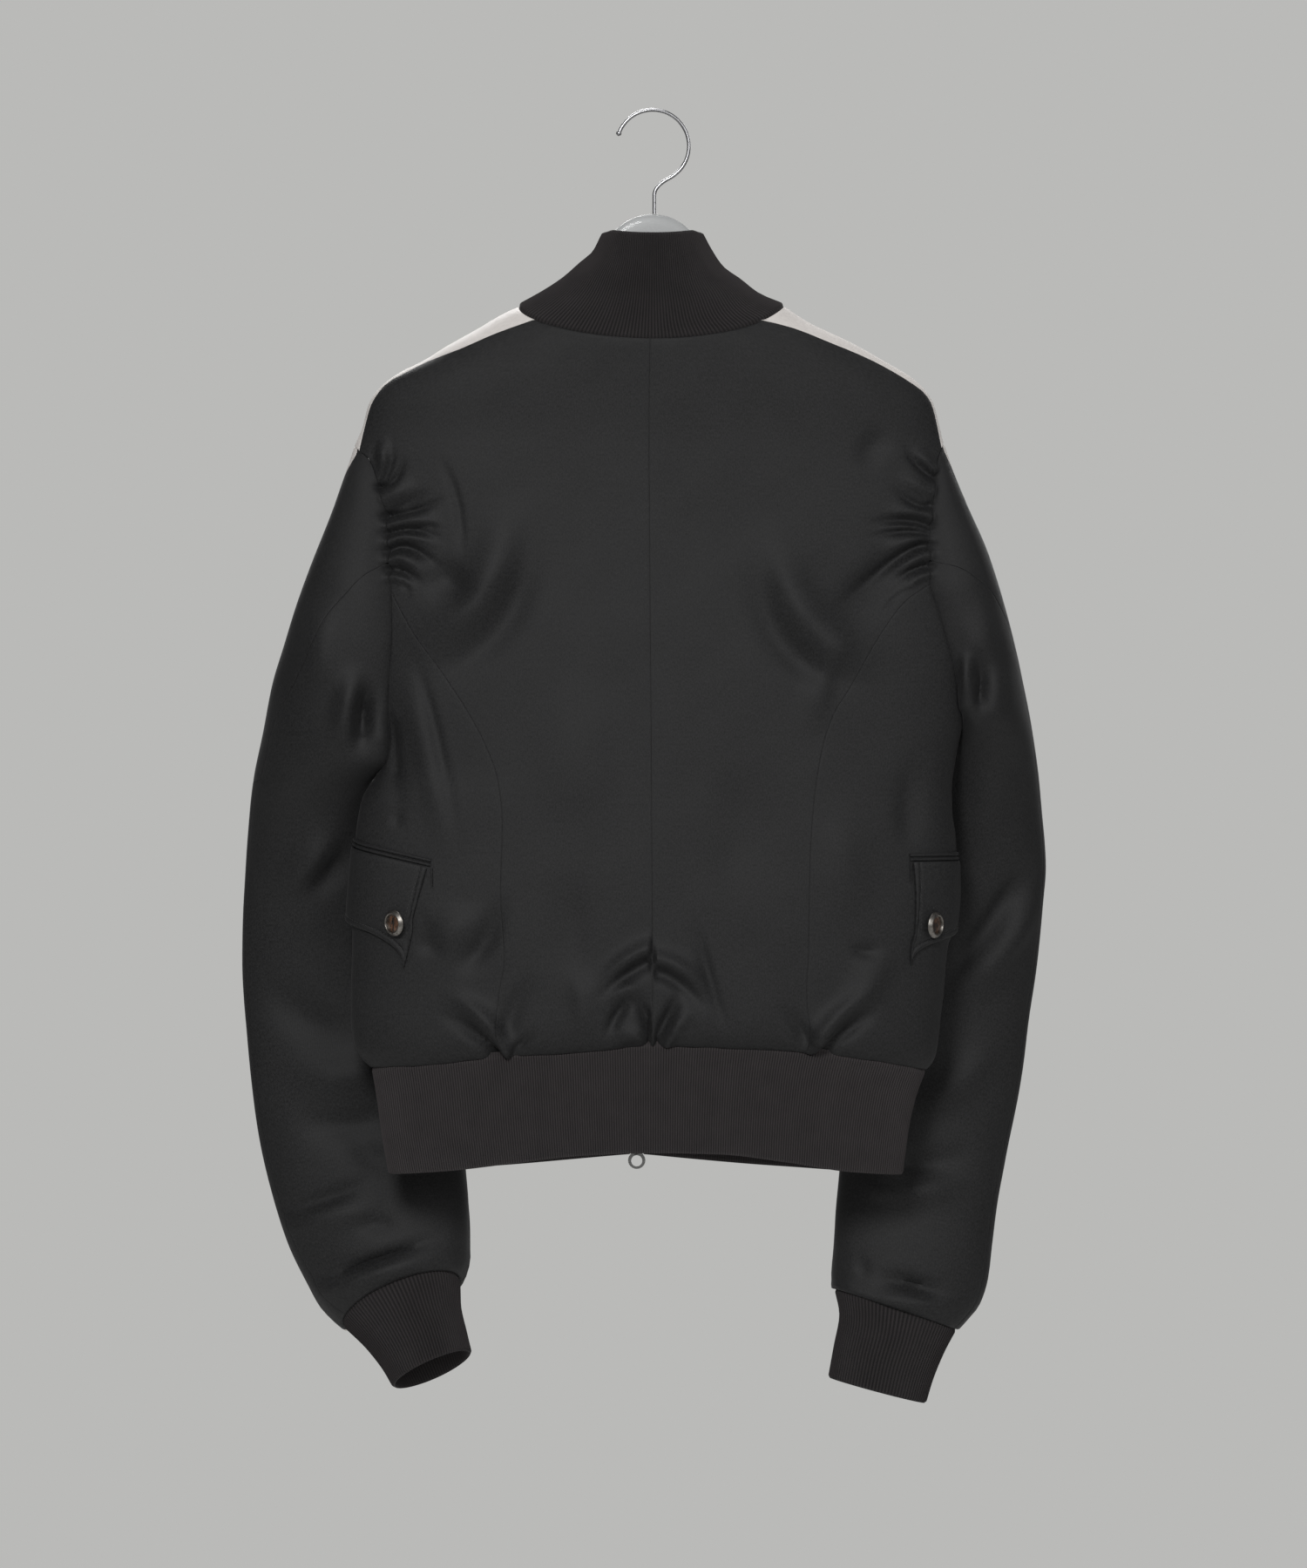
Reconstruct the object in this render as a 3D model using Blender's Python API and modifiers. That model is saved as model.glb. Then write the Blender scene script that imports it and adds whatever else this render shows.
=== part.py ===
"""A short track jacket on a clothes hanger, back towards -Y, its hook's seat at the origin.

All tables are in millimetres. "down" is the distance below the hook's seat, and "side" is
the distance from the centre line. Girth runs round the body: 0 at the centre of the back,
1 at the side and 2 at the centre of the front, negative on the left as seen from behind.
"""
import math

import bmesh
import bpy
import numpy as np
from mathutils import Matrix, Vector

MM = 0.001
OBJECT_NAME = "track_jacket"

WALL = 1.5           # jersey
RIB_WALL = 1.6       # knitted rib, without its ridges
RIB_RIDGE = 0.8      # how far a ridge of the rib stands out
SEAM_GAP = 0.3       # between two pieces at a seam
SLEEVE_GAP = 0.25    # a sleeve's pieces are drawn back by this
SLEEVE_HEAD_GAP = 1.0  # and by this at their upper ends, where four pieces meet
SLEEVE_HEAD_PART = 0.06  # and round the sleeve by this part of its head
SLEEVE_HEAD_FADE = 6.0
CUFF_GAP = 0.6       # a cuff is drawn back by this, for its ridges
ROUNDNESS = 2.3      # exponent of the flattened oval that the body makes in plan
HALF_TURN = math.pi

ZIP_HALF_WIDTH = 5.0
ZIP_THICKNESS = 2.0
ZIP_LIFT = 0.3
ZIP_DRIFT = 12.0     # the front closing hangs this far towards the left at the hem
DRIFT_START = 205.0  # from this level down, over this length
DRIFT_LENGTH = 560.0
DRIFT_GIRTH = 0.9    # and fades towards the side over this much girth
ZIP_ROWS = {"collar": 5, "body": 15, "hem": 3}
NECK_TOP_DOWN = 145.4
NECK_BACK_DROP = 25.4
NECK_FRONT_DROP = 60.0
FRONT_NECK_POWER = 1.6  # the front of the neck falls faster near the zip
TUCK_DEPTH = 9.0     # the body blouses this far over the hem's rib
TUCK_REACH = 7.0
SETTLE_STEPS = 30    # for a corner that is found by trying again from its last place
STRIPE_CROWDING = 1.15  # the stripe's rows lie closer at the neck
STRIPE_RISE = 4.0    # the shoulder stripe's lower end is cut in an arch this high
FRONT_SEAM_BLEND = 70.0  # the front's side seam leaves the armhole over this length
PRINCESS_END = 704.0  # the level at which the back's princess seam meets the hem's
SHARP_ANGLE = 40.0   # degrees between two faces that are shaded apart

# rows and columns of the cloth pieces
STRIPE_STEPS = 7
GATHER_STEPS = 20
YOKE_STEPS = 5
PRINCESS_STEPS = 13
BACK_COLUMNS = 6
FRONT_COLUMNS = 5
STRIPE_COLUMNS = 4
SLEEVE_STEPS = 12
UNDER_COLUMNS = 5
TOP_COLUMNS = 2
SLEEVE_FRONT_COLUMNS = 4
SLEEVE_STRIPE_COLUMNS = 2
COLLAR_RIBS = 36
COLLAR_ROWS = 2
HEM_RIBS = 50
HEM_ROWS = 2
CUFF_RIBS = 22
CUFF_ROWS = 2
# the sleeve and the front take these of the armhole's fine steps
COARSE_STEPS = (0, 1, 3, 5, 8, 12, 16, 20, 25)
LOWER_PARTS = (0.15, 0.30, 0.44, 0.57, 0.69, 0.80, 0.89, 0.96, 1.0)
FRONT_SEAM_STEP = 4  # the front's side seam starts at this one of them
SIDE_CROWDING = 1.3  # columns lie closer where the body turns round its side
BELOW_ARMPIT = (5.0, 12.0, 22.0, 36.0)


def columns(names, rows):
    """A table's rows as one array for each named column."""
    return dict(zip(names.split(), np.array(rows, float).T))


# the body's half width; from the shoulder tip to the armpit it runs on under the sleeve
BODY_SIDE = {
    -1: columns("down side", [
        (145.4, 100.0), (150.6, 111.2), (163.0, 132.0), (176.6, 156.0), (185.7, 170.3),
        (194.2, 187.9), (201.3, 198.3), (207.2, 204.8), (216.9, 211.3), (237.1, 217.1),
        (248.8, 222.3), (258.0, 225.0), (275.0, 225.0), (300.0, 222.0), (340.0, 219.0),
        (380.0, 216.0), (420.0, 212.0), (450.0, 208.0), (475.0, 204.0), (488.0, 203.0),
        (498.0, 208.0), (509.4, 215.5), (526.3, 219.7), (540.6, 221.7), (576.4, 224.9),
        (601.0, 226.5), (612.0, 224.0), (674.5, 224.9), (696.0, 223.0), (714.0, 219.0),
        (800.0, 219.0)]),
    1: columns("down side", [
        (145.4, 98.0), (158.4, 118.3), (171.4, 146.3), (185.7, 172.3), (199.4, 195.0),
        (209.8, 205.4), (217.6, 210.0), (235.1, 214.5), (246.0, 217.0), (258.0, 222.0),
        (275.0, 225.0), (300.0, 226.0), (350.0, 226.0), (377.0, 229.0), (406.0, 232.5),
        (427.0, 234.0), (452.0, 232.5), (470.0, 228.5), (483.0, 226.2), (507.5, 223.2),
        (522.4, 223.6), (540.6, 226.0), (574.0, 226.9), (611.0, 224.0), (622.0, 220.0),
        (656.0, 217.0), (678.0, 214.5), (714.0, 213.0), (800.0, 213.0)]),
}
BODY_DEPTH = columns("down back front", [
    (145.0, 49, 50), (171.0, 49, 50), (190.0, 45, 46), (210.0, 40, 41), (250.0, 38, 39),
    (300.0, 41, 42), (400.0, 46, 47), (490.0, 49, 50), (600.0, 52, 52), (714.0, 50, 50),
    (800.0, 50, 50)])
# the edge between the back and the white stripe along the shoulder
STRIPE_EDGE = {
    -1: columns("down side", [
        (155.8, 86.5), (166.9, 118.3), (177.3, 142.4), (186.4, 167.0), (194.2, 182.7),
        (202.6, 198.0), (209.1, 204.1), (219.5, 210.3), (237.1, 215.3), (253.3, 219.0)]),
    1: columns("down side", [
        (156.5, 79.0), (160.4, 97.5), (173.4, 132.6), (186.4, 163.8), (202.0, 191.8),
        (210.4, 203.5), (218.9, 208.8), (229.9, 211.8), (251.0, 215.8)]),
}
ARMHOLE = {
    -1: columns("down side", [
        (253.3, 219.0), (259.2, 211.9), (270.0, 207.0), (282.0, 203.5), (299.5, 198.5),
        (320.3, 196.3), (355.4, 195.0), (389.2, 194.4), (430.8, 197.0), (451.6, 197.5),
        (472.4, 197.5), (484.0, 198.9)]),
    1: columns("down side", [
        (251.0, 215.8), (258.0, 213.0), (267.6, 211.3), (290.0, 208.5), (306.6, 207.4),
        (327.4, 205.4), (350.2, 206.0), (376.8, 213.9), (406.0, 221.7), (426.9, 226.5),
        (443.0, 228.0)]),
}
# where the other seams meet the armhole
ARMHOLE_LEVELS = {
    -1: {"sleeve_seam": 337.8, "princess": 358.6, "armpit": 494.0},
    1: {"sleeve_seam": 335.9, "princess": 352.8, "armpit": 456.0},
}
BACK_PRINCESS = {
    -1: columns("down side", [
        (358.6, 194.9), (387.2, 179.4), (416.5, 158.6), (447.7, 137.8), (470.4, 125.5),
        (499.7, 115.0), (530.2, 111.8), (584.2, 113.1), (632.3, 110.5), (662.8, 115.0),
        (684.9, 116.0), (712.0, 112.5)]),
    1: columns("down side", [
        (352.8, 206.4), (364.5, 189.2), (383.3, 174.2), (406.1, 159.9), (428.8, 147.6),
        (449.6, 134.6), (472.4, 126.8), (497.1, 122.2), (517.9, 119.6), (555.6, 117.0),
        (631.6, 115.7), (653.7, 114.4), (684.9, 117.0), (712.0, 119.0)]),
}
# the front's side seam, by its girth
FRONT_SEAM = columns("down girth", [
    (430.0, 1.2), (470.0, 1.30), (520.0, 1.38), (600.0, 1.42), (720.0, 1.44)])
HEM_SEAM = columns("girth down", [
    (-2.0, 703.0), (-1.5, 708.0), (-1.0, 713.0), (-0.75, 711.0), (-0.5, 704.5),
    (-0.25, 701.5), (0.0, 696.5), (0.25, 698.0), (0.5, 701.0), (0.75, 707.5),
    (1.0, 714.5), (1.5, 709.0), (2.0, 703.0)])
HEM_EDGE = columns("girth down", [
    (-2.0, 778.5), (-1.5, 787.0), (-1.0, 792.5), (-0.75, 790.0), (-0.5, 784.0),
    (-0.25, 778.0), (0.0, 776.0), (0.25, 777.0), (0.5, 783.0), (0.75, 790.5),
    (1.0, 793.0), (1.5, 787.5), (2.0, 778.5)])
HEM_SIDE = {
    -1: columns("part side", [(0.0, 209.0), (0.25, 205.5), (0.65, 201.0), (1.0, 195.7)]),
    1: columns("part side", [(0.0, 203.0), (0.25, 195.5), (0.65, 189.0), (1.0, 185.7)]),
}
HEM_DEPTH = columns("part depth", [(0.0, 40.5), (0.5, 39.0), (1.0, 37.0)])

COLLAR_TOP = {"side": 35.5, "back": 47.0, "front": 54.0,
              "side_down": 89.0, "back_down": 91.5, "front_down": 97.0}
# how the sides curve in: the share of the way in to the top's width that is still left
COLLAR_FLARE = {
    -1: columns("left share", [
        (0.0, 0.0), (0.08, 0.035), (0.275, 0.124), (0.42, 0.265), (0.63, 0.467),
        (0.77, 0.648), (1.0, 1.0)]),
    1: columns("left share", [
        (0.0, 0.0), (0.08, 0.035), (0.26, 0.120), (0.49, 0.262), (0.65, 0.460),
        (0.86, 0.700), (1.0, 1.0)]),
}

# sections down the sleeve: its outer and inner edge, the middle and half of its depth,
# and how far its back hangs above its front
SLEEVE = {
    -1: columns("level outer outer_down inner inner_down middle depth tilt", [
        (253.3, 222.5, 249.8, 190.0, 249.8, 0.0, 14.0, 0.0),
        (266.3, 228.0, 266.3, 182.0, 266.3, 0.0, 22.0, 0.0),
        (300.1, 240.2, 300.1, 174.0, 300.1, 1.0, 30.0, 0.0),
        (341.7, 256.4, 341.7, 170.0, 341.7, 4.0, 35.0, 0.0),
        (372.9, 267.4, 372.9, 172.0, 372.9, 8.0, 39.0, 0.0),
        (399.6, 275.8, 399.6, 176.0, 399.6, 14.0, 42.0, 0.0),
        (426.9, 284.3, 426.9, 184.0, 426.9, 22.0, 44.0, 0.0),
        (462.0, 291.4, 462.0, 196.0, 462.0, 34.0, 45.0, 0.0),
        (494.0, 298.2, 494.0, 203.0, 494.0, 46.0, 42.0, 0.0),
        (524.4, 302.6, 524.4, 203.0, 522.0, 56.0, 38.0, 0.0),
        (555.6, 305.5, 555.6, 196.0, 552.0, 64.0, 35.0, 0.0),
        (596.5, 308.1, 596.5, 182.0, 592.0, 72.0, 32.0, 0.0),
        (631.6, 308.8, 631.6, 172.0, 626.0, 77.0, 30.0, 0.0),
        (663.5, 307.5, 663.5, 164.0, 658.0, 79.0, 29.0, 0.0),
        (717.4, 302.9, 717.4, 154.0, 706.0, 79.0, 28.0, 0.0),
        (764.9, 296.4, 764.9, 146.0, 749.0, 78.0, 28.0, 1.0),
        (803.9, 288.0, 803.9, 141.5, 784.0, 76.0, 28.5, 4.0),
        (846.8, 275.0, 846.8, 138.5, 818.0, 73.0, 29.0, 8.0),
        (877.3, 259.7, 877.3, 137.5, 841.0, 70.0, 29.0, 12.0),
        (894.0, 249.0, 894.0, 138.0, 857.0, 68.0, 28.5, 15.0),
        (906.2, 232.5, 906.2, 145.5, 875.0, 65.5, 26.5, 18.0)]),
    1: columns("level outer outer_down inner inner_down middle depth tilt", [
        (251.0, 217.5, 248.4, 190.0, 248.4, 0.0, 14.0, 0.0),
        (270.0, 225.0, 270.0, 180.0, 270.0, 0.0, 23.0, 0.0),
        (291.0, 233.6, 291.0, 176.0, 291.0, 1.0, 28.0, 0.0),
        (330.7, 251.0, 330.7, 174.0, 330.7, 4.0, 34.0, 0.0),
        (371.0, 263.4, 371.0, 182.0, 371.0, 9.0, 38.0, 0.0),
        (404.1, 271.9, 404.1, 196.0, 404.1, 16.0, 41.0, 0.0),
        (430.0, 277.6, 430.0, 212.0, 430.0, 26.0, 43.0, 0.0),
        (456.0, 283.0, 456.0, 222.0, 456.0, 38.0, 43.0, 0.0),
        (493.2, 289.5, 493.2, 213.0, 492.0, 55.0, 41.0, 0.0),
        (520.0, 292.5, 520.0, 205.0, 518.0, 63.0, 38.0, 0.0),
        (545.2, 294.7, 545.2, 197.0, 542.0, 68.0, 36.0, 0.0),
        (566.0, 295.6, 566.0, 190.0, 562.0, 72.0, 34.0, 0.0),
        (596.5, 293.2, 596.5, 180.0, 592.0, 76.0, 32.0, 0.0),
        (631.6, 290.0, 631.6, 170.0, 626.0, 79.0, 30.5, 0.0),
        (667.4, 285.0, 667.4, 162.0, 660.0, 80.0, 29.5, 0.0),
        (734.3, 275.6, 734.3, 150.0, 722.0, 80.0, 28.5, 0.0),
        (786.3, 265.2, 786.3, 143.0, 770.0, 78.0, 28.5, 0.0),
        (814.9, 259.6, 814.9, 140.0, 796.0, 76.0, 28.5, 0.0),
        (846.1, 255.6, 846.1, 137.5, 824.0, 73.0, 28.5, 0.0),
        (872.8, 252.2, 872.8, 136.0, 848.0, 70.0, 28.5, 0.0),
        (893.0, 245.5, 893.0, 135.0, 866.0, 68.0, 28.0, 0.0),
        (911.5, 227.5, 911.5, 137.5, 881.0, 65.5, 26.5, 1.0)]),
}
# seams down the sleeve, by the part of the way round: 0 and 1 under the arm, 0.5 outside
SLEEVE_BACK_SEAM = {
    -1: columns("down side", [
        (337.8, 199.0), (346.3, 214.5), (360.6, 228.8), (374.9, 241.2), (406.1, 256.1),
        (435.3, 272.4), (456.1, 282.8), (482.8, 289.5), (499.7, 293.5)]),
    1: columns("down side", [
        (335.9, 207.0), (339.8, 226.2), (348.2, 240.5), (359.3, 252.9), (371.0, 259.5),
        (385.3, 266.0), (402.0, 269.8)]),
}
SEAM_PART_BELOW = columns("level part", [(400.0, 0.45), (520.0, 0.455), (920.0, 0.44)])
SLEEVE_STRIPE = columns("after_top back front", [
    (0.0, 0.14, 0.86), (9.0, 0.34, 0.92), (22.0, 0.50, 0.90), (46.0, 0.53, 0.79),
    (90.0, 0.545, 0.72), (150.0, 0.56, 0.69), (240.0, 0.56, 0.66), (330.0, 0.56, 0.655),
    (680.0, 0.56, 0.66)])
SEAM_SAMPLES = 201   # places tried round half a sleeve to find its back seam
UNDERARM_CLEAR = 4.0
UNDERARM_CLEAR_LENGTH = 10.0
UNDERARM_CLOSING = 50.0  # above the armpit the sleeve's section closes over this length
UNDERARM_FADE = 26.0  # below the armpit the sleeve comes clear of the body in this length

CUFF = {
    -1: columns("part outer outer_down inner inner_down middle depth tilt", [
        (0.0, 232.5, 906.2, 145.5, 875.0, 65.5, 26.5, 18.0),
        (0.35, 215.5, 923.0, 145.0, 892.0, 63.0, 27.5, 14.0),
        (0.7, 202.0, 940.0, 140.5, 912.0, 60.0, 29.0, 11.0),
        (1.0, 194.4, 953.5, 136.5, 929.0, 58.0, 31.0, 9.0)]),
    1: columns("part outer outer_down inner inner_down middle depth tilt", [
        (0.0, 227.5, 911.5, 137.5, 881.0, 65.5, 26.5, 1.0),
        (0.35, 217.5, 930.0, 141.0, 900.0, 63.0, 27.5, 0.0),
        (0.7, 209.0, 950.0, 136.5, 925.0, 61.0, 28.5, 0.0),
        (1.0, 204.3, 966.5, 132.8, 947.5, 60.0, 29.5, 0.0)]),
}

# soft folds as strokes across the back: start, turn and end, width and height outwards;
# a rooted one is highest at its start, and a free one in its middle
FOLD_STEPS = 13      # points along a fold
FOLD_TAPER = 0.8
FOLD_FADES = {"back": 0.12, "front": 0.25, "middle": 0.05}  # in girth, towards the seams
SLEEVE_FOLD_FADES = {"start": 0.1, "end": 0.06, "seam": 0.5}  # in part of the way round
FOLD_COLUMNS = "side_a down_a side_b down_b side_c down_c width height rooted"
BACK_FOLDS = {
    -1: columns(FOLD_COLUMNS, [
        (206, 255, 198, 262, 204, 277, 3.2, 2.4, 0),
        (204, 279, 194, 276, 186, 266, 2.8, -2.2, 1),
        (199, 297, 186, 298, 172, 288, 3.4, 2.6, 1),
        (198, 303, 184, 302, 154, 288, 2.8, -2.4, 1),
        (197, 309, 184, 308, 156, 302, 3.2, 2.6, 1),
        (196, 315, 184, 313, 152, 323, 2.8, -2.4, 1),
        (196, 321, 182, 318, 154, 334, 3.4, 2.8, 1),
        (195, 328, 184, 324, 172, 336, 2.8, -2.2, 1),
        (195, 334, 182, 332, 162, 362, 3.4, 2.8, 1),
        (195, 342, 184, 340, 172, 356, 2.8, -2.4, 1),
        (195, 349, 182, 346, 166, 374, 3.2, 2.4, 1),
        (158, 258, 142, 300, 142, 338, 3.5, -1.4, 0),
        (90, 290, 110, 350, 178, 410, 13.0, -4.0, 0),
        (60, 310, 88, 372, 150, 430, 16.0, 3.0, 0),
        (150, 672, 128, 684, 112, 706, 7.0, 3.5, 0),
        (44, 665, 20, 648, 0, 634, 8.0, 3.0, 0),
        (40, 690, 22, 672, 4, 690, 6.0, -2.5, 0)]),
    1: columns(FOLD_COLUMNS, [
        (211, 266, 202, 258, 190, 246, 3.4, 2.2, 1),
        (209, 274, 198, 268, 186, 252, 2.8, -2.2, 1),
        (208, 283, 196, 279, 178, 266, 3.4, 2.4, 1),
        (207, 295, 192, 290, 172, 272, 2.8, -2.2, 1),
        (206, 302, 190, 298, 168, 292, 3.2, 2.4, 1),
        (206, 309, 190, 307, 150, 305, 2.8, -2.4, 1),
        (205, 316, 188, 313, 146, 314, 3.2, 2.6, 1),
        (205, 323, 186, 324, 150, 319, 2.8, -2.4, 1),
        (205, 330, 186, 330, 152, 348, 3.4, 2.8, 1),
        (205, 338, 188, 340, 134, 376, 3.6, -3.0, 1),
        (205, 346, 188, 350, 146, 388, 3.4, 2.6, 1),
        (100, 330, 122, 380, 124, 430, 16.0, 3.0, 0),
        (140, 380, 90, 400, 70, 470, 14.0, -3.0, 0),
        (120, 706, 136, 690, 156, 668, 7.0, -3.0, 0),
        (4, 694, 20, 668, 16, 640, 7.0, 3.0, 0)]),
}
FRONT_FOLDS = {
    -1: columns(FOLD_COLUMNS, [
        (190, 330, 150, 380, 110, 470, 16.0, 3.5, 0),
        (60, 250, 90, 330, 160, 420, 15.0, -3.0, 0),
        (30, 640, 60, 670, 110, 690, 9.0, 3.0, 0),
        (60, 520, 80, 590, 70, 660, 14.0, -2.5, 0)]),
    1: columns(FOLD_COLUMNS, [
        (196, 320, 150, 370, 120, 450, 16.0, 3.5, 0),
        (50, 260, 80, 340, 150, 430, 15.0, -3.0, 0),
        (110, 660, 70, 680, 30, 660, 9.0, 3.0, 0),
        (80, 500, 70, 570, 90, 640, 14.0, -2.5, 0)]),
}
SLEEVE_FOLDS = {
    -1: columns(FOLD_COLUMNS, [
        (209, 428, 214, 455, 219, 486, 7.0, -7.0, 0),
        (220, 412, 228, 445, 230, 476, 7.0, 4.0, 0),
        (222, 545, 240, 570, 262, 590, 8.0, -3.0, 0),
        (236, 530, 256, 560, 284, 590, 10.0, 3.5, 0),
        (255, 872, 220, 850, 180, 842, 7.0, 4.5, 0),
        (262, 845, 225, 825, 190, 822, 7.0, -3.5, 0),
        (240, 895, 205, 868, 165, 856, 5.0, -3.5, 0),
        (180, 740, 220, 760, 275, 750, 10.0, -3.0, 0)]),
    1: columns(FOLD_COLUMNS, [
        (229, 400, 234, 420, 232, 442, 5.0, 3.5, 0),
        (238, 395, 250, 430, 240, 458, 7.0, -6.0, 0),
        (288, 552, 260, 600, 216, 656, 9.0, -4.5, 0),
        (292, 575, 268, 622, 226, 676, 10.0, 3.5, 0),
        (176, 872, 200, 878, 216, 886, 5.0, -4.0, 0),
        (170, 858, 200, 862, 232, 876, 6.0, 4.0, 0),
        (150, 800, 190, 815, 240, 800, 9.0, 3.0, 0)]),
}

HANGER = {"half_thickness": 5.0, "clear": 1.1, "dome_down": 76.5, "dome_radius": 38.0,
          "corner": 2.4, "end_width": 0.55, "end_top": 4.0, "end_low": 6.0, "end_clear": 3.0}
HANGER_STATIONS = [0.0, 10.0, 18.0, 25.0, 30.0, 34.0, 44.0, 54.0, 68.0, 83.0, 96.0]
HANGER_TOP = columns("side down", [
    (34.0, 98.0), (44.0, 113.0), (54.0, 123.5), (65.0, 132.0), (83.0, 143.0), (96.0, 147.8)])
HANGER_END = {-1: 196.0, 1: 192.0}
HANGER_BOTTOM = columns("side down", [
    (0.0, 128.0), (30.0, 131.0), (65.0, 156.0), (100.0, 177.0), (132.0, 192.0),
    (156.0, 204.0), (180.0, 214.0), (200.0, 217.0)])
HOOK = {"radius": 27.0, "centre_down": 25.6, "wire": 1.4, "stem_side": 1.2,
        "tip_angle": 164.0, "turn_angle": -62.0, "arc_points": 17, "bend_drop": 9.5,
        "bend_power": 1.6, "bend_parts": (0.35, 0.7, 1.0), "stem_top": 6.0,
        "ball": (0.8, 1.45)}

FLAP = {"lift": 1.35, "thickness": 1.2, "rows": 5, "front_girth": 1.17}
FLAP_SIDE = {   # the flap's slanting back end, and its level where it goes round the side
    -1: {"top": (167.5, 564.0), "tip": (184.5, 639.0), "top_side": 548.0, "low_side": 603.0},
    1: {"top": (193.5, 560.0), "tip": (191.0, 636.0), "top_side": 559.0, "low_side": 611.5},
}
FLAP_ARCH = 0.42     # the lower edge rises fast from the tip, then runs level
WELT = {"height": 5.5, "thickness": 1.2, "lift": 1.0}
WELT_END_SIDE = {-1: 165.0, 1: 191.0}
BUTTON = {"radius": 10.0, "rim": 1.6, "rim_height": 3.0, "face_height": 2.0, "sides": 16,
          "groove": 0.8, "round": 0.5, "shoulder": 0.6, "foot": 0.4}
BUTTON_PLACE = {-1: (190.0, 604.5), 1: (207.0, 606.2)}
BUTTON_TURN = 16.0   # degrees by which a button leans out beyond the cloth under it
BUTTON_LIFT = {-1: 2.3, 1: 1.9}  # its centre above the flap, so that its edge rests there

SLIDER = {"width": 8.5, "height": 11.0, "depth": 2.6, "ear_width": 1.2, "ear_reach": 3.4,
          "ear_height": 4.0, "pin_radius": 0.8, "pin_sides": 10, "pin_inset": 1.0,
          "ear_clear": 0.4, "ear_sink": 0.3, "cloth_gap": 0.3}
PULL = {"eye_radius": 2.2, "eye_hole": 1.15, "eye_width": 3.6, "ring_radius": 6.5,
        "ring_hole": 4.2, "ring_down": 14.2, "thickness": 1.6, "neck_width": 3.4,
        "neck_thin": 0.2, "neck_clear": 0.3, "neck_sink": 0.8, "hole_rise": 0.4,
        "cut_extra": 2.0, "eye_sides": 14, "bore_sides": 12, "ring_sides": 24,
        "hole_sides": 20}
UPPER_SLIDER_DOWN = 104.0
LOWER_SLIDER_DOWN = 769.5


# ---------------------------------------------------------------- numbers
def smooth(along, values, at):
    """A smooth curve through a table's rows, which never overshoots them."""
    step = np.diff(along)
    slope = np.diff(values) / step
    tangent = np.zeros(len(along))
    tangent[0], tangent[-1] = slope[0], slope[-1]
    before, after = slope[:-1], slope[1:]
    same_way = before * after > 0
    weight_a = 2 * step[1:] + step[:-1]
    weight_b = step[1:] + 2 * step[:-1]
    safe_before = np.where(same_way, before, 1.0)
    safe_after = np.where(same_way, after, 1.0)
    mean = (weight_a + weight_b) / (weight_a / safe_before + weight_b / safe_after)
    tangent[1:-1] = np.where(same_way, mean, 0.0)
    at = np.clip(np.asarray(at, float), along[0], along[-1])
    row = np.clip(np.searchsorted(along, at) - 1, 0, len(step) - 1)
    t = (at - along[row]) / step[row]
    return (values[row] * (1 + 2 * t) * (1 - t) ** 2
            + values[row + 1] * t * t * (3 - 2 * t)
            + tangent[row] * step[row] * t * (1 - t) ** 2
            - tangent[row + 1] * step[row] * t * t * (1 - t))


def read(table, name, at):
    """One column of a table at values of its first column."""
    first = next(iter(table))
    return smooth(table[first], table[name], at)


def ease(t):
    """From 0 to 1 with level ends."""
    t = np.clip(t, 0.0, 1.0)
    return t * t * (3 - 2 * t)


def unit(vectors):
    return vectors / np.maximum(np.linalg.norm(vectors, axis=-1, keepdims=True), 1e-9)


def mix(a, b, t):
    return a + (b - a) * t


# ---------------------------------------------------------------- the body's surface
def oval(angle):
    power = 2 / ROUNDNESS
    return np.abs(np.sin(angle)) ** power, np.abs(np.cos(angle)) ** power


def quarter_table(width=215.0, depth=47.0, count=721):
    """Angles of the oval at even parts of the way from the centre line to the side."""
    angle = np.linspace(0, HALF_TURN / 2, count)
    s, c = oval(angle)
    run = np.hypot(np.diff(width * s), np.diff(depth * c))
    part = np.concatenate([[0.0], np.cumsum(run)])
    return part / part[-1], angle


QUARTER_PART, QUARTER_ANGLE = quarter_table()


def girth_at(ratio):
    """The girth at which the back lies this part of its half width from the middle."""
    angle = np.arcsin(np.clip(ratio, 0.0, 1.0) ** (ROUNDNESS / 2))
    return np.interp(angle, QUARTER_ANGLE, QUARTER_PART)


def body_side(side, down):
    return read(BODY_SIDE[side], "side", down)


def seam_girth(side, table, down):
    return girth_at(read(table, "side", down) / body_side(side, down))


def neck_down(girth):
    """The collar's seam is lowest at the middle of the front."""
    across = np.abs(girth)
    front = across > 1
    part = np.where(front, 2 - across, across)
    slack = 1 - np.sin(np.interp(part, QUARTER_PART, QUARTER_ANGLE))
    return NECK_TOP_DOWN + np.where(front, NECK_FRONT_DROP * slack ** FRONT_NECK_POWER,
                                    NECK_BACK_DROP * slack)


def hem_down(girth):
    return read(HEM_SEAM, "down", girth)


def drift(girth, down):
    """The closing hangs off the middle towards the hem."""
    front = ease((np.abs(girth) - 1) / DRIFT_GIRTH)
    return -ZIP_DRIFT * ease((down - DRIFT_START) / DRIFT_LENGTH) * front


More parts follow.
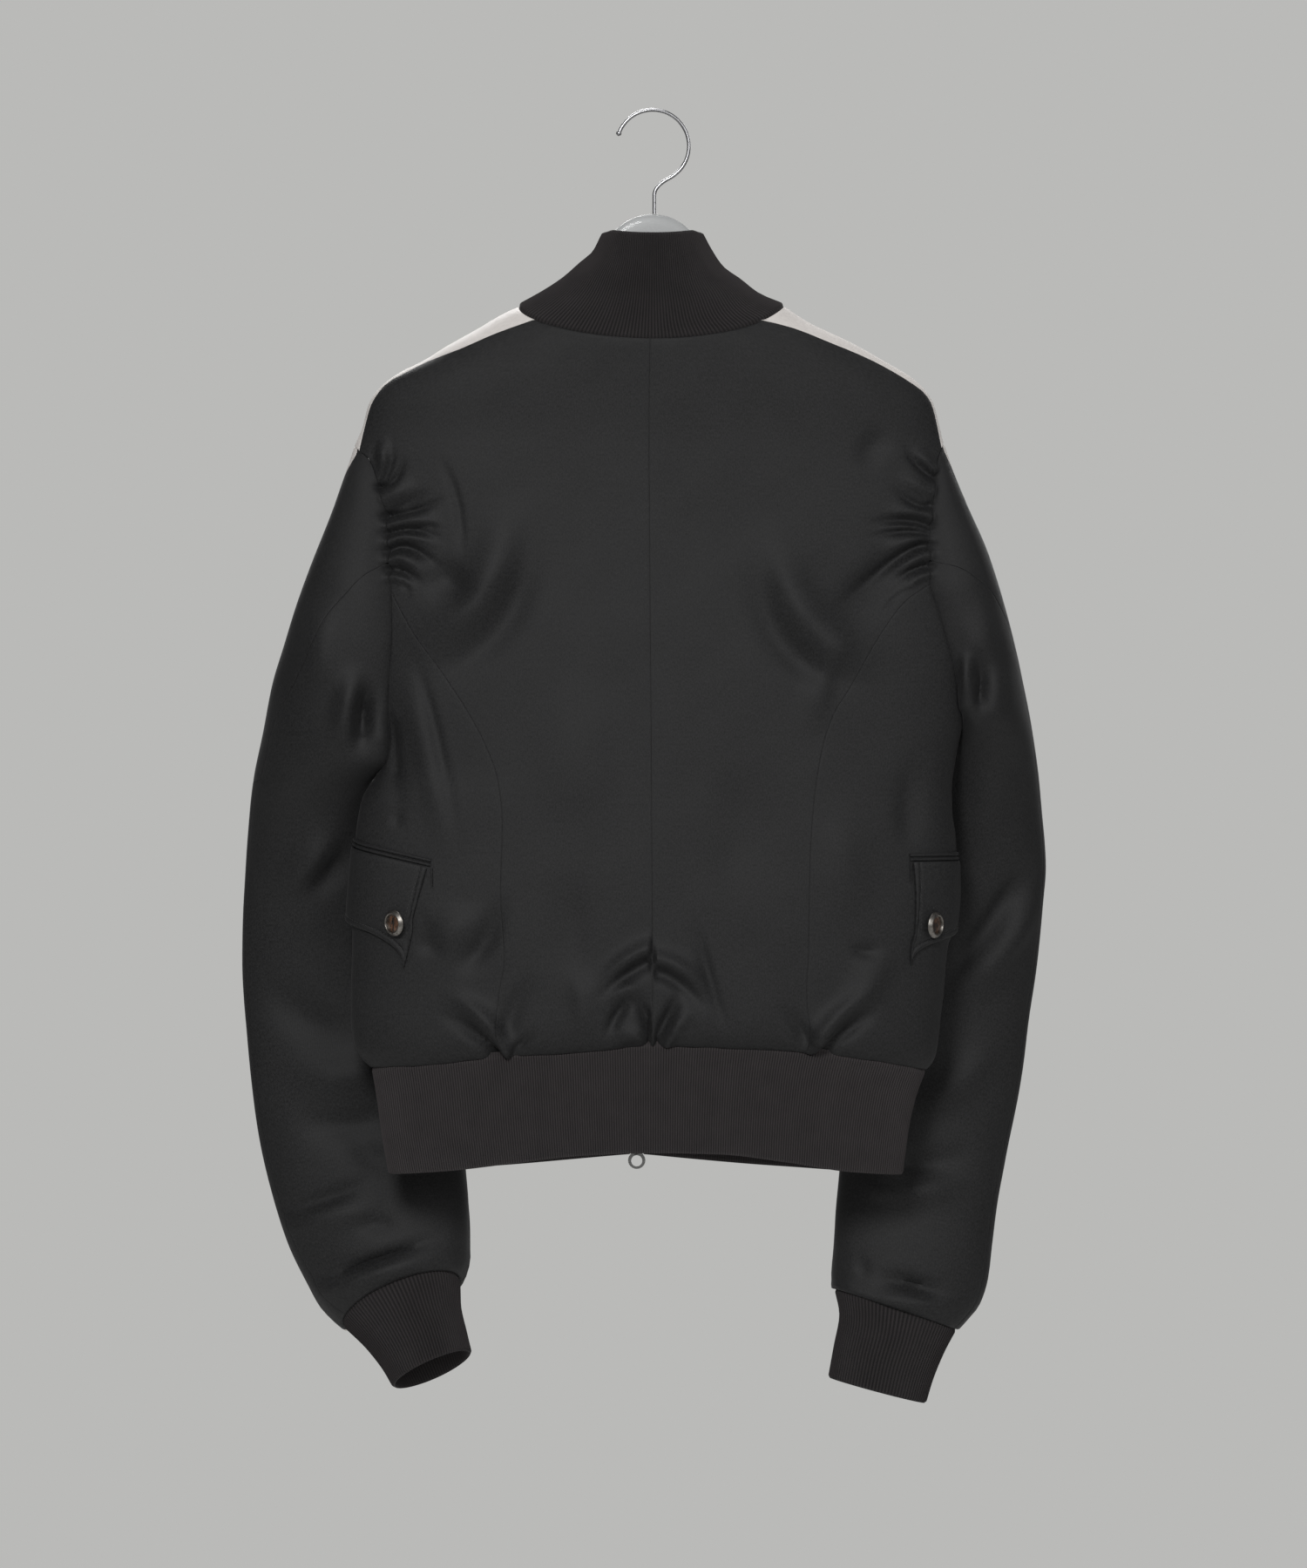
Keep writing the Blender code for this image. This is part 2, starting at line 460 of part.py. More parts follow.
def body_base(girth, down):
    girth, down = np.broadcast_arrays(np.asarray(girth, float), np.asarray(down, float))
    side = np.where(girth < 0, body_side(-1, down), body_side(1, down))
    across = np.abs(girth)
    front = across > 1
    part = np.where(front, 2 - across, across)
    angle = np.interp(np.abs(part), QUARTER_PART, QUARTER_ANGLE)
    s, c = oval(angle)
    tuck = TUCK_DEPTH * np.exp(-np.maximum(hem_down(girth) - down, 0) / TUCK_REACH)
    depth = np.where(front, read(BODY_DEPTH, "front", down), read(BODY_DEPTH, "back", down))
    x = np.sign(girth) * np.sign(part) * (side - tuck) * s + drift(girth, down)
    y = np.where(front, 1.0, -1.0) * (depth - tuck) * c
    return np.stack([x, y, -down], axis=-1)


def normals(surface, u, v, outward, du=0.004, dv=0.5):
    """Unit normals of a surface by differences, all on the side that outward gives."""
    across = surface(u + du, v) - surface(u - du, v)
    along = surface(u, v + dv) - surface(u, v - dv)
    found = unit(np.cross(across, along))
    return found * np.sign((found * outward).sum())


def strokes(table, side, down):
    """Height of all of a table's folds at places given by side and down."""
    height = np.zeros(np.broadcast(side, down).shape)
    t = np.linspace(0, 1, FOLD_STEPS)
    for row in zip(*table.values()):
        side_a, down_a, side_b, down_b, side_c, down_c, width, top, rooted = row
        bend_side = side_a * (1 - t) ** 2 + 2 * side_b * t * (1 - t) + side_c * t * t
        bend_down = down_a * (1 - t) ** 2 + 2 * down_b * t * (1 - t) + down_c * t * t
        fade = ((1 - t) if rooted else np.sin(HALF_TURN * t)) ** FOLD_TAPER
        gap = np.hypot(side[..., None] - bend_side, down[..., None] - bend_down)
        reach = np.exp(-(gap / width) ** 2) * fade
        height = height + top * reach.max(axis=-1)
    return height


def body_fold(girth, point):
    """How far the cloth stands out at a point of the body."""
    across = np.abs(girth)
    side, down = np.abs(point[..., 0]), -point[..., 2]
    height = np.zeros(side.shape)
    for way in (-1, 1):
        on_side = np.sign(girth) == way
        back = strokes(BACK_FOLDS[way], side, down) * ease((1 - across) / FOLD_FADES["back"])
        front = strokes(FRONT_FOLDS[way], side, down) * ease((across - 1) / FOLD_FADES["front"])
        height = np.where(on_side, np.where(across < 1, back, front), height)
    return height * ease(np.minimum(across, 2 - across) / FOLD_FADES["middle"])


def body_points(girth, down):
    """Points and normals of the finished body."""
    point = body_base(girth, down)
    outward = point * np.array([1.0, 3.0, 0.0])
    normal = normals(body_base, girth, down, outward)
    return point + normal * body_fold(girth, point)[..., None], normal


# ---------------------------------------------------------------- the sleeves' surface
def armhole_girth(side, down):
    """The armhole's girth on the back; the front's is as far from the front's middle."""
    table = ARMHOLE[side]
    levels = ARMHOLE_LEVELS[side]
    girth = seam_girth(side, table, table["down"])
    along = np.concatenate([[table["down"][0] - 4.0], table["down"], [levels["armpit"]]])
    return smooth(along, np.concatenate([[1.0], girth, [1.0]]), down)


def section_point(table, level, angle):
    """A point of a sleeve's or cuff's oval section; side grows outwards on both sides."""
    outer, inner = read(table, "outer", level), read(table, "inner", level)
    outer_down = read(table, "outer_down", level)
    inner_down = read(table, "inner_down", level)
    out = -np.cos(angle)
    side = (outer + inner) / 2 + (outer - inner) / 2 * out
    down = (outer_down + inner_down) / 2 + (outer_down - inner_down) / 2 * out
    down = down - read(table, "tilt", level) * np.sin(angle)
    y = read(table, "middle", level) - read(table, "depth", level) * np.sin(angle)
    return np.stack([side, y, -down], axis=-1)


def sleeve_base(side, part, level):
    """The sleeve: an oval open towards the armhole, and closed below the armpit."""
    part, level = np.broadcast_arrays(np.asarray(part, float), np.asarray(level, float))
    table = SLEEVE[side]
    armpit = ARMHOLE_LEVELS[side]["armpit"]
    outer, inner = read(table, "outer", level), read(table, "inner", level)
    part = np.where((level > armpit - 1) & ((part < 0) | (part > 1)), part % 1.0, part)
    girth = armhole_girth(side, np.minimum(level, armpit))
    mirror = np.array([side, 1.0, 1.0])
    back = body_base(side * girth, level) * mirror
    front = body_base(side * (2 - girth), level) * mirror
    apart = UNDERARM_CLEAR * ease((level - armpit) / UNDERARM_CLEAR_LENGTH)
    back[..., 0] += apart
    front[..., 0] += apart
    ratio = ((outer + inner) / 2 - back[..., 0]) / ((outer - inner) / 2)
    opening = np.arccos(np.clip(ratio, -1.0, 1.0))
    opening = opening * (1 - ease((level - armpit + UNDERARM_CLOSING) / UNDERARM_CLOSING))
    angle = opening + (2 * HALF_TURN - 2 * opening) * part
    point = section_point(table, level, angle)
    start = section_point(table, level, opening)
    finish = section_point(table, level, 2 * HALF_TURN - opening)
    below = np.exp(-np.maximum(level - armpit, 0) / UNDERARM_FADE)[..., None]
    pull_back = np.clip(1 - 2 * part, 0, None)[..., None] ** 2
    pull_front = np.clip(2 * part - 1, 0, None)[..., None] ** 3
    point = point + (back - start) * pull_back * below
    point = point + (front - finish) * pull_front * below
    return point * mirror


def sleeve_points(side, part, level):
    def surface(u, v):
        return sleeve_base(side, u, v)

    point = surface(part, level)
    middle = section_point(SLEEVE[side], level, np.full(np.shape(level), HALF_TURN / 2))
    middle = middle * np.array([side, 1.0, 1.0])
    middle[..., 1] = read(SLEEVE[side], "middle", level)
    normal = normals(surface, part, level, point - middle)
    fold = strokes(SLEEVE_FOLDS[side], np.abs(point[..., 0]), -point[..., 2])
    fades = SLEEVE_FOLD_FADES
    back = ease(part / fades["start"]) * ease((fades["seam"] - part) / fades["end"])
    return point + normal * (fold * back)[..., None], normal


def sleeve_seam_part(side, level):
    """The back seam's place round the sleeve, found from its place seen from behind."""
    table = SLEEVE_BACK_SEAM[side]
    parts = np.linspace(0.0, 0.5, SEAM_SAMPLES)
    found = []
    for one in np.atleast_1d(level):
        below = float(read(SEAM_PART_BELOW, "part", one))
        if one > table["down"][-1]:
            found.append(below)
            continue
        across = np.abs(sleeve_base(side, parts, np.full(parts.shape, one))[:, 0])
        seen = float(read(table, "side", one))
        place = parts[np.argmin(np.abs(across - seen))]
        found.append(min(max(place, 0.02), below))
    return np.array(found)


def stripe_part(side, name, level):
    top = ARMHOLE[side]["down"][0]
    return read(SLEEVE_STRIPE, name, level - top)


# ---------------------------------------------------------------- solids from grids
def inward(line, inner):
    """Unit steps from an edge towards the next line of points, square to the edge."""
    along = unit(np.gradient(line, axis=0))
    step = inner - line
    return unit(step - along * (step * along).sum(axis=-1, keepdims=True))


def trimmed(grid, gap, sides="tblr"):
    """The grid drawn back from its edges (top, bottom, left, right) square to them."""
    out = grid.copy()
    if "t" in sides:
        out[0] += inward(grid[0], grid[1]) * gap
    if "b" in sides:
        out[-1] += inward(grid[-1], grid[-2]) * gap
    if "l" in sides:
        out[:, 0] += inward(grid[:, 0], grid[:, 1]) * gap
    if "r" in sides:
        out[:, -1] += inward(grid[:, -1], grid[:, -2]) * gap
    return out


def wall_mesh(name, outer, inner, closed=False):
    """A wall between two grids of points, closed at its edges or round its columns."""
    rows, cols = outer.shape[:2]
    count = rows * cols
    index = np.arange(count).reshape(rows, cols)
    if closed:
        index = np.concatenate([index, index[:, :1]], axis=1)
    quads = np.stack([index[:-1, :-1], index[:-1, 1:], index[1:, 1:], index[1:, :-1]], -1)
    quads = quads.reshape(-1, 4)
    faces = [quads, quads[:, ::-1] + count]
    borders = [index[0, ::-1], index[-1]]
    if not closed:
        borders += [index[:, 0], index[::-1, -1]]
    for line in borders:
        a, b = line[:-1], line[1:]
        faces.append(np.stack([a, b, b + count, a + count], -1))
    points = np.concatenate([outer.reshape(-1, 3), inner.reshape(-1, 3)]) * MM
    mesh = bpy.data.meshes.new(name)
    mesh.from_pydata(points.tolist(), [], np.concatenate(faces).tolist())
    work = bmesh.new()
    work.from_mesh(mesh)
    bmesh.ops.recalc_face_normals(work, faces=work.faces)
    work.to_mesh(mesh)
    work.free()
    return mesh


def add_object(name, mesh, material, collection):
    piece = bpy.data.objects.new(name, mesh)
    piece.data.materials.append(material)
    mesh.shade_smooth()
    mesh.set_sharp_from_angle(angle=math.radians(SHARP_ANGLE))
    collection.objects.link(piece)
    return piece


def add_wall(name, base, normal, material, collection):
    mesh = wall_mesh(name, base, base - normal * WALL)
    return add_object(name, mesh, material, collection)


def coons(top, bottom, first, last):
    """A net between four edges, each a list of places on the surface."""
    rows, cols = len(first), len(top)
    t = np.linspace(0, 1, rows)[:, None, None]
    k = np.linspace(0, 1, cols)[None, :, None]
    corners = ((1 - k) * (1 - t) * first[0] + k * (1 - t) * last[0]
               + (1 - k) * t * first[-1] + k * t * last[-1])
    return ((1 - k) * first[:, None] + k * last[:, None]
            + (1 - t) * top[None] + t * bottom[None] - corners)


def places(girth, down):
    girth, down = np.broadcast_arrays(np.asarray(girth, float), np.asarray(down, float))
    return np.stack([girth, down], axis=-1)


# ---------------------------------------------------------------- seams of the body
def armhole_levels(side):
    """Levels down the armhole: fine where the back is gathered, then to the armpit."""
    top = ARMHOLE[side]["down"][0]
    levels = ARMHOLE_LEVELS[side]
    gathers = np.linspace(top, levels["sleeve_seam"], GATHER_STEPS + 1)
    yoke = np.linspace(levels["sleeve_seam"], levels["princess"], YOKE_STEPS + 1)[1:]
    fine = np.concatenate([gathers, yoke])
    lower = mix(levels["princess"], levels["armpit"], np.array(LOWER_PARTS))
    return fine, lower


def stripe_edge(side, front=False):
    table = STRIPE_EDGE[side]

    def girth(down):
        found = seam_girth(side, table, down)
        return 2 - found if front else found

    start = table["down"][0]
    for _ in range(SETTLE_STEPS):  # where the edge meets the collar's seam
        start = float(neck_down(girth(start)))
    down = mix(start, table["down"][-1], np.linspace(0, 1, STRIPE_STEPS + 1) ** STRIPE_CROWDING)
    return places(girth(down), down)


def princess_seam(side):
    start = ARMHOLE_LEVELS[side]["princess"]
    girth_end = float(seam_girth(side, BACK_PRINCESS[side], PRINCESS_END))
    down = np.linspace(start, float(hem_down(side * girth_end)), PRINCESS_STEPS + 1)
    return places(seam_girth(side, BACK_PRINCESS[side], down), down)


def front_seam(side):
    lower = armhole_levels(side)[1]
    start = lower[FRONT_SEAM_STEP]
    start_girth = 2 - float(armhole_girth(side, start))
    end_girth = FRONT_SEAM["girth"][-1]
    down = np.linspace(start, float(hem_down(side * end_girth)), PRINCESS_STEPS + 1)
    girth = read(FRONT_SEAM, "girth", down)
    join = 1 - ease((down - start) / FRONT_SEAM_BLEND)
    return places(mix(girth, start_girth, join), down)


def zip_edge(side, down):
    return 2 - girth_at((ZIP_HALF_WIDTH + SEAM_GAP / 2) / body_side(side, down))


def front_corner(side):
    """The girth and level where a front meets the zip and the collar."""
    down = NECK_TOP_DOWN + NECK_FRONT_DROP
    for _ in range(SETTLE_STEPS):
        down = float(neck_down(zip_edge(side, down)))
    return float(zip_edge(side, down)), down


def signed(net, side):
    return net * np.array([side, 1.0])


# ---------------------------------------------------------------- the body's pieces
def add_back(side, name, material, collection):
    fine = armhole_levels(side)[0]
    armhole = places(armhole_girth(side, fine), fine)
    outer = np.concatenate([stripe_edge(side), armhole[1:], princess_seam(side)[1:]])
    start, finish = float(neck_down(0.0)), float(hem_down(0.0))
    part = (outer[:, 1] - outer[0, 1]) / (outer[-1, 1] - outer[0, 1])
    middle = places(np.zeros(len(outer)), mix(start, finish, part))
    k = np.linspace(0, 1, BACK_COLUMNS + 1)
    neck_girth = mix(outer[0, 0], 0.0, k)
    top = places(neck_girth, neck_down(neck_girth * side))
    top[0] = outer[0]
    hem_girth = mix(outer[-1, 0], 0.0, k)
    net = signed(coons(top, places(hem_girth, hem_down(hem_girth * side)), outer, middle), side)
    point, normal = body_points(net[..., 0], net[..., 1])
    return add_wall(name, trimmed(point, SEAM_GAP / 2), normal, material, collection)


def side_net(side):
    fine, lower = armhole_levels(side)
    back = places(armhole_girth(side, lower), lower)
    start = places(armhole_girth(side, fine[-1:]), fine[-1:])
    up = lower[FRONT_SEAM_STEP:-1][::-1]
    front = places(2 - armhole_girth(side, up), up)
    top = np.concatenate([start, back, front])
    first, last = princess_seam(side), front_seam(side)
    first[0], last[0] = top[0], top[-1]
    round_back = np.linspace(1, 0, len(lower) + 1) ** SIDE_CROWDING
    round_front = np.linspace(0, 1, len(up) + 1)[1:] ** SIDE_CROWDING
    girth = np.concatenate([1 - (1 - first[-1, 0]) * round_back,
                            1 + (last[-1, 0] - 1) * round_front])
    bottom = places(girth, hem_down(girth * side))
    return signed(coons(top, bottom, first, last), side)


def add_side(side, name, material, collection):
    net = side_net(side)
    point, normal = body_points(net[..., 0], net[..., 1])
    return add_wall(name, trimmed(point, SEAM_GAP / 2), normal, material, collection)


def add_front(side, name, material, collection):
    fine, lower = armhole_levels(side)
    levels = np.concatenate([fine[list(COARSE_STEPS)][1:], lower[:FRONT_SEAM_STEP + 1]])
    armhole = places(2 - armhole_girth(side, levels), levels)
    outer = np.concatenate([stripe_edge(side, front=True), armhole, front_seam(side)[1:]])
    closing, start = front_corner(side)
    finish = float(hem_down(closing * side))
    part = (outer[:, 1] - outer[0, 1]) / (outer[-1, 1] - outer[0, 1])
    down = mix(start, finish, part)
    middle = places(zip_edge(side, down), down)
    k = np.linspace(0, 1, FRONT_COLUMNS + 1)
    neck_girth = mix(outer[0, 0], middle[0, 0], k)
    top = places(neck_girth, neck_down(neck_girth * side))
    top[0], top[-1] = outer[0], middle[0]
    hem_girth = mix(outer[-1, 0], middle[-1, 0], k)
    bottom = places(hem_girth, hem_down(hem_girth * side))
    bottom[-1] = middle[-1]
    net = signed(coons(top, bottom, outer, middle), side)
    point, normal = body_points(net[..., 0], net[..., 1])
    return add_wall(name, trimmed(point, SEAM_GAP / 2), normal, material, collection)


def stripe_net(side):
    back = stripe_edge(side)
    front = stripe_edge(side, front=True)
    k = np.linspace(0, 1, STRIPE_COLUMNS + 1)
    neck_girth = mix(back[0, 0], front[0, 0], k)
    top = places(neck_girth, neck_down(neck_girth * side))
    top[0], top[-1] = back[0], front[0]
    end_girth = mix(back[-1, 0], front[-1, 0], k)
    rise = STRIPE_RISE * np.sin(HALF_TURN * k)
    bottom = places(end_girth, back[-1, 1] - rise)
    return signed(coons(top, bottom, back, front), side)


def add_shoulder_stripe(side, name, material, collection):
    net = stripe_net(side)
    point, normal = body_points(net[..., 0], net[..., 1])
    return add_wall(name, trimmed(point, SEAM_GAP / 2), normal, material, collection)


# ---------------------------------------------------------------- the sleeves' pieces
def sleeve_levels(side):
    fine, lower = armhole_levels(side)
    end = SLEEVE[side]["level"][-1]
    near = lower[-1] + np.array(BELOW_ARMPIT)
    below = np.concatenate([near, np.linspace(near[-1], end, SLEEVE_STEPS + 1)[1:]])
    head = fine[list(COARSE_STEPS)]
    head[0] += SLEEVE_HEAD_GAP
    return np.concatenate([head, lower, below])


def add_sleeve_piece(side, name, levels, first, last, count, material, collection):
    k = np.linspace(0, 1, count + 1)[None, :]
    part = mix(first[:, None], last[:, None], k)
    point, normal = sleeve_points(side, part, np.repeat(levels[:, None], count + 1, axis=1))
    return add_wall(name, trimmed(point, SLEEVE_GAP), normal, material, collection)


def add_sleeve(side, word, cloth, white, collection):
    levels = sleeve_levels(side)
    start = COARSE_STEPS.index(GATHER_STEPS)
    under_levels = levels[start:]
    seam = np.zeros(len(levels))
    seam[start:] = sleeve_seam_part(side, under_levels)
    seam[:start] = 0.0
    back_edge, front_edge = (stripe_part(side, key, levels) for key in ("back", "front"))
    drawn = SLEEVE_HEAD_PART * np.exp((levels[0] - levels) / SLEEVE_HEAD_FADE)
    add_sleeve_piece(side, "sleeve_under_" + word, under_levels, np.zeros(len(under_levels)),
                     seam[start:], UNDER_COLUMNS, cloth, collection)
    add_sleeve_piece(side, "sleeve_top_" + word, levels, np.maximum(seam, drawn), back_edge,
                     TOP_COLUMNS, cloth, collection)
    add_sleeve_piece(side, "sleeve_stripe_" + word, levels, back_edge, front_edge,
                     SLEEVE_STRIPE_COLUMNS, white, collection)
    add_sleeve_piece(side, "sleeve_front_" + word, levels, front_edge, 1 - drawn,
                     SLEEVE_FRONT_COLUMNS, cloth, collection)


# ---------------------------------------------------------------- ribs
def ridged(count):
    """Ridges at every other column."""
    return RIB_RIDGE * (np.arange(count) % 2)


def neck_knots():
    """Girths of the corners of the body's pieces along the neck."""
    knots = []
    for side in (-1, 1):
        edge = float(stripe_edge(side)[0, 0])
        front_edge = float(stripe_edge(side, front=True)[0, 0])
        closing = front_corner(side)[0]
        knots += (side * np.linspace(0, edge, BACK_COLUMNS + 1)).tolist()
        knots += (side * np.linspace(edge, front_edge, STRIPE_COLUMNS + 1)).tolist()
        knots += (side * np.linspace(front_edge, closing, FRONT_COLUMNS + 1)).tolist()
        knots.append(2.0 * side)
    return np.unique(np.round(knots, 9))


def collar_base(girth, part):
    """From the neck seam, part 0, up to the collar's edge, part 1."""
    girth, part = np.broadcast_arrays(np.asarray(girth, float), np.asarray(part, float))
    knots = neck_knots()
    corners = body_base(knots, neck_down(knots))
    foot = np.stack([np.interp(girth, knots, corners[:, axis]) for axis in range(3)], -1)
    across = np.abs(girth)
    front = across > 1
    angle = np.interp(np.abs(np.where(front, 2 - across, across)), QUARTER_PART, QUARTER_ANGLE)
    s, c = oval(angle)
    top = COLLAR_TOP
    way = np.sign(girth) * np.sign(np.where(front, 2 - across, 1.0))
    closing = ZIP_HALF_WIDTH + SEAM_GAP / 2
    opening = closing / body_side(1, NECK_TOP_DOWN)
    front_x = mix(closing, top["side"], np.clip((s - opening) / (1 - opening), 0, 1))
    head_x = way * np.where(front, front_x, top["side"] * s)
    head_y = np.where(front, top["front"], -top["back"]) * c
    end_down = np.where(front, top["front_down"], top["back_down"])
    head_down = mix(end_down, top["side_down"], np.sin(angle) ** 2)
    left = np.maximum(1 - part, 0)
    share = np.where(girth < 0, read(COLLAR_FLARE[-1], "share", left),
                     read(COLLAR_FLARE[1], "share", left))
    x = head_x + (foot[..., 0] - head_x) * share
    y = head_y + (foot[..., 1] - head_y) * left
    z = -head_down + (foot[..., 2] + head_down) * left
    return np.stack([x, y, z], axis=-1)


def collar_girths():
    """The ribs' girths: each corner of the neck seam, and even steps between them."""
    knots = neck_knots()[1:-1]
    corners = body_base(knots, neck_down(knots))
    run = np.linalg.norm(np.diff(corners, axis=0), axis=1)
    count = np.maximum(1, np.round(2 * COLLAR_RIBS * run / run.sum())).astype(int)
    steps = [np.linspace(a, b, n, endpoint=False) for a, b, n in zip(knots, knots[1:], count)]
    return np.concatenate(steps + [knots[-1:]])


def add_collar(material, collection):
    girth = collar_girths()
    part = np.linspace(0, 1, COLLAR_ROWS + 1)[:, None]
    girth, part = np.broadcast_arrays(girth[None, :], part)
    point = collar_base(girth, part)
    for column in (0, -1):
        point[:, column, 0] = (ZIP_HALF_WIDTH + SEAM_GAP / 2) * np.sign(girth[:, column])
    normal = normals(collar_base, girth, part, point * np.array([1.0, 1.0, 0.0]), dv=0.01)
    normal[:, 0], normal[:, -1] = normal[:, 1], normal[:, -2]
    normal[0] = body_points(girth[0], neck_down(girth[0]))[1]  # its foot lies on the body's edge
    base = trimmed(point, SEAM_GAP / 2, "blr") + trimmed(point, SEAM_GAP, "t") - point
    ridge = ridged(base.shape[1])[None, :, None]
    mesh = wall_mesh("collar", base + normal * ridge, base - normal * RIB_WALL)
    return add_object("collar", mesh, material, collection)


def hem_base(girth, part):
    girth, part = np.broadcast_arrays(np.asarray(girth, float), np.asarray(part, float))
    side = np.where(girth < 0, read(HEM_SIDE[-1], "side", part), read(HEM_SIDE[1], "side", part))
    across = np.abs(girth)
    front = across > 1
    share = np.where(front, 2 - across, across)
    s, c = oval(np.interp(np.abs(share), QUARTER_PART, QUARTER_ANGLE))
    down = mix(hem_down(girth), read(HEM_EDGE, "down", girth), part)
    x = np.sign(girth) * np.sign(share) * side * s + drift(girth, down)
    y = np.where(front, 1.0, -1.0) * read(HEM_DEPTH, "depth", part) * c
    return np.stack([x, y, -down], axis=-1)


def add_hem(material, collection):
    ends = []
    for side in (-1, 1):
        ratio = (ZIP_HALF_WIDTH + SEAM_GAP / 2) / HEM_SIDE[side]["side"][-1]
        ends.append(side * (2 - float(girth_at(ratio))))
    girth = np.linspace(*ends, 2 * HEM_RIBS + 1)
    part = np.linspace(0, 1, HEM_ROWS + 1)[:, None]
    girth, part = np.broadcast_arrays(girth[None, :], part)
    point = hem_base(girth, part)
    normal = normals(hem_base, girth, part, point * np.array([1.0, 3.0, 0.0]), dv=0.01)
    base = trimmed(point, SEAM_GAP / 2)
    ridge = ridged(base.shape[1])[None, :, None]
    mesh = wall_mesh("hem_rib", base + normal * ridge, base - normal * RIB_WALL)
    return add_object("hem_rib", mesh, material, collection)


def add_cuff(side, name, material, collection):
    count = 2 * CUFF_RIBS
    angle = 2 * HALF_TURN * np.arange(count)[None, :] / count
    part = np.linspace(0, 1, CUFF_ROWS + 1)[:, None]
    angle, part = np.broadcast_arrays(angle, part)
    mirror = np.array([side, 1.0, 1.0])

    def surface(u, v):
        return section_point(CUFF[side], v, u) * mirror

    point = surface(angle, part)
    centre = point.mean(axis=1, keepdims=True)
    normal = normals(surface, angle, part, point - centre, dv=0.02)
    base = trimmed(point, CUFF_GAP, "t")
    ridge = ridged(count)[None, :, None]
    mesh = wall_mesh(name, base + normal * ridge, base - normal * RIB_WALL, closed=True)
    return add_object(name, mesh, material, collection)


# ---------------------------------------------------------------- pockets and buttons
def body_place(side, at_side, down):
    """Girth of a place on the back half of the body seen from behind."""
    return float(girth_at(at_side / float(body_side(side, down))))


def panel_girths(side, start, down, latest, margin=0.02):
    """Girths of a start, of the side panel's own columns past the latest one, and the end."""
    net = signed(side_net(side), side)

    def at_level(level):
        return np.array([np.interp(level, line[:, 1], line[:, 0])
                         for line in net.transpose(1, 0, 2)])

    end = FLAP["front_girth"]
    choice = at_level(FLAP_SIDE[side]["low_side"])
    chosen = (choice > latest + margin) & (choice < end - margin)
    return np.concatenate([[start], at_level(down)[chosen], [end]])


def flap_net(side):
    shape = FLAP_SIDE[side]
    top_girth = body_place(side, *shape["top"])
    tip_girth = body_place(side, *shape["tip"])
    t = np.linspace(0, 1, FLAP["rows"] + 1)[:, None]
    latest = max(top_girth, tip_girth)
    girth_top = panel_girths(side, top_girth, shape["top_side"], latest)
    girth_low = panel_girths(side, tip_girth, shape["low_side"], latest)
    reach = np.clip((girth_top - top_girth) / (1 - top_girth), 0, 1)
    down_top = mix(shape["top"][1], shape["top_side"], reach)
    reach_low = np.clip((girth_low - tip_girth) / (1 - tip_girth), 0, 1)
    down_low = mix(shape["tip"][1], shape["low_side"], reach_low ** FLAP_ARCH)
    return mix(girth_top, girth_low, t), mix(down_top, down_low, t)


def add_flap(side, name, material, collection):
    girth, down = flap_net(side)
    point, normal = body_points(girth * side, down)
    lift = FLAP["lift"] + FLAP["thickness"]
    mesh = wall_mesh(name, point + normal * lift, point + normal * FLAP["lift"])
    return add_object(name, mesh, material, collection)


def add_welt(side, name, material, collection):
    shape = FLAP_SIDE[side]
    end_girth = body_place(side, WELT_END_SIDE[side], shape["top"][1])
    girth = panel_girths(side, end_girth, shape["top_side"], end_girth)
    reach = np.clip((girth - end_girth) / (1 - end_girth), 0, 1)
    low = mix(shape["top"][1], shape["top_side"], reach) - SEAM_GAP * 2
    girth, low = np.broadcast_arrays(girth[None, :], low[None, :])
    down = np.concatenate([low - WELT["height"], low - WELT["height"] / 2, low])
    girth = np.repeat(girth, 3, axis=0)
    point, normal = body_points(girth * side, down)
    lift = WELT["lift"] + WELT["thickness"]
    mesh = wall_mesh(name, point + normal * lift, point + normal * WELT["lift"])
    return add_object(name, mesh, material, collection)


def add_button(side, name, material, collection):
    """A turned disc with a raised rim; its axis leans out from the cloth's."""
    at_side, down = BUTTON_PLACE[side]
    girth = np.array([body_place(side, at_side, down) * side])
    point, normal = body_points(girth, np.array([down]))
    outward = Vector(normal[0])
    outward.rotate(Matrix.Rotation(math.radians(BUTTON_TURN) * side, 4, "Z"))
    lift = FLAP["lift"] + FLAP["thickness"] + BUTTON_LIFT[side]
    centre = Vector(point[0]) + Vector(normal[0]) * lift
    radius, rim = BUTTON["radius"], BUTTON["rim"]
    top, face = BUTTON["rim_height"], BUTTON["face_height"]
    edge, foot = radius - BUTTON["round"], BUTTON["foot"]
    profile = [(0.0, face), (radius - rim - BUTTON["groove"], face), (radius - rim, top),
               (edge, top), (radius, top - BUTTON["shoulder"]), (radius, foot), (edge, 0.0),
               (0.0, 0.0)]
    mesh = bpy.data.meshes.new(name)
    mesh.from_pydata([(r * MM, 0.0, h * MM) for r, h in profile],
                     [(i, i + 1) for i in range(len(profile) - 1)], [])
    piece = bpy.data.objects.new(name, mesh)
    collection.objects.link(piece)
    turn = piece.modifiers.new("turn", "SCREW")
    turn.steps = turn.render_steps = BUTTON["sides"]
    turn.use_merge_vertices = True
    turn.merge_threshold = 0.00001
    piece.data.materials.append(material)
    piece.location = centre * MM
    piece.rotation_euler = outward.to_track_quat("Z", "Y").to_euler()
    return piece


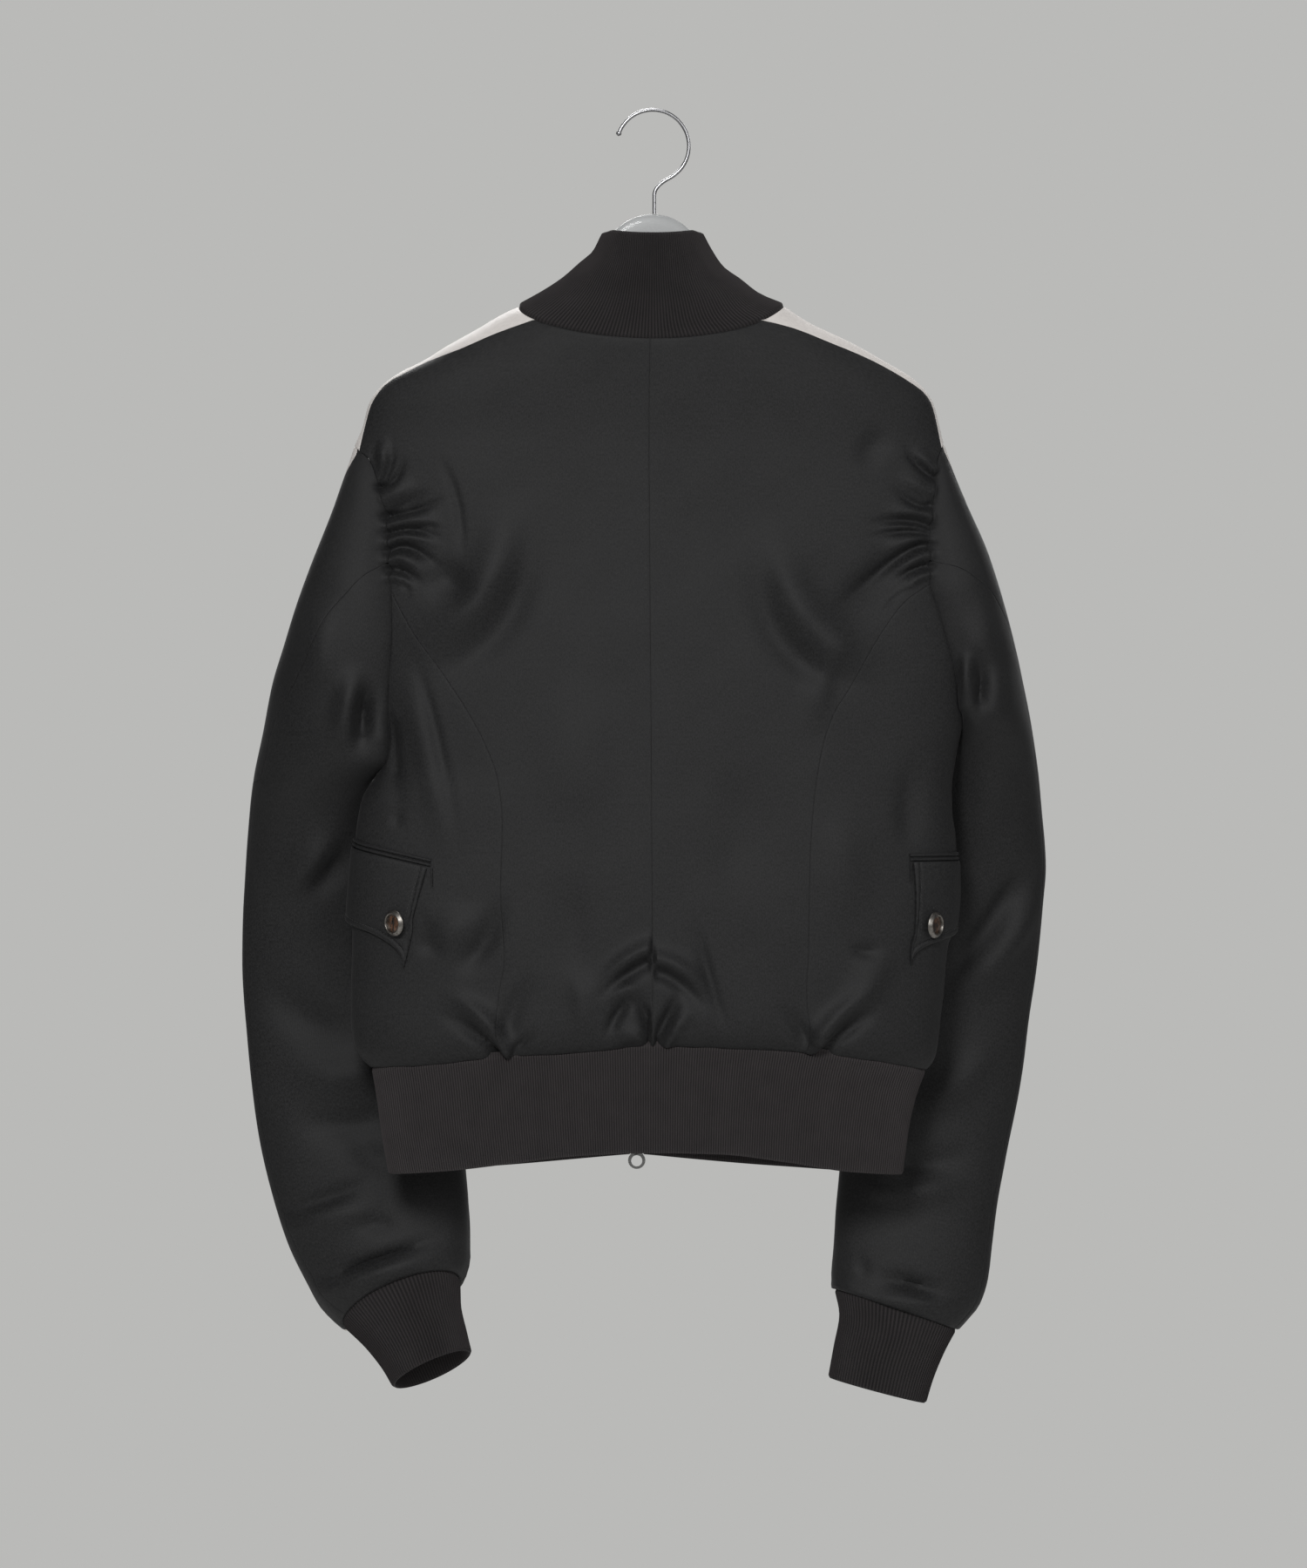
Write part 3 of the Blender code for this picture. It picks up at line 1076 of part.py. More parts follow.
# ---------------------------------------------------------------- zip
def zip_line():
    """The middle of the closing from the collar's edge to the hem's."""
    middle = 2.0
    collar = collar_base(np.full(ZIP_ROWS["collar"], middle),
                         np.linspace(1, 0, ZIP_ROWS["collar"]))
    body_down = np.linspace(float(neck_down(middle)), float(hem_down(middle)),
                            ZIP_ROWS["body"])[1:-1]
    body = body_base(np.full(len(body_down), middle), body_down)
    hem = hem_base(np.full(ZIP_ROWS["hem"], middle), np.linspace(0, 1, ZIP_ROWS["hem"]))
    return np.concatenate([collar, body, hem])


def add_zip(material, collection):
    line = zip_line()
    along = unit(np.gradient(line, axis=0))
    normal = unit(np.cross(along, np.array([1.0, 0.0, 0.0])))
    normal = normal * np.sign(normal[:, 1:2])
    across = np.array([ZIP_HALF_WIDTH - SEAM_GAP / 2, 0.0, 0.0])
    point = np.stack([line - across, line, line + across], axis=1)
    facing = np.repeat(normal[:, None], 3, axis=1)
    outer = point + facing * ZIP_LIFT
    mesh = wall_mesh("zip", outer, outer - facing * ZIP_THICKNESS)
    return add_object("zip", mesh, material, collection)


def front_at(down):
    """The closing's place at a level."""
    line = zip_line()
    return Vector([np.interp(down, -line[:, 2], line[:, axis]) for axis in (0, 1)] + [-down])


def joined(name, base, others, operation, collection, cutters):
    """The base with each other object joined on or cut away."""
    for count, other in enumerate(others):
        step = base.modifiers.new(f"{operation.lower()}_{count}", "BOOLEAN")
        step.operation = operation
        step.solver = "EXACT"
        step.object = other
        collection.objects.unlink(other)
        cutters.objects.link(other)
        other.hide_render = True
        other.display_type = "WIRE"
    base.name = name
    return base


def add_box(name, size, centre, collection):
    mesh = bpy.data.meshes.new(name)
    work = bmesh.new()
    bmesh.ops.create_cube(work, size=1.0)
    bmesh.ops.scale(work, vec=[length * MM for length in size], verts=work.verts)
    bmesh.ops.translate(work, vec=[place * MM for place in centre], verts=work.verts)
    work.to_mesh(mesh)
    work.free()
    piece = bpy.data.objects.new(name, mesh)
    collection.objects.link(piece)
    return piece


def add_cylinder(name, radius, length, axis, centre, sides, collection):
    mesh = bpy.data.meshes.new(name)
    work = bmesh.new()
    bmesh.ops.create_cone(work, cap_ends=True, segments=sides, radius1=radius * MM,
                          radius2=radius * MM, depth=length * MM)
    turn = Vector((0, 0, 1)).rotation_difference(Vector(axis)).to_matrix()
    bmesh.ops.rotate(work, matrix=turn, verts=work.verts)
    bmesh.ops.translate(work, vec=[place * MM for place in centre], verts=work.verts)
    work.to_mesh(mesh)
    work.free()
    piece = bpy.data.objects.new(name, mesh)
    collection.objects.link(piece)
    return piece


def slider_pin(down):
    """Where the pull tab's pin is: in front of the slider's face."""
    place = front_at(down)
    half = SLIDER["height"] / 2
    cloth = max(front_at(down + step).y for step in (-half, 0.0, half))
    face = cloth + ZIP_LIFT + SLIDER["cloth_gap"] + SLIDER["depth"]
    return Vector((place.x, face + SLIDER["ear_reach"] - SLIDER["pin_inset"], place.z))


def add_slider(name, down, material, collection, cutters):
    """A plain block on the teeth, with two ears and a pin for the pull tab."""
    pin = slider_pin(down)
    depth, reach = SLIDER["depth"], SLIDER["ear_reach"]
    block_y = pin.y - reach + SLIDER["pin_inset"] - depth / 2
    sink = SLIDER["ear_sink"]
    body = add_box(name, (SLIDER["width"], depth, SLIDER["height"]),
                   (pin.x, block_y, pin.z), collection)
    ears = []
    gap = PULL["eye_width"] / 2 + SLIDER["ear_clear"] + SLIDER["ear_width"] / 2
    for way in (-1, 1):
        ears.append(add_box(f"{name}_ear_{way + 1}",
                            (SLIDER["ear_width"], reach + 2 * sink, SLIDER["ear_height"]),
                            (pin.x + way * gap, block_y + depth / 2 + reach / 2 - sink, pin.z),
                            collection))
    rod = add_cylinder(name + "_pin", SLIDER["pin_radius"], 2 * gap, (1, 0, 0), pin,
                       SLIDER["pin_sides"], collection)
    piece = joined(name, body, ears + [rod], "UNION", collection, cutters)
    piece.data.materials.append(material)
    return piece


def add_pull(name, down, material, collection, cutters):
    """A flat ring on a neck, with an eye round the slider's pin; its origin is the pin."""
    pin = slider_pin(down)
    thick, extra = PULL["thickness"], PULL["cut_extra"]
    eye = add_cylinder(name, PULL["eye_radius"], PULL["eye_width"], (1, 0, 0), (0, 0, 0),
                       PULL["eye_sides"], collection)
    ring_z = -PULL["ring_down"]
    ring = add_cylinder(name + "_ring", PULL["ring_radius"], thick, (0, 1, 0),
                        (0, 0, ring_z), PULL["ring_sides"], collection)
    neck_top = -PULL["eye_hole"] - PULL["neck_clear"]
    neck_low = ring_z + PULL["ring_radius"] - PULL["neck_sink"]
    neck = add_box(name + "_neck",
                   (PULL["neck_width"], thick - PULL["neck_thin"], neck_top - neck_low),
                   (0, 0, (neck_top + neck_low) / 2), collection)
    bore = add_cylinder(name + "_bore", PULL["eye_hole"], PULL["eye_width"] + extra, (1, 0, 0),
                        (0, 0, 0), PULL["bore_sides"], collection)
    hole = add_cylinder(name + "_hole", PULL["ring_hole"], thick + extra, (0, 1, 0),
                        (0, 0, ring_z - PULL["hole_rise"]), PULL["hole_sides"], collection)
    piece = joined(name, eye, [ring, neck], "UNION", collection, cutters)
    joined(name, piece, [bore, hole], "DIFFERENCE", collection, cutters)
    for other in (ring, neck, bore, hole):
        other.location = pin * MM
    piece.location = pin * MM
    piece.data.materials.append(material)
    return piece


# ---------------------------------------------------------------- hanger
def shoulder_ridge(side, at_side):
    """How far down the shoulder's ridge is at a distance from the middle."""
    ridge = stripe_net(side)[:, STRIPE_COLUMNS // 2]
    point = body_base(ridge[:, 0], ridge[:, 1])
    return np.interp(at_side, np.abs(point[:, 0]), -point[:, 2])


def hanger_top(side, at_side):
    dome = HANGER["dome_down"] + HANGER["dome_radius"] - np.sqrt(
        np.maximum(HANGER["dome_radius"] ** 2 - at_side ** 2, 0))
    collar = read(HANGER_TOP, "down", at_side)
    slope = np.gradient(shoulder_ridge(side, at_side + np.array([-0.5, 0.5])))[0]
    under = (WALL + HANGER["clear"]) * math.hypot(1, slope)
    shoulder = shoulder_ridge(side, at_side) + under
    if at_side < HANGER_TOP["side"][0]:
        return dome
    return collar if at_side < HANGER_TOP["side"][-1] else shoulder


def add_hanger(material, collection):
    """A moulded hanger: rounded sections from one end of the shoulders to the other."""
    steps = list(HANGER_STATIONS)
    for side in (-1, 1):
        ridge = stripe_net(side)[1:, STRIPE_COLUMNS // 2]
        steps += np.abs(body_base(ridge[:, 0], ridge[:, 1])[:, 0]).tolist()
    steps = sorted(steps)
    half = HANGER["half_thickness"]
    sections = []
    for side in (-1, 1):
        last = HANGER_END[side] - HANGER["end_clear"]
        stations = [s for s in steps if s < last] + [HANGER_END[side]]
        for at_side in (stations[::-1] if side < 0 else stations[1:]):
            top = float(hanger_top(side, at_side))
            low = float(read(HANGER_BOTTOM, "down", at_side))
            width, corner = half, HANGER["corner"]
            if at_side == HANGER_END[side]:
                width = half * HANGER["end_width"]
                top, low = top + HANGER["end_top"], low - HANGER["end_low"]
            ring = [(-width + corner, top), (width - corner, top), (width, top + corner),
                    (width, low - corner), (width - corner, low), (-width + corner, low),
                    (-width, low - corner), (-width, top + corner)]
            sections.append([(side * at_side, y, -down) for y, down in ring])
    rings = np.array(sections)
    count = rings.shape[1]
    index = np.arange(rings.shape[0] * count).reshape(rings.shape[0], count)
    index = np.concatenate([index, index[:, :1]], axis=1)
    quads = np.stack([index[:-1, :-1], index[:-1, 1:], index[1:, 1:], index[1:, :-1]], -1)
    faces = quads.reshape(-1, 4).tolist() + [index[0, :-1].tolist(), index[-1, :-1].tolist()]
    mesh = bpy.data.meshes.new("hanger_body")
    mesh.from_pydata((rings.reshape(-1, 3) * MM).tolist(), [], faces)
    work = bmesh.new()
    work.from_mesh(mesh)
    bmesh.ops.recalc_face_normals(work, faces=work.faces)
    work.to_mesh(mesh)
    work.free()
    return add_object("hanger_body", mesh, material, collection)


def add_hook(material, collection):
    """Wire: a ball end, three quarters of a turn, and a stem down to the hanger's dome."""
    radius, centre = HOOK["radius"], HOOK["centre_down"]
    angles = np.radians(np.linspace(HOOK["tip_angle"], HOOK["turn_angle"],
                                    HOOK["arc_points"]))
    route = [(radius * math.cos(a), radius * math.sin(a) - centre) for a in angles]
    stem_end = -HANGER["dome_down"] + SEAM_GAP
    turn_x, turn_z = route[-1]
    for t in HOOK["bend_parts"]:
        route.append((mix(turn_x, HOOK["stem_side"], math.sin(t * HALF_TURN / 2)),
                      turn_z - HOOK["bend_drop"] * t ** HOOK["bend_power"]))
    route.append((HOOK["stem_side"], route[-1][1] - HOOK["stem_top"]))
    route.append((HOOK["stem_side"], stem_end))
    curve = bpy.data.curves.new("hanger_hook", "CURVE")
    curve.dimensions = "3D"
    curve.bevel_depth = HOOK["wire"] * MM
    curve.bevel_resolution = 2
    curve.use_fill_caps = True
    line = curve.splines.new("POLY")
    line.points.add(len(route) - 1)
    for number, (x, z) in enumerate(route):
        line.points[number].co = (x * MM, 0.0, z * MM, 1.0)
        line.points[number].radius = 1.0
    for number, swell in enumerate(HOOK["ball"]):
        line.points[number].radius = swell
    piece = bpy.data.objects.new("hanger_hook", curve)
    piece.data.materials.append(material)
    collection.objects.link(piece)
    return piece


# ---------------------------------------------------------------- materials and the whole
def add_material(name, colour, roughness, metallic=0.0, alpha=1.0):
    material = bpy.data.materials.new(name)
    material.use_nodes = True
    shader = material.node_tree.nodes["Principled BSDF"]
    shader.inputs["Base Color"].default_value = (*colour, 1.0)
    shader.inputs["Roughness"].default_value = roughness
    shader.inputs["Metallic"].default_value = metallic
    shader.inputs["Alpha"].default_value = alpha
    material.diffuse_color = (*colour, 1.0)
    return material


def clear_scene():
    for piece in list(bpy.data.objects):
        bpy.data.objects.remove(piece, do_unlink=True)


def add_collection(name):
    collection = bpy.data.collections.new(name)
    bpy.context.scene.collection.children.link(collection)
    return collection


def main():
    clear_scene()
    jacket = add_collection(OBJECT_NAME)
    cutters = add_collection("cutters")
    cloth = add_material("black_jersey", (0.022, 0.022, 0.023), 0.55)
    white = add_material("white_jersey", (0.76, 0.72, 0.68), 0.6)
    rib = add_material("charcoal_rib", (0.026, 0.023, 0.024), 0.8)
    tape = add_material("zip_tape", (0.015, 0.015, 0.015), 0.7)
    nickel = add_material("nickel", (0.75, 0.75, 0.74), 0.25, 1.0)
    silver = add_material("aged_silver", (0.42, 0.40, 0.38), 0.4, 1.0)
    plastic = add_material("hanger_plastic", (0.68, 0.69, 0.69), 0.35, alpha=0.8)
    chrome = add_material("dark_chrome", (0.35, 0.35, 0.37), 0.15, 1.0)

    for side, word in ((-1, "left"), (1, "right")):
        add_back(side, "back_" + word, cloth, jacket)
        add_side(side, "side_" + word, cloth, jacket)
        add_front(side, "front_" + word, cloth, jacket)
        add_shoulder_stripe(side, "shoulder_stripe_" + word, white, jacket)
        add_sleeve(side, word, cloth, white, jacket)
        add_cuff(side, "cuff_" + word, rib, jacket)
        add_flap(side, "pocket_flap_" + word, cloth, jacket)
        add_welt(side, "pocket_welt_" + word, cloth, jacket)
        add_button(side, "button_" + word, silver, jacket)
    add_collar(rib, jacket)
    add_hem(rib, jacket)
    add_zip(tape, jacket)
    for word, down in (("upper", UPPER_SLIDER_DOWN), ("lower", LOWER_SLIDER_DOWN)):
        add_slider("slider_" + word, down, nickel, jacket, cutters)
        add_pull("pull_" + word, down, nickel, jacket, cutters)
    add_hanger(plastic, jacket)
    add_hook(chrome, jacket)


main()
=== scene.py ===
import math

import bmesh
import bpy
import numpy as np
from mathutils import Matrix, Vector


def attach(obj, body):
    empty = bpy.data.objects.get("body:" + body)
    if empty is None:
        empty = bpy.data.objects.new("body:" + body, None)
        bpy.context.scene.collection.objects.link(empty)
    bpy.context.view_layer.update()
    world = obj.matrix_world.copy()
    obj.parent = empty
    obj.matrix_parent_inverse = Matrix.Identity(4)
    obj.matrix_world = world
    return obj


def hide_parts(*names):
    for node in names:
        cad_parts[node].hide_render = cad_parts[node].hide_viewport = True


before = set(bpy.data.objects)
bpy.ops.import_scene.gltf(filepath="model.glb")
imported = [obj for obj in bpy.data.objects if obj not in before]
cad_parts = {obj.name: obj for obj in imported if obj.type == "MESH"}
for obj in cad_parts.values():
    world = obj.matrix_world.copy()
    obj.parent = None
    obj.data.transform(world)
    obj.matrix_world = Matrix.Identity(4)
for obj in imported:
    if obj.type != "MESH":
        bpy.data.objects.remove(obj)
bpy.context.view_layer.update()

# Tables are in millimetres: "down" is below the hook's seat, "side" is from the centre line.
# Girth is 0 at the centre back, 1 at the side and 2 at the centre front, negative on the left.

mm = 0.001
halfTurn = math.pi
fullTurn = 2 * halfTurn
sides = {-1: "left", 1: "right"}

# view, floor and light
view = {"distance": 9.0, "across": 0.0006, "level": -0.5016, "frameHeight": 1.17, "sensor": 36.0}
studio = {"backdrop": (0.491, 0.491, 0.480), "floorLevel": -1.25, "floorHalf": 1.5,
          "floorColour": (0.62, 0.62, 0.61), "floorLight": (0.68, 0.68, 0.67), "ambient": 0.15,
          "aim": (0.0, 0.0, -0.5)}
lamps = [  # name, place, size in metres, watts
    ("key", (-0.7, -3.3, 1.0), 1.0, 68.0), ("fill", (1.8, -3.3, 0.6), 1.8, 30.0),
    ("top", (0.1, 0.2, 2.6), 1.2, 24.0), ("front", (-0.8, 3.2, 1.9), 1.6, 90.0),
    ("frontFill", (1.8, 3.2, 0.9), 2.2, 30.0)]


def makeCamera():
    # straight at the back, with the height of the frame given at the jacket
    lens = view["sensor"] * view["distance"] / view["frameHeight"]
    data = bpy.data.cameras.new("camera")
    data.sensor_width = view["sensor"]
    data.lens = lens
    data.clip_end = 100.0
    camera = bpy.data.objects.new("camera", data)
    camera.location = (view["across"], -view["distance"], view["level"])
    camera.rotation_euler = (halfTurn / 2, 0.0, 0.0)
    bpy.context.collection.objects.link(camera)
    bpy.context.scene.camera = camera


def makeLamps():
    # round soft lamps, all turned towards the middle of the jacket
    aim = Vector(studio["aim"])
    for name, place, size, watts in lamps:
        data = bpy.data.lights.new(name, "AREA")
        data.shape = "DISK"
        data.size = size
        data.energy = watts
        lamp = bpy.data.objects.new(name, data)
        lamp.location = place
        lamp.rotation_euler = (aim - Vector(place)).to_track_quat("-Z", "Y").to_euler()
        lamp.visible_camera = False
        bpy.context.collection.objects.link(lamp)


# shader maths
class Wire:
    # a socket in a node tree: + - and * add Math nodes, add() makes any other node

    def __init__(self, tree, socket=None):
        self.tree = tree
        self.socket = socket

    def add(self, kind, settings=None, sockets=None, out=0):
        made = self.tree.nodes.new("ShaderNode" + kind)
        for name, value in (settings or {}).items():
            setattr(made, name, value)
        for name, value in (sockets or {}).items():
            if isinstance(value, Wire):
                self.tree.links.new(value.socket, made.inputs[name])
            else:
                made.inputs[name].default_value = value
        return Wire(self.tree, made.outputs[out])

    def math(self, operation, first, second):
        return self.add("Math", {"operation": operation}, {0: first, 1: second})

    def __add__(self, other):
        return self.math("ADD", self, other)

    def __mul__(self, other):
        return self.math("MULTIPLY", self, other)

    def __sub__(self, other):
        return self.math("SUBTRACT", self, other)

    def __rsub__(self, other):
        return self.math("SUBTRACT", other, self)

    __radd__ = __add__
    __rmul__ = __mul__

    def wave(self):
        return self.math("SINE", self, 0.0)

    def axis(self, number):
        return self.add("SeparateXYZ", None, {0: self}, number)

    def colour(self, low, high):  # from one colour to another as the value goes 0 to 1
        return self.add("Mix", {"data_type": "RGBA"}, {0: self, 6: (*low, 1), 7: (*high, 1)}, 2)

    def noise(self, place, scale, detail=2.0):
        return self.add("TexNoise", None, {"Vector": place, "Scale": scale, "Detail": detail})

    def stretched(self, place, scale):
        return self.add("Mapping", None, {"Vector": place, "Scale": scale})

    def onCloth(self):  # the piece's UV map
        return self.add("TexCoord", out=2)

    def onPiece(self):  # Object coordinates
        return self.add("TexCoord", out=3)


def newMaterial(name, constants):
    # the constants go on the shader's own sockets, and feed() links what changes over the piece
    material = bpy.data.materials.new(name)
    material.use_nodes = True
    shader = material.node_tree.nodes["Principled BSDF"]
    for key, value in constants.items():
        shader.inputs[key].default_value = value
    start = Wire(material.node_tree)

    def feed(key, wire):
        material.node_tree.links.new(wire.socket, shader.inputs[key])

    return material, start, feed


def bumped(start, height, strength, distance):
    # a height made into a normal
    return start.add("Bump", None, {"Height": height, "Strength": strength,
                                    "Distance": distance})


# cloth finishes; the UV map of a cloth piece is in metres of cloth
jersey = {"wale": 0.9, "course": 0.7, "bump": 0.00010}  # millimetres, and metres for the bump
ribKnit = {"stitch": 1.3, "ridge": 2.0, "bump": 0.00012}
perMillimetre = 1000 * fullTurn
scales = {  # noise to a metre, and the tape's threads and the ribs' slant as angles to a metre
    "grain": 900.0, "mottle": 260.0, "patch": 22.0, "fuzz": 1500.0, "ribPatch": 60.0,
    "slant": 900.0, "twist": 2600.0, "warp": 7000.0, "weft": 5200.0, "film": 420.0,
    "scratch": 900.0, "streak": 210.0, "fleck": 700.0, "cloud": 38.0, "mould": 1500.0,
    "floor": 3.0}


def jerseyMaterial(name, dark, light, sheen):
    # wales and courses as sine bands, broken up by a fine grain and a wider mottle
    material, start, feed = newMaterial(name, {
        "Sheen Weight": sheen, "Sheen Roughness": 0.42, "Specular IOR Level": 0.28})
    place = start.onCloth()
    across = place.axis(0)
    along = place.axis(1)
    wales = (across * (perMillimetre / jersey["wale"])).wave()
    courses = (along * (perMillimetre / jersey["course"]) + wales * 0.8).wave()
    grain = start.noise(start.stretched(place, (1.0, 0.62, 1.0)), scales["grain"])
    mottle = start.noise(place, scales["mottle"], 3.0)
    patch = start.noise(place, scales["patch"])
    shade = grain * 1.8 + mottle * 0.6 + patch * 0.3 - 0.85
    feed("Base Color", shade.colour(dark, light))
    feed("Roughness", 0.54 + grain * 0.12 + mottle * 0.06)
    height = wales * 0.30 + courses * 0.22 + grain * 0.9
    feed("Normal", bumped(start, height, 0.55, jersey["bump"]))
    return material


def ribMaterial(name, dark, light):
    # rows of stitches along each ridge, with loose fibres
    material, start, feed = newMaterial(name, {
        "Sheen Weight": 0.04, "Sheen Roughness": 0.6, "Specular IOR Level": 0.22})
    place = start.onCloth()
    along = place.axis(1)
    across = place.axis(0)
    fuzz = start.noise(place, scales["fuzz"])
    patch = start.noise(place, scales["ribPatch"], 3.0)
    stitches = (along * (perMillimetre / ribKnit["stitch"]) + across * scales["slant"]).wave()
    ridge = (across * (perMillimetre / ribKnit["ridge"]) - halfTurn / 2).wave()
    feed("Base Color", (fuzz * 0.7 + patch * 0.4 + ridge * 0.35 - 0.1).colour(dark, light))
    feed("Roughness", 0.74 + fuzz * 0.16)
    feed("Normal", bumped(start, stitches * 0.35 + fuzz, 0.5, ribKnit["bump"]))
    return material


def threadMaterial(name, dark, light):
    # a fine twist in the colour and the gloss
    material, start, feed = newMaterial(name, {"Sheen Weight": 0.2, "Specular IOR Level": 0.3})
    place = start.onPiece()
    twist = start.noise(place, scales["twist"], 1.0)
    feed("Base Color", twist.colour(dark, light))
    feed("Roughness", 0.5 + twist * 0.25)
    return material


def tapeMaterial(name):
    # a woven tape: two crossing sets of fine ribs
    material, start, feed = newMaterial(name, {"Specular IOR Level": 0.3, "Roughness": 0.7})
    place = start.onCloth()
    across = place.axis(0)
    along = place.axis(1)
    warp, weft = across * scales["warp"], along * scales["weft"]
    weave = (warp + weft).wave() * (warp - weft).wave()
    feed("Base Color", (weave * 0.5 + 0.5).colour((0.008, 0.008, 0.009), (0.024, 0.023, 0.024)))
    feed("Normal", bumped(start, weave, 0.5, 0.0001))
    return material


def metalMaterial(name, dark, light, rough, wear, brushed=0.12):
    # brushed and handled metal: fine scratches in the gloss, a duller film in patches
    material, start, feed = newMaterial(name, {"Metallic": 1.0})
    place = start.onPiece()
    film = start.noise(place, scales["film"], 4.0)
    scratch = start.noise(start.stretched(place, (1.0, 1.0, 14.0)), scales["scratch"])
    feed("Base Color", (film * wear + scratch * 0.25).colour(light, dark))
    feed("Roughness", rough + film * 0.12 + scratch * 0.08)
    feed("Normal", bumped(start, scratch, brushed, 0.0001))
    return material


def hornMaterial(name):
    # dark horn with paler streaks along one way
    material, start, feed = newMaterial(name, {"Coat Weight": 0.35, "Coat Roughness": 0.12})
    place = start.onPiece()
    streak = start.noise(start.stretched(place, (3.0, 1.0, 0.7)), scales["streak"], 4.0)
    fleck = start.noise(place, scales["fleck"])
    feed("Base Color", (streak * 2.8 + fleck * 0.6 - 1.3).colour((0.006, 0.004, 0.003),
                                                                 (0.17, 0.080, 0.042)))
    feed("Roughness", 0.22 + fleck * 0.16)
    return material


def plasticMaterial(name):
    # milky moulded plastic with a fine moulded grain and faint handling marks
    material, start, feed = newMaterial(name, {
        "Transmission Weight": 0.22, "IOR": 1.46, "Coat Weight": 0.15})
    place = start.onPiece()
    cloud = start.noise(place, scales["cloud"], 3.0)
    grain = start.noise(place, scales["mould"], 1.0)
    feed("Base Color", cloud.colour((0.45, 0.46, 0.46), (0.57, 0.58, 0.58)))
    feed("Roughness", 0.30 + cloud * 0.14 + grain * 0.06)
    feed("Normal", bumped(start, grain, 0.12, 0.0001))
    return material


def floorMaterial(name):
    # a plain floor with the faintest cloud in it
    material, start, feed = newMaterial(name, {"Roughness": 0.85})
    place = start.onPiece()
    cloud = start.noise(place, scales["floor"])
    feed("Base Color", cloud.colour(studio["floorColour"], studio["floorLight"]))
    return material


finish = {
    "jersey": jerseyMaterial("black_jersey_look", (0.0045, 0.0045, 0.0048),
                             (0.0215, 0.0215, 0.0220), 0.03),
    "white": jerseyMaterial("white_jersey_look", (0.60, 0.565, 0.540), (0.72, 0.685, 0.655), 0.03),
    "rib": ribMaterial("charcoal_rib_look", (0.0145, 0.0129, 0.0133), (0.0480, 0.0421, 0.0431)),
    # the same charcoal rib made darker for the collar and cuffs: painted shade, for the less light
    # they catch than the hem
    "ribPaintedShade": ribMaterial("charcoal_rib_painted_shade_look", (0.0076, 0.0067, 0.0070),
                           (0.0310, 0.0270, 0.0277)),
    "thread": threadMaterial("black_thread_look", (0.012, 0.012, 0.012), (0.04, 0.04, 0.04)),
    "tape": tapeMaterial("zip_tape_look"),
    "nickel": metalMaterial("nickel_look", (0.42, 0.42, 0.41), (0.78, 0.78, 0.76), 0.16, 0.5),
    "silver": metalMaterial("aged_silver_look", (0.06, 0.052, 0.045), (0.46, 0.44, 0.41), 0.28,
                            1.0),
    "chrome": metalMaterial("dark_chrome_look", (0.26, 0.26, 0.27), (0.46, 0.46, 0.47), 0.20,
                            0.4, 0.0),
    "horn": hornMaterial("horn_look"),
    "plastic": plasticMaterial("hanger_plastic_look"),
}


def makeStudio():
    # the camera sees a plain backdrop, while a fainter even light comes from all round
    world = bpy.data.worlds.new("studio")
    bpy.context.scene.world = world
    world.use_nodes = True
    nodes, links = world.node_tree.nodes, world.node_tree.links
    shown = nodes["Background"]
    shown.inputs["Color"].default_value = (*studio["backdrop"], 1.0)
    lit = nodes.new("ShaderNodeBackground")
    lit.inputs["Color"].default_value = (1.0, 1.0, 1.0, 1.0)
    lit.inputs["Strength"].default_value = studio["ambient"]
    path = nodes.new("ShaderNodeLightPath")
    either = nodes.new("ShaderNodeMixShader")
    links.new(path.outputs["Is Camera Ray"], either.inputs[0])
    links.new(lit.outputs[0], either.inputs[1])
    links.new(shown.outputs[0], either.inputs[2])
    links.new(either.outputs[0], nodes["World Output"].inputs["Surface"])
    bpy.context.scene.view_settings.view_transform = "Standard"
    half, level = studio["floorHalf"], studio["floorLevel"]
    mesh = bpy.data.meshes.new("floor")
    mesh.from_pydata([(-half, -half, level), (half, -half, level), (half, half, level),
                      (-half, half, level)], [], [(0, 1, 2, 3)])
    mesh.materials.append(floorMaterial("floor_look"))
    floor = bpy.data.objects.new("floor", mesh)
    bpy.context.collection.objects.link(floor)


makeCamera()
makeLamps()
makeStudio()
print("view, light and materials are ready")


# numbers and curves
def table(names, rows):
    # columns by name; the first one is what the others are read against
    return dict(zip(names.split(), np.array(rows, float).T))


def smooth(along, values, at):
    # a cubic through the table's points whose slopes never make it overshoot
    step = np.diff(along)
    slope = np.diff(values) / step
    tangent = np.zeros(len(along))
    tangent[0], tangent[-1] = slope[0], slope[-1]
    before, after = slope[:-1], slope[1:]
    sameWay = before * after > 0
    weightA, weightB = 2 * step[1:] + step[:-1], step[1:] + 2 * step[:-1]
    mean = (weightA + weightB) / (weightA / np.where(sameWay, before, 1.0)
                                  + weightB / np.where(sameWay, after, 1.0))
    tangent[1:-1] = np.where(sameWay, mean, 0.0)
    at = np.clip(np.asarray(at, float), along[0], along[-1])
    row = np.clip(np.searchsorted(along, at) - 1, 0, len(step) - 1)
    t = (at - along[row]) / step[row]
    return (values[row] * (1 + 2 * t) * (1 - t) ** 2 + values[row + 1] * t * t * (3 - 2 * t)
            + tangent[row] * step[row] * t * (1 - t) ** 2
            - tangent[row + 1] * step[row] * t * t * (1 - t))


def read(rows, name, at):
    # a table's column, smoothly between its rows
    return smooth(rows[next(iter(rows))], rows[name], at)


def ease(t):
    # from 0 to 1 with an even start and end: three t squared less two t cubed
    t = np.clip(t, 0.0, 1.0)
    return t * t * (3 - 2 * t)


def unit(vectors):
    # vectors of length one
    return vectors / np.maximum(np.linalg.norm(vectors, axis=-1, keepdims=True), 1e-9)


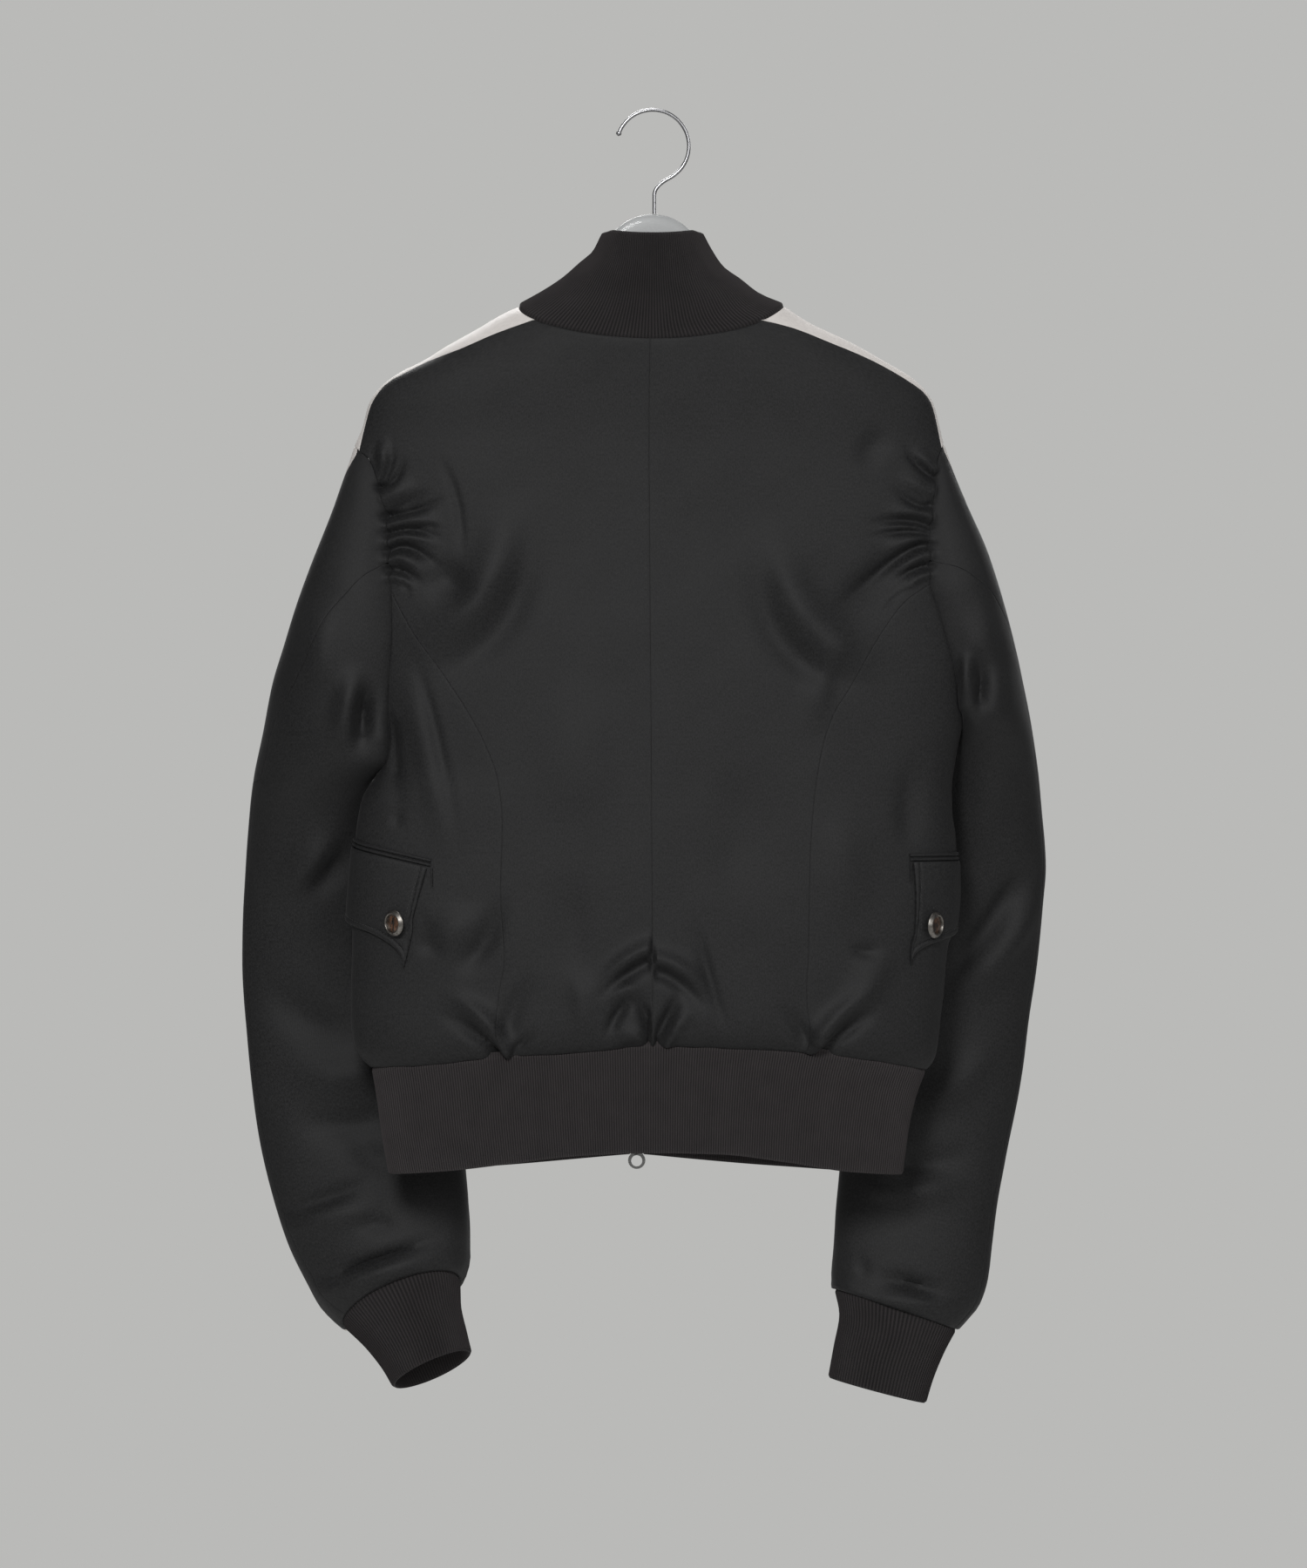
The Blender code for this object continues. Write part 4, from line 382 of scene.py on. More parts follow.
def mix(a, b, t):
    # from a to b as t goes from 0 to 1
    return a + (b - a) * t


def runAlong(line):
    # how far along the line each of its points is
    steps = np.linalg.norm(np.diff(line, axis=0), axis=1)
    return np.concatenate([[0.0], np.cumsum(steps)])


def pointsAt(at, run, line):
    # the places on a line at these lengths along it
    return np.stack([np.interp(at, run, line[:, axis]) for axis in range(3)], -1)


def ripples(a, b, length, seed):
    # five long sine waves at fixed odd angles, so that no stretch of cloth is quite even
    total = 0.0
    for number in range(5):
        angle = seed + 2.4 * number
        wave = length * (0.7 + 0.23 * number)
        total = total + np.sin((a * math.cos(angle) + b * math.sin(angle)) * fullTurn / wave
                               + seed * number)
    return total / 5


# meshes
def wallParts(outer, inner, uv, closed=False):
    # two grids of points as the two faces of a wall, joined at their edges
    rows, cols = outer.shape[:2]
    count = rows * cols
    index = np.arange(count).reshape(rows, cols)
    if closed:
        index = np.concatenate([index, index[:, :1]], axis=1)
    quads = np.stack([index[:-1, :-1], index[:-1, 1:], index[1:, 1:], index[1:, :-1]], -1)
    quads = quads.reshape(-1, 4)
    faces = [quads, quads[:, ::-1] + count]
    borders = [index[0, ::-1], index[-1]]
    if not closed:
        borders += [index[:, 0], index[::-1, -1]]
    for line in borders:
        a, b = line[:-1], line[1:]
        faces.append(np.stack([a, b, b + count, a + count], -1))
    faces = np.concatenate(faces)
    points = np.concatenate([outer.reshape(-1, 3), inner.reshape(-1, 3)])
    a, b, c = points[quads[:, 0]], points[quads[:, 1]], points[quads[:, 2]]
    outward = (outer - inner).reshape(-1, 3)[quads[:, 0]]
    if (np.cross(b - a, c - a) * outward).sum() < 0:
        faces = faces[:, ::-1]
    return points, faces, np.tile(uv.reshape(-1, 2), (2, 1))


def wallMesh(name, outer, inner, uv, closed=False):
    # one wall as a mesh
    return loadMesh(name, *wallParts(outer, inner, uv, closed))


def joinedWalls(name, walls):
    # several walls in one mesh
    starts = np.cumsum([0] + [len(points) for points, _, _ in walls[:-1]])
    faces = np.concatenate([wall[1] + start for wall, start in zip(walls, starts)])
    return loadMesh(name, np.concatenate([wall[0] for wall in walls]), faces,
                    np.concatenate([wall[2] for wall in walls]))


def ringQuads(rows, cols):
    # the quads of a grid whose last column joins its first
    index = np.arange(rows * cols).reshape(rows, cols)
    nextOne = np.roll(index, -1, axis=1)
    return np.stack([index[:-1], nextOne[:-1], nextOne[1:], index[1:]], -1).reshape(-1, 4)


def remade(mesh, change):
    # the mesh after a change made with bmesh
    work = bmesh.new()
    work.from_mesh(mesh)
    change(work)
    work.to_mesh(mesh)
    work.free()


def turnOutwards(work):
    bmesh.ops.recalc_face_normals(work, faces=work.faces)


def loadMesh(name, points, faces, uv=None):
    # points in millimetres, with the cloth's UV map in metres
    mesh = bpy.data.meshes.new(name)
    mesh.from_pydata((points * mm).tolist(), [], faces.tolist())
    if uv is not None:
        corner = np.zeros(len(mesh.loops), dtype=np.int32)
        mesh.loops.foreach_get("vertex_index", corner)
        layer = mesh.uv_layers.new(name="cloth")
        layer.data.foreach_set("uv", (uv[corner] * mm).ravel())
    mesh.shade_smooth()
    mesh.set_sharp_from_angle(angle=math.radians(58))
    return mesh


def addPiece(name, mesh, look, node=None, rides="jacket"):
    # a finished piece, in its slot, in place of the CAD node that it dresses
    piece = bpy.data.objects.new(name, mesh)
    mesh.materials.append(finish[look])
    bpy.context.collection.objects.link(piece)
    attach(piece, rides)
    if node:
        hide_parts(node)
    return piece


def gridNormals(grid, outward, closed=False):
    # across and along the grid by differences, turned to the side that outward gives
    if closed:
        across = np.roll(grid, -1, axis=1) - np.roll(grid, 1, axis=1)
    else:
        across = np.gradient(grid, axis=1)
    found = unit(np.cross(across, np.gradient(grid, axis=0)))
    return found * np.sign((found * outward).sum())


def edgeGaps(grid):
    # how far each point is from the grid's top, bottom, first and last edges, along the grid
    down = np.linalg.norm(np.diff(grid, axis=0), axis=-1)
    over = np.linalg.norm(np.diff(grid, axis=1), axis=-1)
    fromTop = np.concatenate([np.zeros((1, grid.shape[1])), np.cumsum(down, axis=0)])
    fromFirst = np.concatenate([np.zeros((grid.shape[0], 1)), np.cumsum(over, axis=1)], axis=1)
    return {"top": fromTop, "bottom": fromTop[-1:] - fromTop,
            "first": fromFirst, "last": fromFirst[:, -1:] - fromFirst}


# a seam's dip and its width, the gap to the next panel, the dip under the collar and its reach;
# puckers: height, reach, pitch, what they leave clear, and how they waver and come in patches
seamLook = {"dip": 0.18, "width": 0.5, "gap": 0.10, "neck": 0.35, "neckReach": 1.4,
            "pucker": 0.07, "reach": 7.0, "pitch": 8.5, "clear": 1.2, "waver": 17.0,
            "patches": (23.0, 9.0), "stripePuckers": 0.4, "near": (0.14, 0.34)}


def seamed(grid, normal, puckers=1.0):
    # each sewn edge dips by a bell curve, and small puckers run along it and die away
    gaps = edgeGaps(grid)
    height = np.zeros(grid.shape[:2])
    for edge, gap in gaps.items():
        run = gaps["top"] if edge in ("first", "last") else gaps["first"]
        height -= seamLook["dip"] * np.exp(-(gap / seamLook["width"]) ** 2)
        wave = np.sin(run * fullTurn / seamLook["pitch"] + 2 * np.sin(run / seamLook["waver"]))
        long, short = seamLook["patches"]
        patch = ease(0.5 + 1.2 * np.sin(run / long + 1.3) * np.sin(run / short))
        height += (puckers * seamLook["pucker"] * wave * patch * np.exp(-gap / seamLook["reach"])
                   * (1 - np.exp(-(gap / seamLook["clear"]) ** 2)))
    return grid + normal * height[..., None]


def inward(line, inner):
    # from an edge's points towards the next row, square to the edge
    along = unit(np.gradient(line, axis=0))
    step = inner - line
    return unit(step - along * (step * along).sum(axis=-1, keepdims=True))


def trimmed(grid, gap):
    # the grid with its four edges drawn in by the gap
    out = grid.copy()
    out[0] += inward(grid[0], grid[1]) * gap
    out[-1] += inward(grid[-1], grid[-2]) * gap
    out[:, 0] += inward(grid[:, 0], grid[:, 1]) * gap
    out[:, -1] += inward(grid[:, -1], grid[:, -2]) * gap
    return out


def coons(top, bottom, first, last):
    # a net of places between four edges: both straight mixes, less that of the corners
    t = np.linspace(0, 1, len(first))[:, None, None]
    k = np.linspace(0, 1, len(top))[None, :, None]
    corners = ((1 - k) * (1 - t) * first[0] + k * (1 - t) * last[0]
               + (1 - k) * t * first[-1] + k * t * last[-1])
    return ((1 - k) * first[:, None] + k * last[:, None]
            + (1 - t) * top[None] + t * bottom[None] - corners)


def places(girth, down):
    # pairs of girth and level
    return np.stack(np.broadcast_arrays(np.asarray(girth, float), np.asarray(down, float)), -1)


# how much wider a fold's upper side is, the strengths, how much deeper a wide fold is, the
# points along a fold, and the share of it over which a rooted or a free end fades
foldLook = {"gentle": 1.3, "body": 1.75, "sleeve": 2.0, "middling": 4.0, "deeper": 0.15,
            "points": 19, "rootedFade": 0.6, "freeFade": 0.45}


def foldHeight(rows, side, down, strength):
    # each fold follows a bent line through three points; its height falls off across the line
    # by a bell curve, slower on the side that faces up, and fades along it towards free ends
    height = np.zeros(np.broadcast(side, down).shape)
    t = np.linspace(0, 1, foldLook["points"])
    rootedFade, freeFade = foldLook["rootedFade"], foldLook["freeFade"]
    for row in rows:
        sideA, downA, sideB, downB, sideC, downC, width, top, rooted = row
        weight = np.stack([(1 - t) * (1 - 2 * t), 4 * t * (1 - t), t * (2 * t - 1)])
        line = np.array([[sideA, downA], [sideB, downB], [sideC, downC]])
        line = (weight[:, :, None] * line[:, None]).sum(axis=0)
        reach = 3 * width * foldLook["gentle"]
        low, high = line.min(axis=0) - reach, line.max(axis=0) + reach
        near = (side > low[0]) & (side < high[0]) & (down > low[1]) & (down < high[1])
        if not near.any():
            continue
        place = np.stack([side[near], down[near]], -1)[:, None]
        start, step = line[:-1], np.diff(line, axis=0)
        part = np.clip(((place - start) * step).sum(-1) / (step ** 2).sum(-1), 0, 1)
        gap = np.linalg.norm(place - start - part[..., None] * step, axis=-1)
        closest = gap.argmin(axis=1)
        pick = np.arange(len(gap))
        along = (closest + part[pick, closest]) / (len(t) - 1)
        away = place[:, 0] - start[closest]
        way = step[closest, 0] * away[:, 1] - step[closest, 1] * away[:, 0]
        below = way * np.sign(sideC - sideA + 1e-6) * top > 0
        spread = width * np.where(below, 1.0, foldLook["gentle"])
        fade = ease((1 - along) / rootedFade)
        if not rooted:
            fade = ease(along / freeFade) * ease((1 - along) / freeFade)
        deep = strength * top * (width / foldLook["middling"]) ** foldLook["deeper"]
        height[near] += deep * fade * np.exp(-(gap[pick, closest] / spread) ** 2)
    return height


# the body: a flattened oval at each level
body = {
    "roundness": 2.3, "neckTop": 145.4, "neckBackDrop": 25.4, "neckBackCurve": 1.5,
    "neckFrontDrop": 60.0, "neckFrontCurve": 1.6, "tuckDepth": 9.0, "tuckReach": 7.0,
    "zipDrift": 12.0, "driftFrom": 205.0, "driftOver": 560.0, "zipHalf": 5.0, "seamGap": 0.3,
    "wall": 1.3, "girthWidth": 265.0, "foldsEnd": 0.014,
    # height and length of the cloth's long and short waves, and of the gathers over the hem
    "waves": ((0.55, 150.0), (0.22, 46.0)), "gathers": (0.8, 26.0), "gathersReach": 12.0,
    "side": {
        -1: table("down side", [
            (145.4, 100.0), (150.6, 111.2), (163.0, 132.0), (176.6, 156.0), (185.7, 170.3),
            (194.2, 187.9), (201.3, 198.3), (207.2, 204.8), (216.9, 211.3), (237.1, 217.1),
            (248.8, 222.3), (258.0, 225.0), (275.0, 225.0), (300.0, 222.0), (340.0, 219.0),
            (380.0, 216.0), (420.0, 212.0), (450.0, 208.0), (475.0, 204.0), (488.0, 203.0),
            (498.0, 208.0), (509.4, 215.5), (526.3, 219.7), (540.6, 221.7), (576.4, 224.9),
            (601.0, 226.5), (612.0, 224.0), (674.5, 224.9), (696.0, 223.0), (714.0, 219.0),
            (800.0, 219.0)]),
        1: table("down side", [
            (145.4, 98.0), (158.4, 118.3), (171.4, 146.3), (185.7, 172.3), (199.4, 195.0),
            (209.8, 205.4), (217.6, 210.0), (235.1, 214.5), (246.0, 217.0), (258.0, 222.0),
            (275.0, 225.0), (300.0, 226.0), (350.0, 226.0), (377.0, 229.0), (406.0, 232.5),
            (427.0, 234.0), (452.0, 232.5), (470.0, 228.5), (483.0, 226.2), (507.5, 223.2),
            (522.4, 223.6), (540.6, 226.0), (574.0, 226.9), (611.0, 224.0), (622.0, 220.0),
            (656.0, 217.0), (678.0, 214.5), (714.0, 213.0), (800.0, 213.0)])},
    "depth": table("down back front", [
        (145.0, 47, 50), (171.0, 46.5, 50), (190.0, 45, 46), (210.0, 43.3, 41), (250.0, 41, 39),
        (300.0, 41.5, 42), (400.0, 46, 47), (490.0, 49, 50), (600.0, 52, 52), (714.0, 50, 50),
        (800.0, 50, 50)]),
    "hemSeam": table("girth down", [
        (-2.0, 703.0), (-1.5, 708.0), (-1.0, 713.0), (-0.75, 711.0), (-0.5, 704.5),
        (-0.25, 701.5), (0.0, 696.5), (0.25, 698.0), (0.5, 701.0), (0.75, 707.5),
        (1.0, 714.5), (1.5, 709.0), (2.0, 703.0)]),
}
closing = body["zipHalf"] + body["seamGap"] / 2  # from the zip's middle to the cloth
seams = {
    "stripe": {
        -1: table("down side", [
            (155.8, 86.5), (166.9, 118.3), (177.3, 142.4), (186.4, 167.0), (194.2, 182.7),
            (202.6, 198.0), (209.1, 204.1), (219.5, 210.3), (237.1, 215.3), (253.3, 219.0)]),
        1: table("down side", [
            (156.5, 79.0), (160.4, 97.5), (173.4, 132.6), (186.4, 163.8), (202.0, 191.8),
            (210.4, 203.5), (218.9, 208.8), (229.9, 211.8), (251.0, 215.8)])},
    "armhole": {
        -1: table("down side", [
            (253.3, 219.0), (259.2, 211.9), (270.0, 207.0), (282.0, 203.5), (299.5, 198.5),
            (320.3, 196.3), (355.4, 195.0), (389.2, 194.4), (430.8, 197.0), (451.6, 197.5),
            (472.4, 197.5), (484.0, 198.9)]),
        1: table("down side", [
            (251.0, 215.8), (258.0, 213.0), (267.6, 211.3), (290.0, 208.5), (306.6, 207.4),
            (327.4, 205.4), (350.2, 206.0), (376.8, 213.9), (406.0, 221.7), (426.9, 226.5),
            (443.0, 228.0)])},
    "meets": {-1: {"sleeve": 337.8, "princess": 358.6, "armpit": 494.0},
              1: {"sleeve": 335.9, "princess": 352.8, "armpit": 456.0}},
    "princess": {
        -1: table("down side", [
            (358.6, 194.9), (387.2, 179.4), (416.5, 158.6), (447.7, 137.8), (470.4, 125.5),
            (499.7, 115.0), (530.2, 111.8), (584.2, 113.1), (632.3, 110.5), (662.8, 115.0),
            (684.9, 116.0), (712.0, 112.5)]),
        1: table("down side", [
            (352.8, 206.4), (364.5, 189.2), (383.3, 174.2), (406.1, 159.9), (428.8, 147.6),
            (449.6, 134.6), (472.4, 126.8), (497.1, 122.2), (517.9, 119.6), (555.6, 117.0),
            (631.6, 115.7), (653.7, 114.4), (684.9, 117.0), (712.0, 119.0)])},
    "front": table("down girth", [
        (430.0, 1.2), (470.0, 1.30), (520.0, 1.38), (600.0, 1.42), (720.0, 1.44)]),
    "armholeRise": 4.0, "stripeBow": 4.0, "princessEnd": 704.0,
    "lowerParts": (0.0, 0.15, 0.30, 0.44, 0.57, 0.69, 0.80, 0.89, 0.96, 1.0),
    "frontJoins": 5, "frontBlend": 70.0, "backLean": 0.012,
}
# sideA downA sideB downB sideC downC width height rooted; gathers first, then drapes
backFolds = {
    -1: [
        (205, 276, 200, 258, 206, 246, 4.0, 2.4, 0), (204, 281, 195, 261, 199, 244, 2.2, -1.9, 1),
        (204, 281, 191, 273, 185, 255, 2.4, -2.2, 1), (211, 260, 208, 255, 205, 251, 1.6, -1.0, 0),
        (201, 290, 189, 284, 175, 275, 5.0, 2.0, 1), (197, 302, 176, 298, 152, 287, 2.6, -2.8, 1),
        (197, 302, 181, 292, 164, 281, 4.0, -2.0, 1), (196, 309, 176, 305, 154, 309, 3.8, 2.4, 1),
        (196, 315, 176, 313, 153, 322, 2.5, -2.6, 1), (188, 312, 168, 310, 158, 311, 2.2, -1.3, 0),
        (196, 322, 179, 318, 155, 327, 3.6, 2.6, 1), (195, 328, 178, 327, 152, 346, 3.0, -2.9, 1),
        (168, 336, 149, 353, 131, 374, 11.0, -3.0, 0), (195, 335, 181, 336, 164, 355, 4.0, 2.8, 1),
        (195, 342, 184, 344, 170, 354, 2.4, -2.4, 1), (195, 348, 186, 350, 175, 362, 3.0, 2.0, 1),
        (189, 350, 184, 354, 179, 359, 1.8, -1.2, 0), (161, 255, 145, 292, 142, 339, 2.6, -1.2, 0),
        (90, 300, 112, 382, 182, 428, 10.0, -2.6, 0), (110, 280, 126, 358, 188, 404, 14.0, 4.8, 0),
        (179, 400, 159, 472, 143, 560, 3.4, -1.7, 0), (186, 410, 168, 480, 150, 560, 9.0, 1.6, 0),
        (192, 450, 195, 472, 185, 537, 6.0, -2.5, 0), (194, 522, 190, 528, 186, 534, 3.0, -1.4, 0),
        (112, 579, 127, 621, 150, 639, 7.0, -2.8, 0), (136, 586, 149, 612, 168, 622, 12.0, 2.2, 0),
        (176, 614, 164, 622, 149, 619, 4.0, -1.6, 0), (110, 700, 127, 675, 158, 655, 5.5, 4.8, 1),
        (115, 704, 134, 685, 162, 668, 4.0, -4.0, 1), (103, 701, 97, 694, 84, 681, 3.0, -2.6, 1),
        (113, 704, 103, 668, 84, 642, 7.0, -2.0, 1), (0, 624, 22, 635, 50, 663, 5.5, 3.8, 1),
        (0, 632, 22, 645, 44, 669, 4.6, -3.4, 1), (44, 674, 22, 654, 2, 664, 5.5, 2.6, 0),
        (0, 699, 5, 673, 18, 660, 4.0, -4.0, 1), (12, 660, 26, 672, 36, 696, 4.0, -3.4, 0),
        (2, 697, 15, 688, 32, 697, 5.0, 2.2, 0), (66, 630, 52, 666, 60, 698, 8.0, 1.6, 0),
        (70, 560, 60, 610, 62, 660, 14.0, -1.4, 0), (40, 420, 52, 480, 40, 560, 22.0, 1.4, 0)],
    1: [
        (210, 273, 197, 263, 185, 248, 2.4, -2.2, 1), (209, 268, 202, 260, 194, 251, 3.0, 2.2, 1),
        (206, 294, 193, 292, 174, 275, 2.4, -2.0, 1), (208, 284, 196, 279, 181, 266, 5.0, 2.0, 1),
        (206, 310, 186, 305, 156, 309, 3.2, -2.7, 1), (206, 303, 192, 299, 166, 300, 4.4, 2.0, 1),
        (205, 316, 183, 314, 156, 319, 2.5, -2.0, 1), (206, 313, 186, 310, 163, 314, 2.0, 1.3, 1),
        (205, 323, 179, 336, 131, 376, 4.0, -3.4, 1), (189, 327, 166, 351, 127, 379, 12.0, -3.0, 0),
        (205, 320, 189, 321, 166, 333, 4.0, 2.4, 1), (204, 339, 192, 343, 181, 352, 2.4, -2.4, 1),
        (205, 331, 191, 336, 170, 353, 4.0, 2.6, 1), (194, 346, 183, 360, 171, 373, 1.8, -1.3, 0),
        (205, 346, 192, 352, 176, 368, 3.0, 1.8, 1), (178, 236, 163, 251, 149, 266, 8.0, -1.8, 0),
        (92, 296, 116, 382, 182, 406, 13.0, 4.8, 0), (76, 322, 102, 402, 178, 432, 9.0, -2.6, 0),
        (150, 385, 128, 420, 120, 470, 9.0, 2.0, 0), (120, 700, 139, 673, 172, 650, 5.5, 4.8, 1),
        (124, 704, 147, 683, 174, 662, 4.0, -4.0, 1), (120, 703, 110, 684, 90, 662, 5.0, -2.6, 1),
        (0, 632, 22, 640, 50, 666, 5.5, 3.6, 1), (1, 640, 21, 650, 44, 674, 4.6, -3.4, 1),
        (2, 699, 11, 675, 24, 652, 4.2, -4.2, 1), (7, 699, 18, 682, 36, 664, 5.0, 2.4, 1),
        (30, 596, 43, 648, 58, 692, 4.0, -1.8, 0), (146, 621, 158, 626, 172, 620, 4.0, -2.0, 0),
        (176, 618, 160, 652, 140, 676, 10.0, 2.2, 0), (200, 470, 190, 520, 196, 556, 9.0, -1.6, 0),
        (150, 500, 140, 560, 150, 620, 14.0, 1.4, 0), (60, 480, 66, 540, 56, 600, 20.0, -1.4, 0)],
}
frontFolds = {
    -1: [
        (196, 300, 178, 306, 150, 322, 5.0, -2.4, 1), (197, 314, 176, 324, 148, 350, 6.0, 2.4, 1),
        (196, 332, 172, 352, 140, 400, 9.0, -2.6, 1), (190, 330, 160, 372, 110, 470, 16.0, 3.0, 0),
        (60, 250, 88, 330, 160, 420, 15.0, -3.0, 0), (30, 640, 58, 664, 110, 690, 8.0, 2.8, 0),
        (24, 660, 44, 684, 80, 698, 6.0, -2.4, 0), (60, 520, 78, 590, 70, 660, 14.0, -2.4, 0),
        (120, 702, 132, 688, 150, 672, 4.0, -3.0, 1), (180, 420, 164, 480, 150, 560, 7.0, 2.0, 0)],
    1: [
        (205, 296, 184, 304, 156, 318, 5.0, -2.4, 1), (205, 312, 180, 322, 150, 344, 6.0, 2.4, 1),
        (196, 320, 158, 366, 120, 450, 16.0, 3.0, 0), (50, 260, 78, 340, 150, 430, 15.0, -3.0, 0),
        (110, 660, 70, 676, 30, 660, 8.0, 2.8, 0), (96, 690, 60, 690, 26, 676, 5.0, -2.4, 0),
        (80, 500, 72, 570, 90, 640, 14.0, -2.4, 0), (112, 703, 126, 690, 146, 676, 4.0, -3.0, 1),
        (190, 440, 176, 500, 166, 570, 8.0, 1.8, 0)],
}


def oval(angle):
    # a superellipse's two parts, across and in depth
    power = 2 / body["roundness"]
    return np.abs(np.sin(angle)) ** power, np.abs(np.cos(angle)) ** power


def quarterTable(width=215.0, depth=47.0, count=721):
    # the oval's angles at even lengths from the centre line to the side
    angle = np.linspace(0, halfTurn / 2, count)
    s, c = oval(angle)
    run = np.concatenate([[0.0], np.cumsum(np.hypot(np.diff(width * s), np.diff(depth * c)))])
    return run / run[-1], angle


quarterPart, quarterAngle = quarterTable()


def girthAt(ratio):
    # the girth at a share of the half width
    angle = np.arcsin(np.clip(ratio, 0.0, 1.0) ** (body["roundness"] / 2))
    return np.interp(angle, quarterAngle, quarterPart)


def bodySide(side, down):
    # the body's half width at a level
    return read(body["side"][side], "side", down)


def seamGirth(side, rows, down):
    # a seam's girth at a level, from its place seen from behind
    return girthAt(read(rows, "side", down) / bodySide(side, down))


def ovalAt(girth):
    # the two parts of the oval's place at a girth, and which of them is the front
    across = np.abs(girth)
    front = across > 1
    share = np.where(front, 2 - across, across)
    s, c = oval(np.interp(np.abs(share), quarterPart, quarterAngle))
    return s * np.sign(girth) * np.sign(share), c * np.where(front, 1.0, -1.0), front


def neckDown(girth):
    # the collar's seam: it drops from the side to the centre back, and further to the front
    s, _, front = ovalAt(girth)
    out = np.abs(s) ** (body["roundness"] / 2)
    ahead = body["neckFrontDrop"] * (1 - out) ** body["neckFrontCurve"]
    behind = body["neckBackDrop"] * (1 - out ** body["neckBackCurve"])
    return body["neckTop"] + np.where(front, ahead, behind)


def hemDown(girth):
    # the level of the hem's seam
    return read(body["hemSeam"], "down", girth)


def drift(girth, down):
    # how far the front closing hangs to one side
    front = ease((np.abs(girth) - 1) / 0.9)
    return -body["zipDrift"] * ease((down - body["driftFrom"]) / body["driftOver"]) * front


def bodyBase(girth, down):
    # half width times one part of the oval, depth times the other, less the tuck at the hem
    girth, down = np.broadcast_arrays(np.asarray(girth, float), np.asarray(down, float))
    side = np.where(girth < 0, bodySide(-1, down), bodySide(1, down))
    s, c, front = ovalAt(girth)
    tuck = body["tuckDepth"] * np.exp(-np.maximum(hemDown(girth) - down, 0) / body["tuckReach"])
    depth = np.where(front, read(body["depth"], "front", down), read(body["depth"], "back", down))
    return np.stack([(side - tuck) * s + drift(girth, down), (depth - tuck) * c, -down], -1)


def surfaceNormals(surface, u, v, outward, du=0.004, dv=0.5):
    # square to small steps along both parameters
    found = unit(np.cross(surface(u + du, v) - surface(u - du, v),
                          surface(u, v + dv) - surface(u, v - dv)))
    return found * np.sign((found * outward).sum())


def bodyHeight(girth, point):
    # the listed folds, a gentle unevenness, and shallow gathers along the hem's seam
    across, side, down = np.abs(girth), np.abs(point[..., 0]), -point[..., 2]
    height = np.zeros(side.shape)
    for way in sides:
        back = foldHeight(backFolds[way], side, down, foldLook["body"])
        front = foldHeight(frontFolds[way], side, down, foldLook["body"])
        back, front = back * ease((1.0 - across) / 0.12), front * ease((across - 1.0) / 0.25)
        height = np.where(np.sign(girth) == way, np.where(across < 1, back, front), height)
    height = height * ease(np.minimum(across, 2 - across) / body["foldsEnd"])
    run = girth * body["girthWidth"]
    for (high, length), seed in zip(body["waves"], (1.3, 4.1)):
        height = height + high * ripples(run, down, length, seed)
    rise = np.exp(-np.maximum(hemDown(girth) - down, 0) / body["gathersReach"])
    high, length = body["gathers"]
    return height + high * rise * ripples(run, down * 0.3, length, 2.2)


def bodyPoints(girth, down):
    # the body with its folds, and the way out from it
    point = bodyBase(girth, down)
    normal = surfaceNormals(bodyBase, girth, down, point * np.array([1.0, 3.0, 0.0]))
    return point + normal * bodyHeight(girth, point)[..., None], normal


# the body's panels
fineness = {"stripe": 22, "gathers": 84, "yoke": 14, "lower": 5, "princess": 104,
            "backColumns": 92, "backCrowding": 1.35, "frontColumns": 56, "sideCrowding": 1.3,
            "stripeColumns": 18, "stripeCrowding": 1.15, "frontStep": 3, "hemCrowding": 0.45}


def spans(grid):
    # the grid's widest row and longest column, and its area as the sum of its quads
    down = np.diff(grid, axis=0)
    over = np.diff(grid, axis=1)
    width = np.linalg.norm(over, axis=-1).sum(axis=1).max()
    length = np.linalg.norm(down, axis=-1).sum(axis=0).max()
    area = np.linalg.norm(np.cross(over[:-1], down[:, :-1]), axis=-1).sum()
    return width, length, area


def edged(net):
    # two more rows and columns close to each edge, for a narrow seam
    for axis in (0, 1):
        last = net.shape[axis] - 1
        near = np.array(seamLook["near"])
        at = np.concatenate([[0.0], near, np.arange(1, last), last - near[::-1], [last]])
        low = np.minimum(at.astype(int), last - 1)
        share = (at - low).reshape((-1, 1, 1) if axis == 0 else (1, -1, 1))
        net = mix(net.take(low, axis=axis), net.take(low + 1, axis=axis), share)
    return net


def declareCloth(piece, grid):
    # the panel's own width, length and area, with the cloth that its folds take up, worked out and
    # then not used
    width, length, area = spans(grid)
    width, length, area = width * mm, length * mm, area * mm * mm
    round(min(area, width * length * 0.999), 5)


def armholeLevels(side):
    # levels down the armhole: close together at the gathers, then fewer to the armpit
    top, meets = seams["armhole"][side]["down"][0], seams["meets"][side]
    gathers = np.linspace(top, meets["sleeve"], fineness["gathers"] + 1)
    yoke = np.linspace(meets["sleeve"], meets["princess"], fineness["yoke"] + 1)[1:]
    parts = np.array(seams["lowerParts"])
    steps = np.linspace(0, len(parts) - 1, (len(parts) - 1) * fineness["lower"] + 1)
    lower = mix(meets["princess"], meets["armpit"], np.interp(steps, range(len(parts)), parts))
    return np.concatenate([gathers, yoke]), lower[1:]


def armholeGirth(side, down):
    # the armhole starts and ends at the side
    rows = seams["armhole"][side]
    along = np.concatenate([[rows["down"][0] - seams["armholeRise"]], rows["down"],
                            [seams["meets"][side]["armpit"]]])
    return smooth(along, np.concatenate([[1.0], seamGirth(side, rows, rows["down"]), [1.0]]), down)


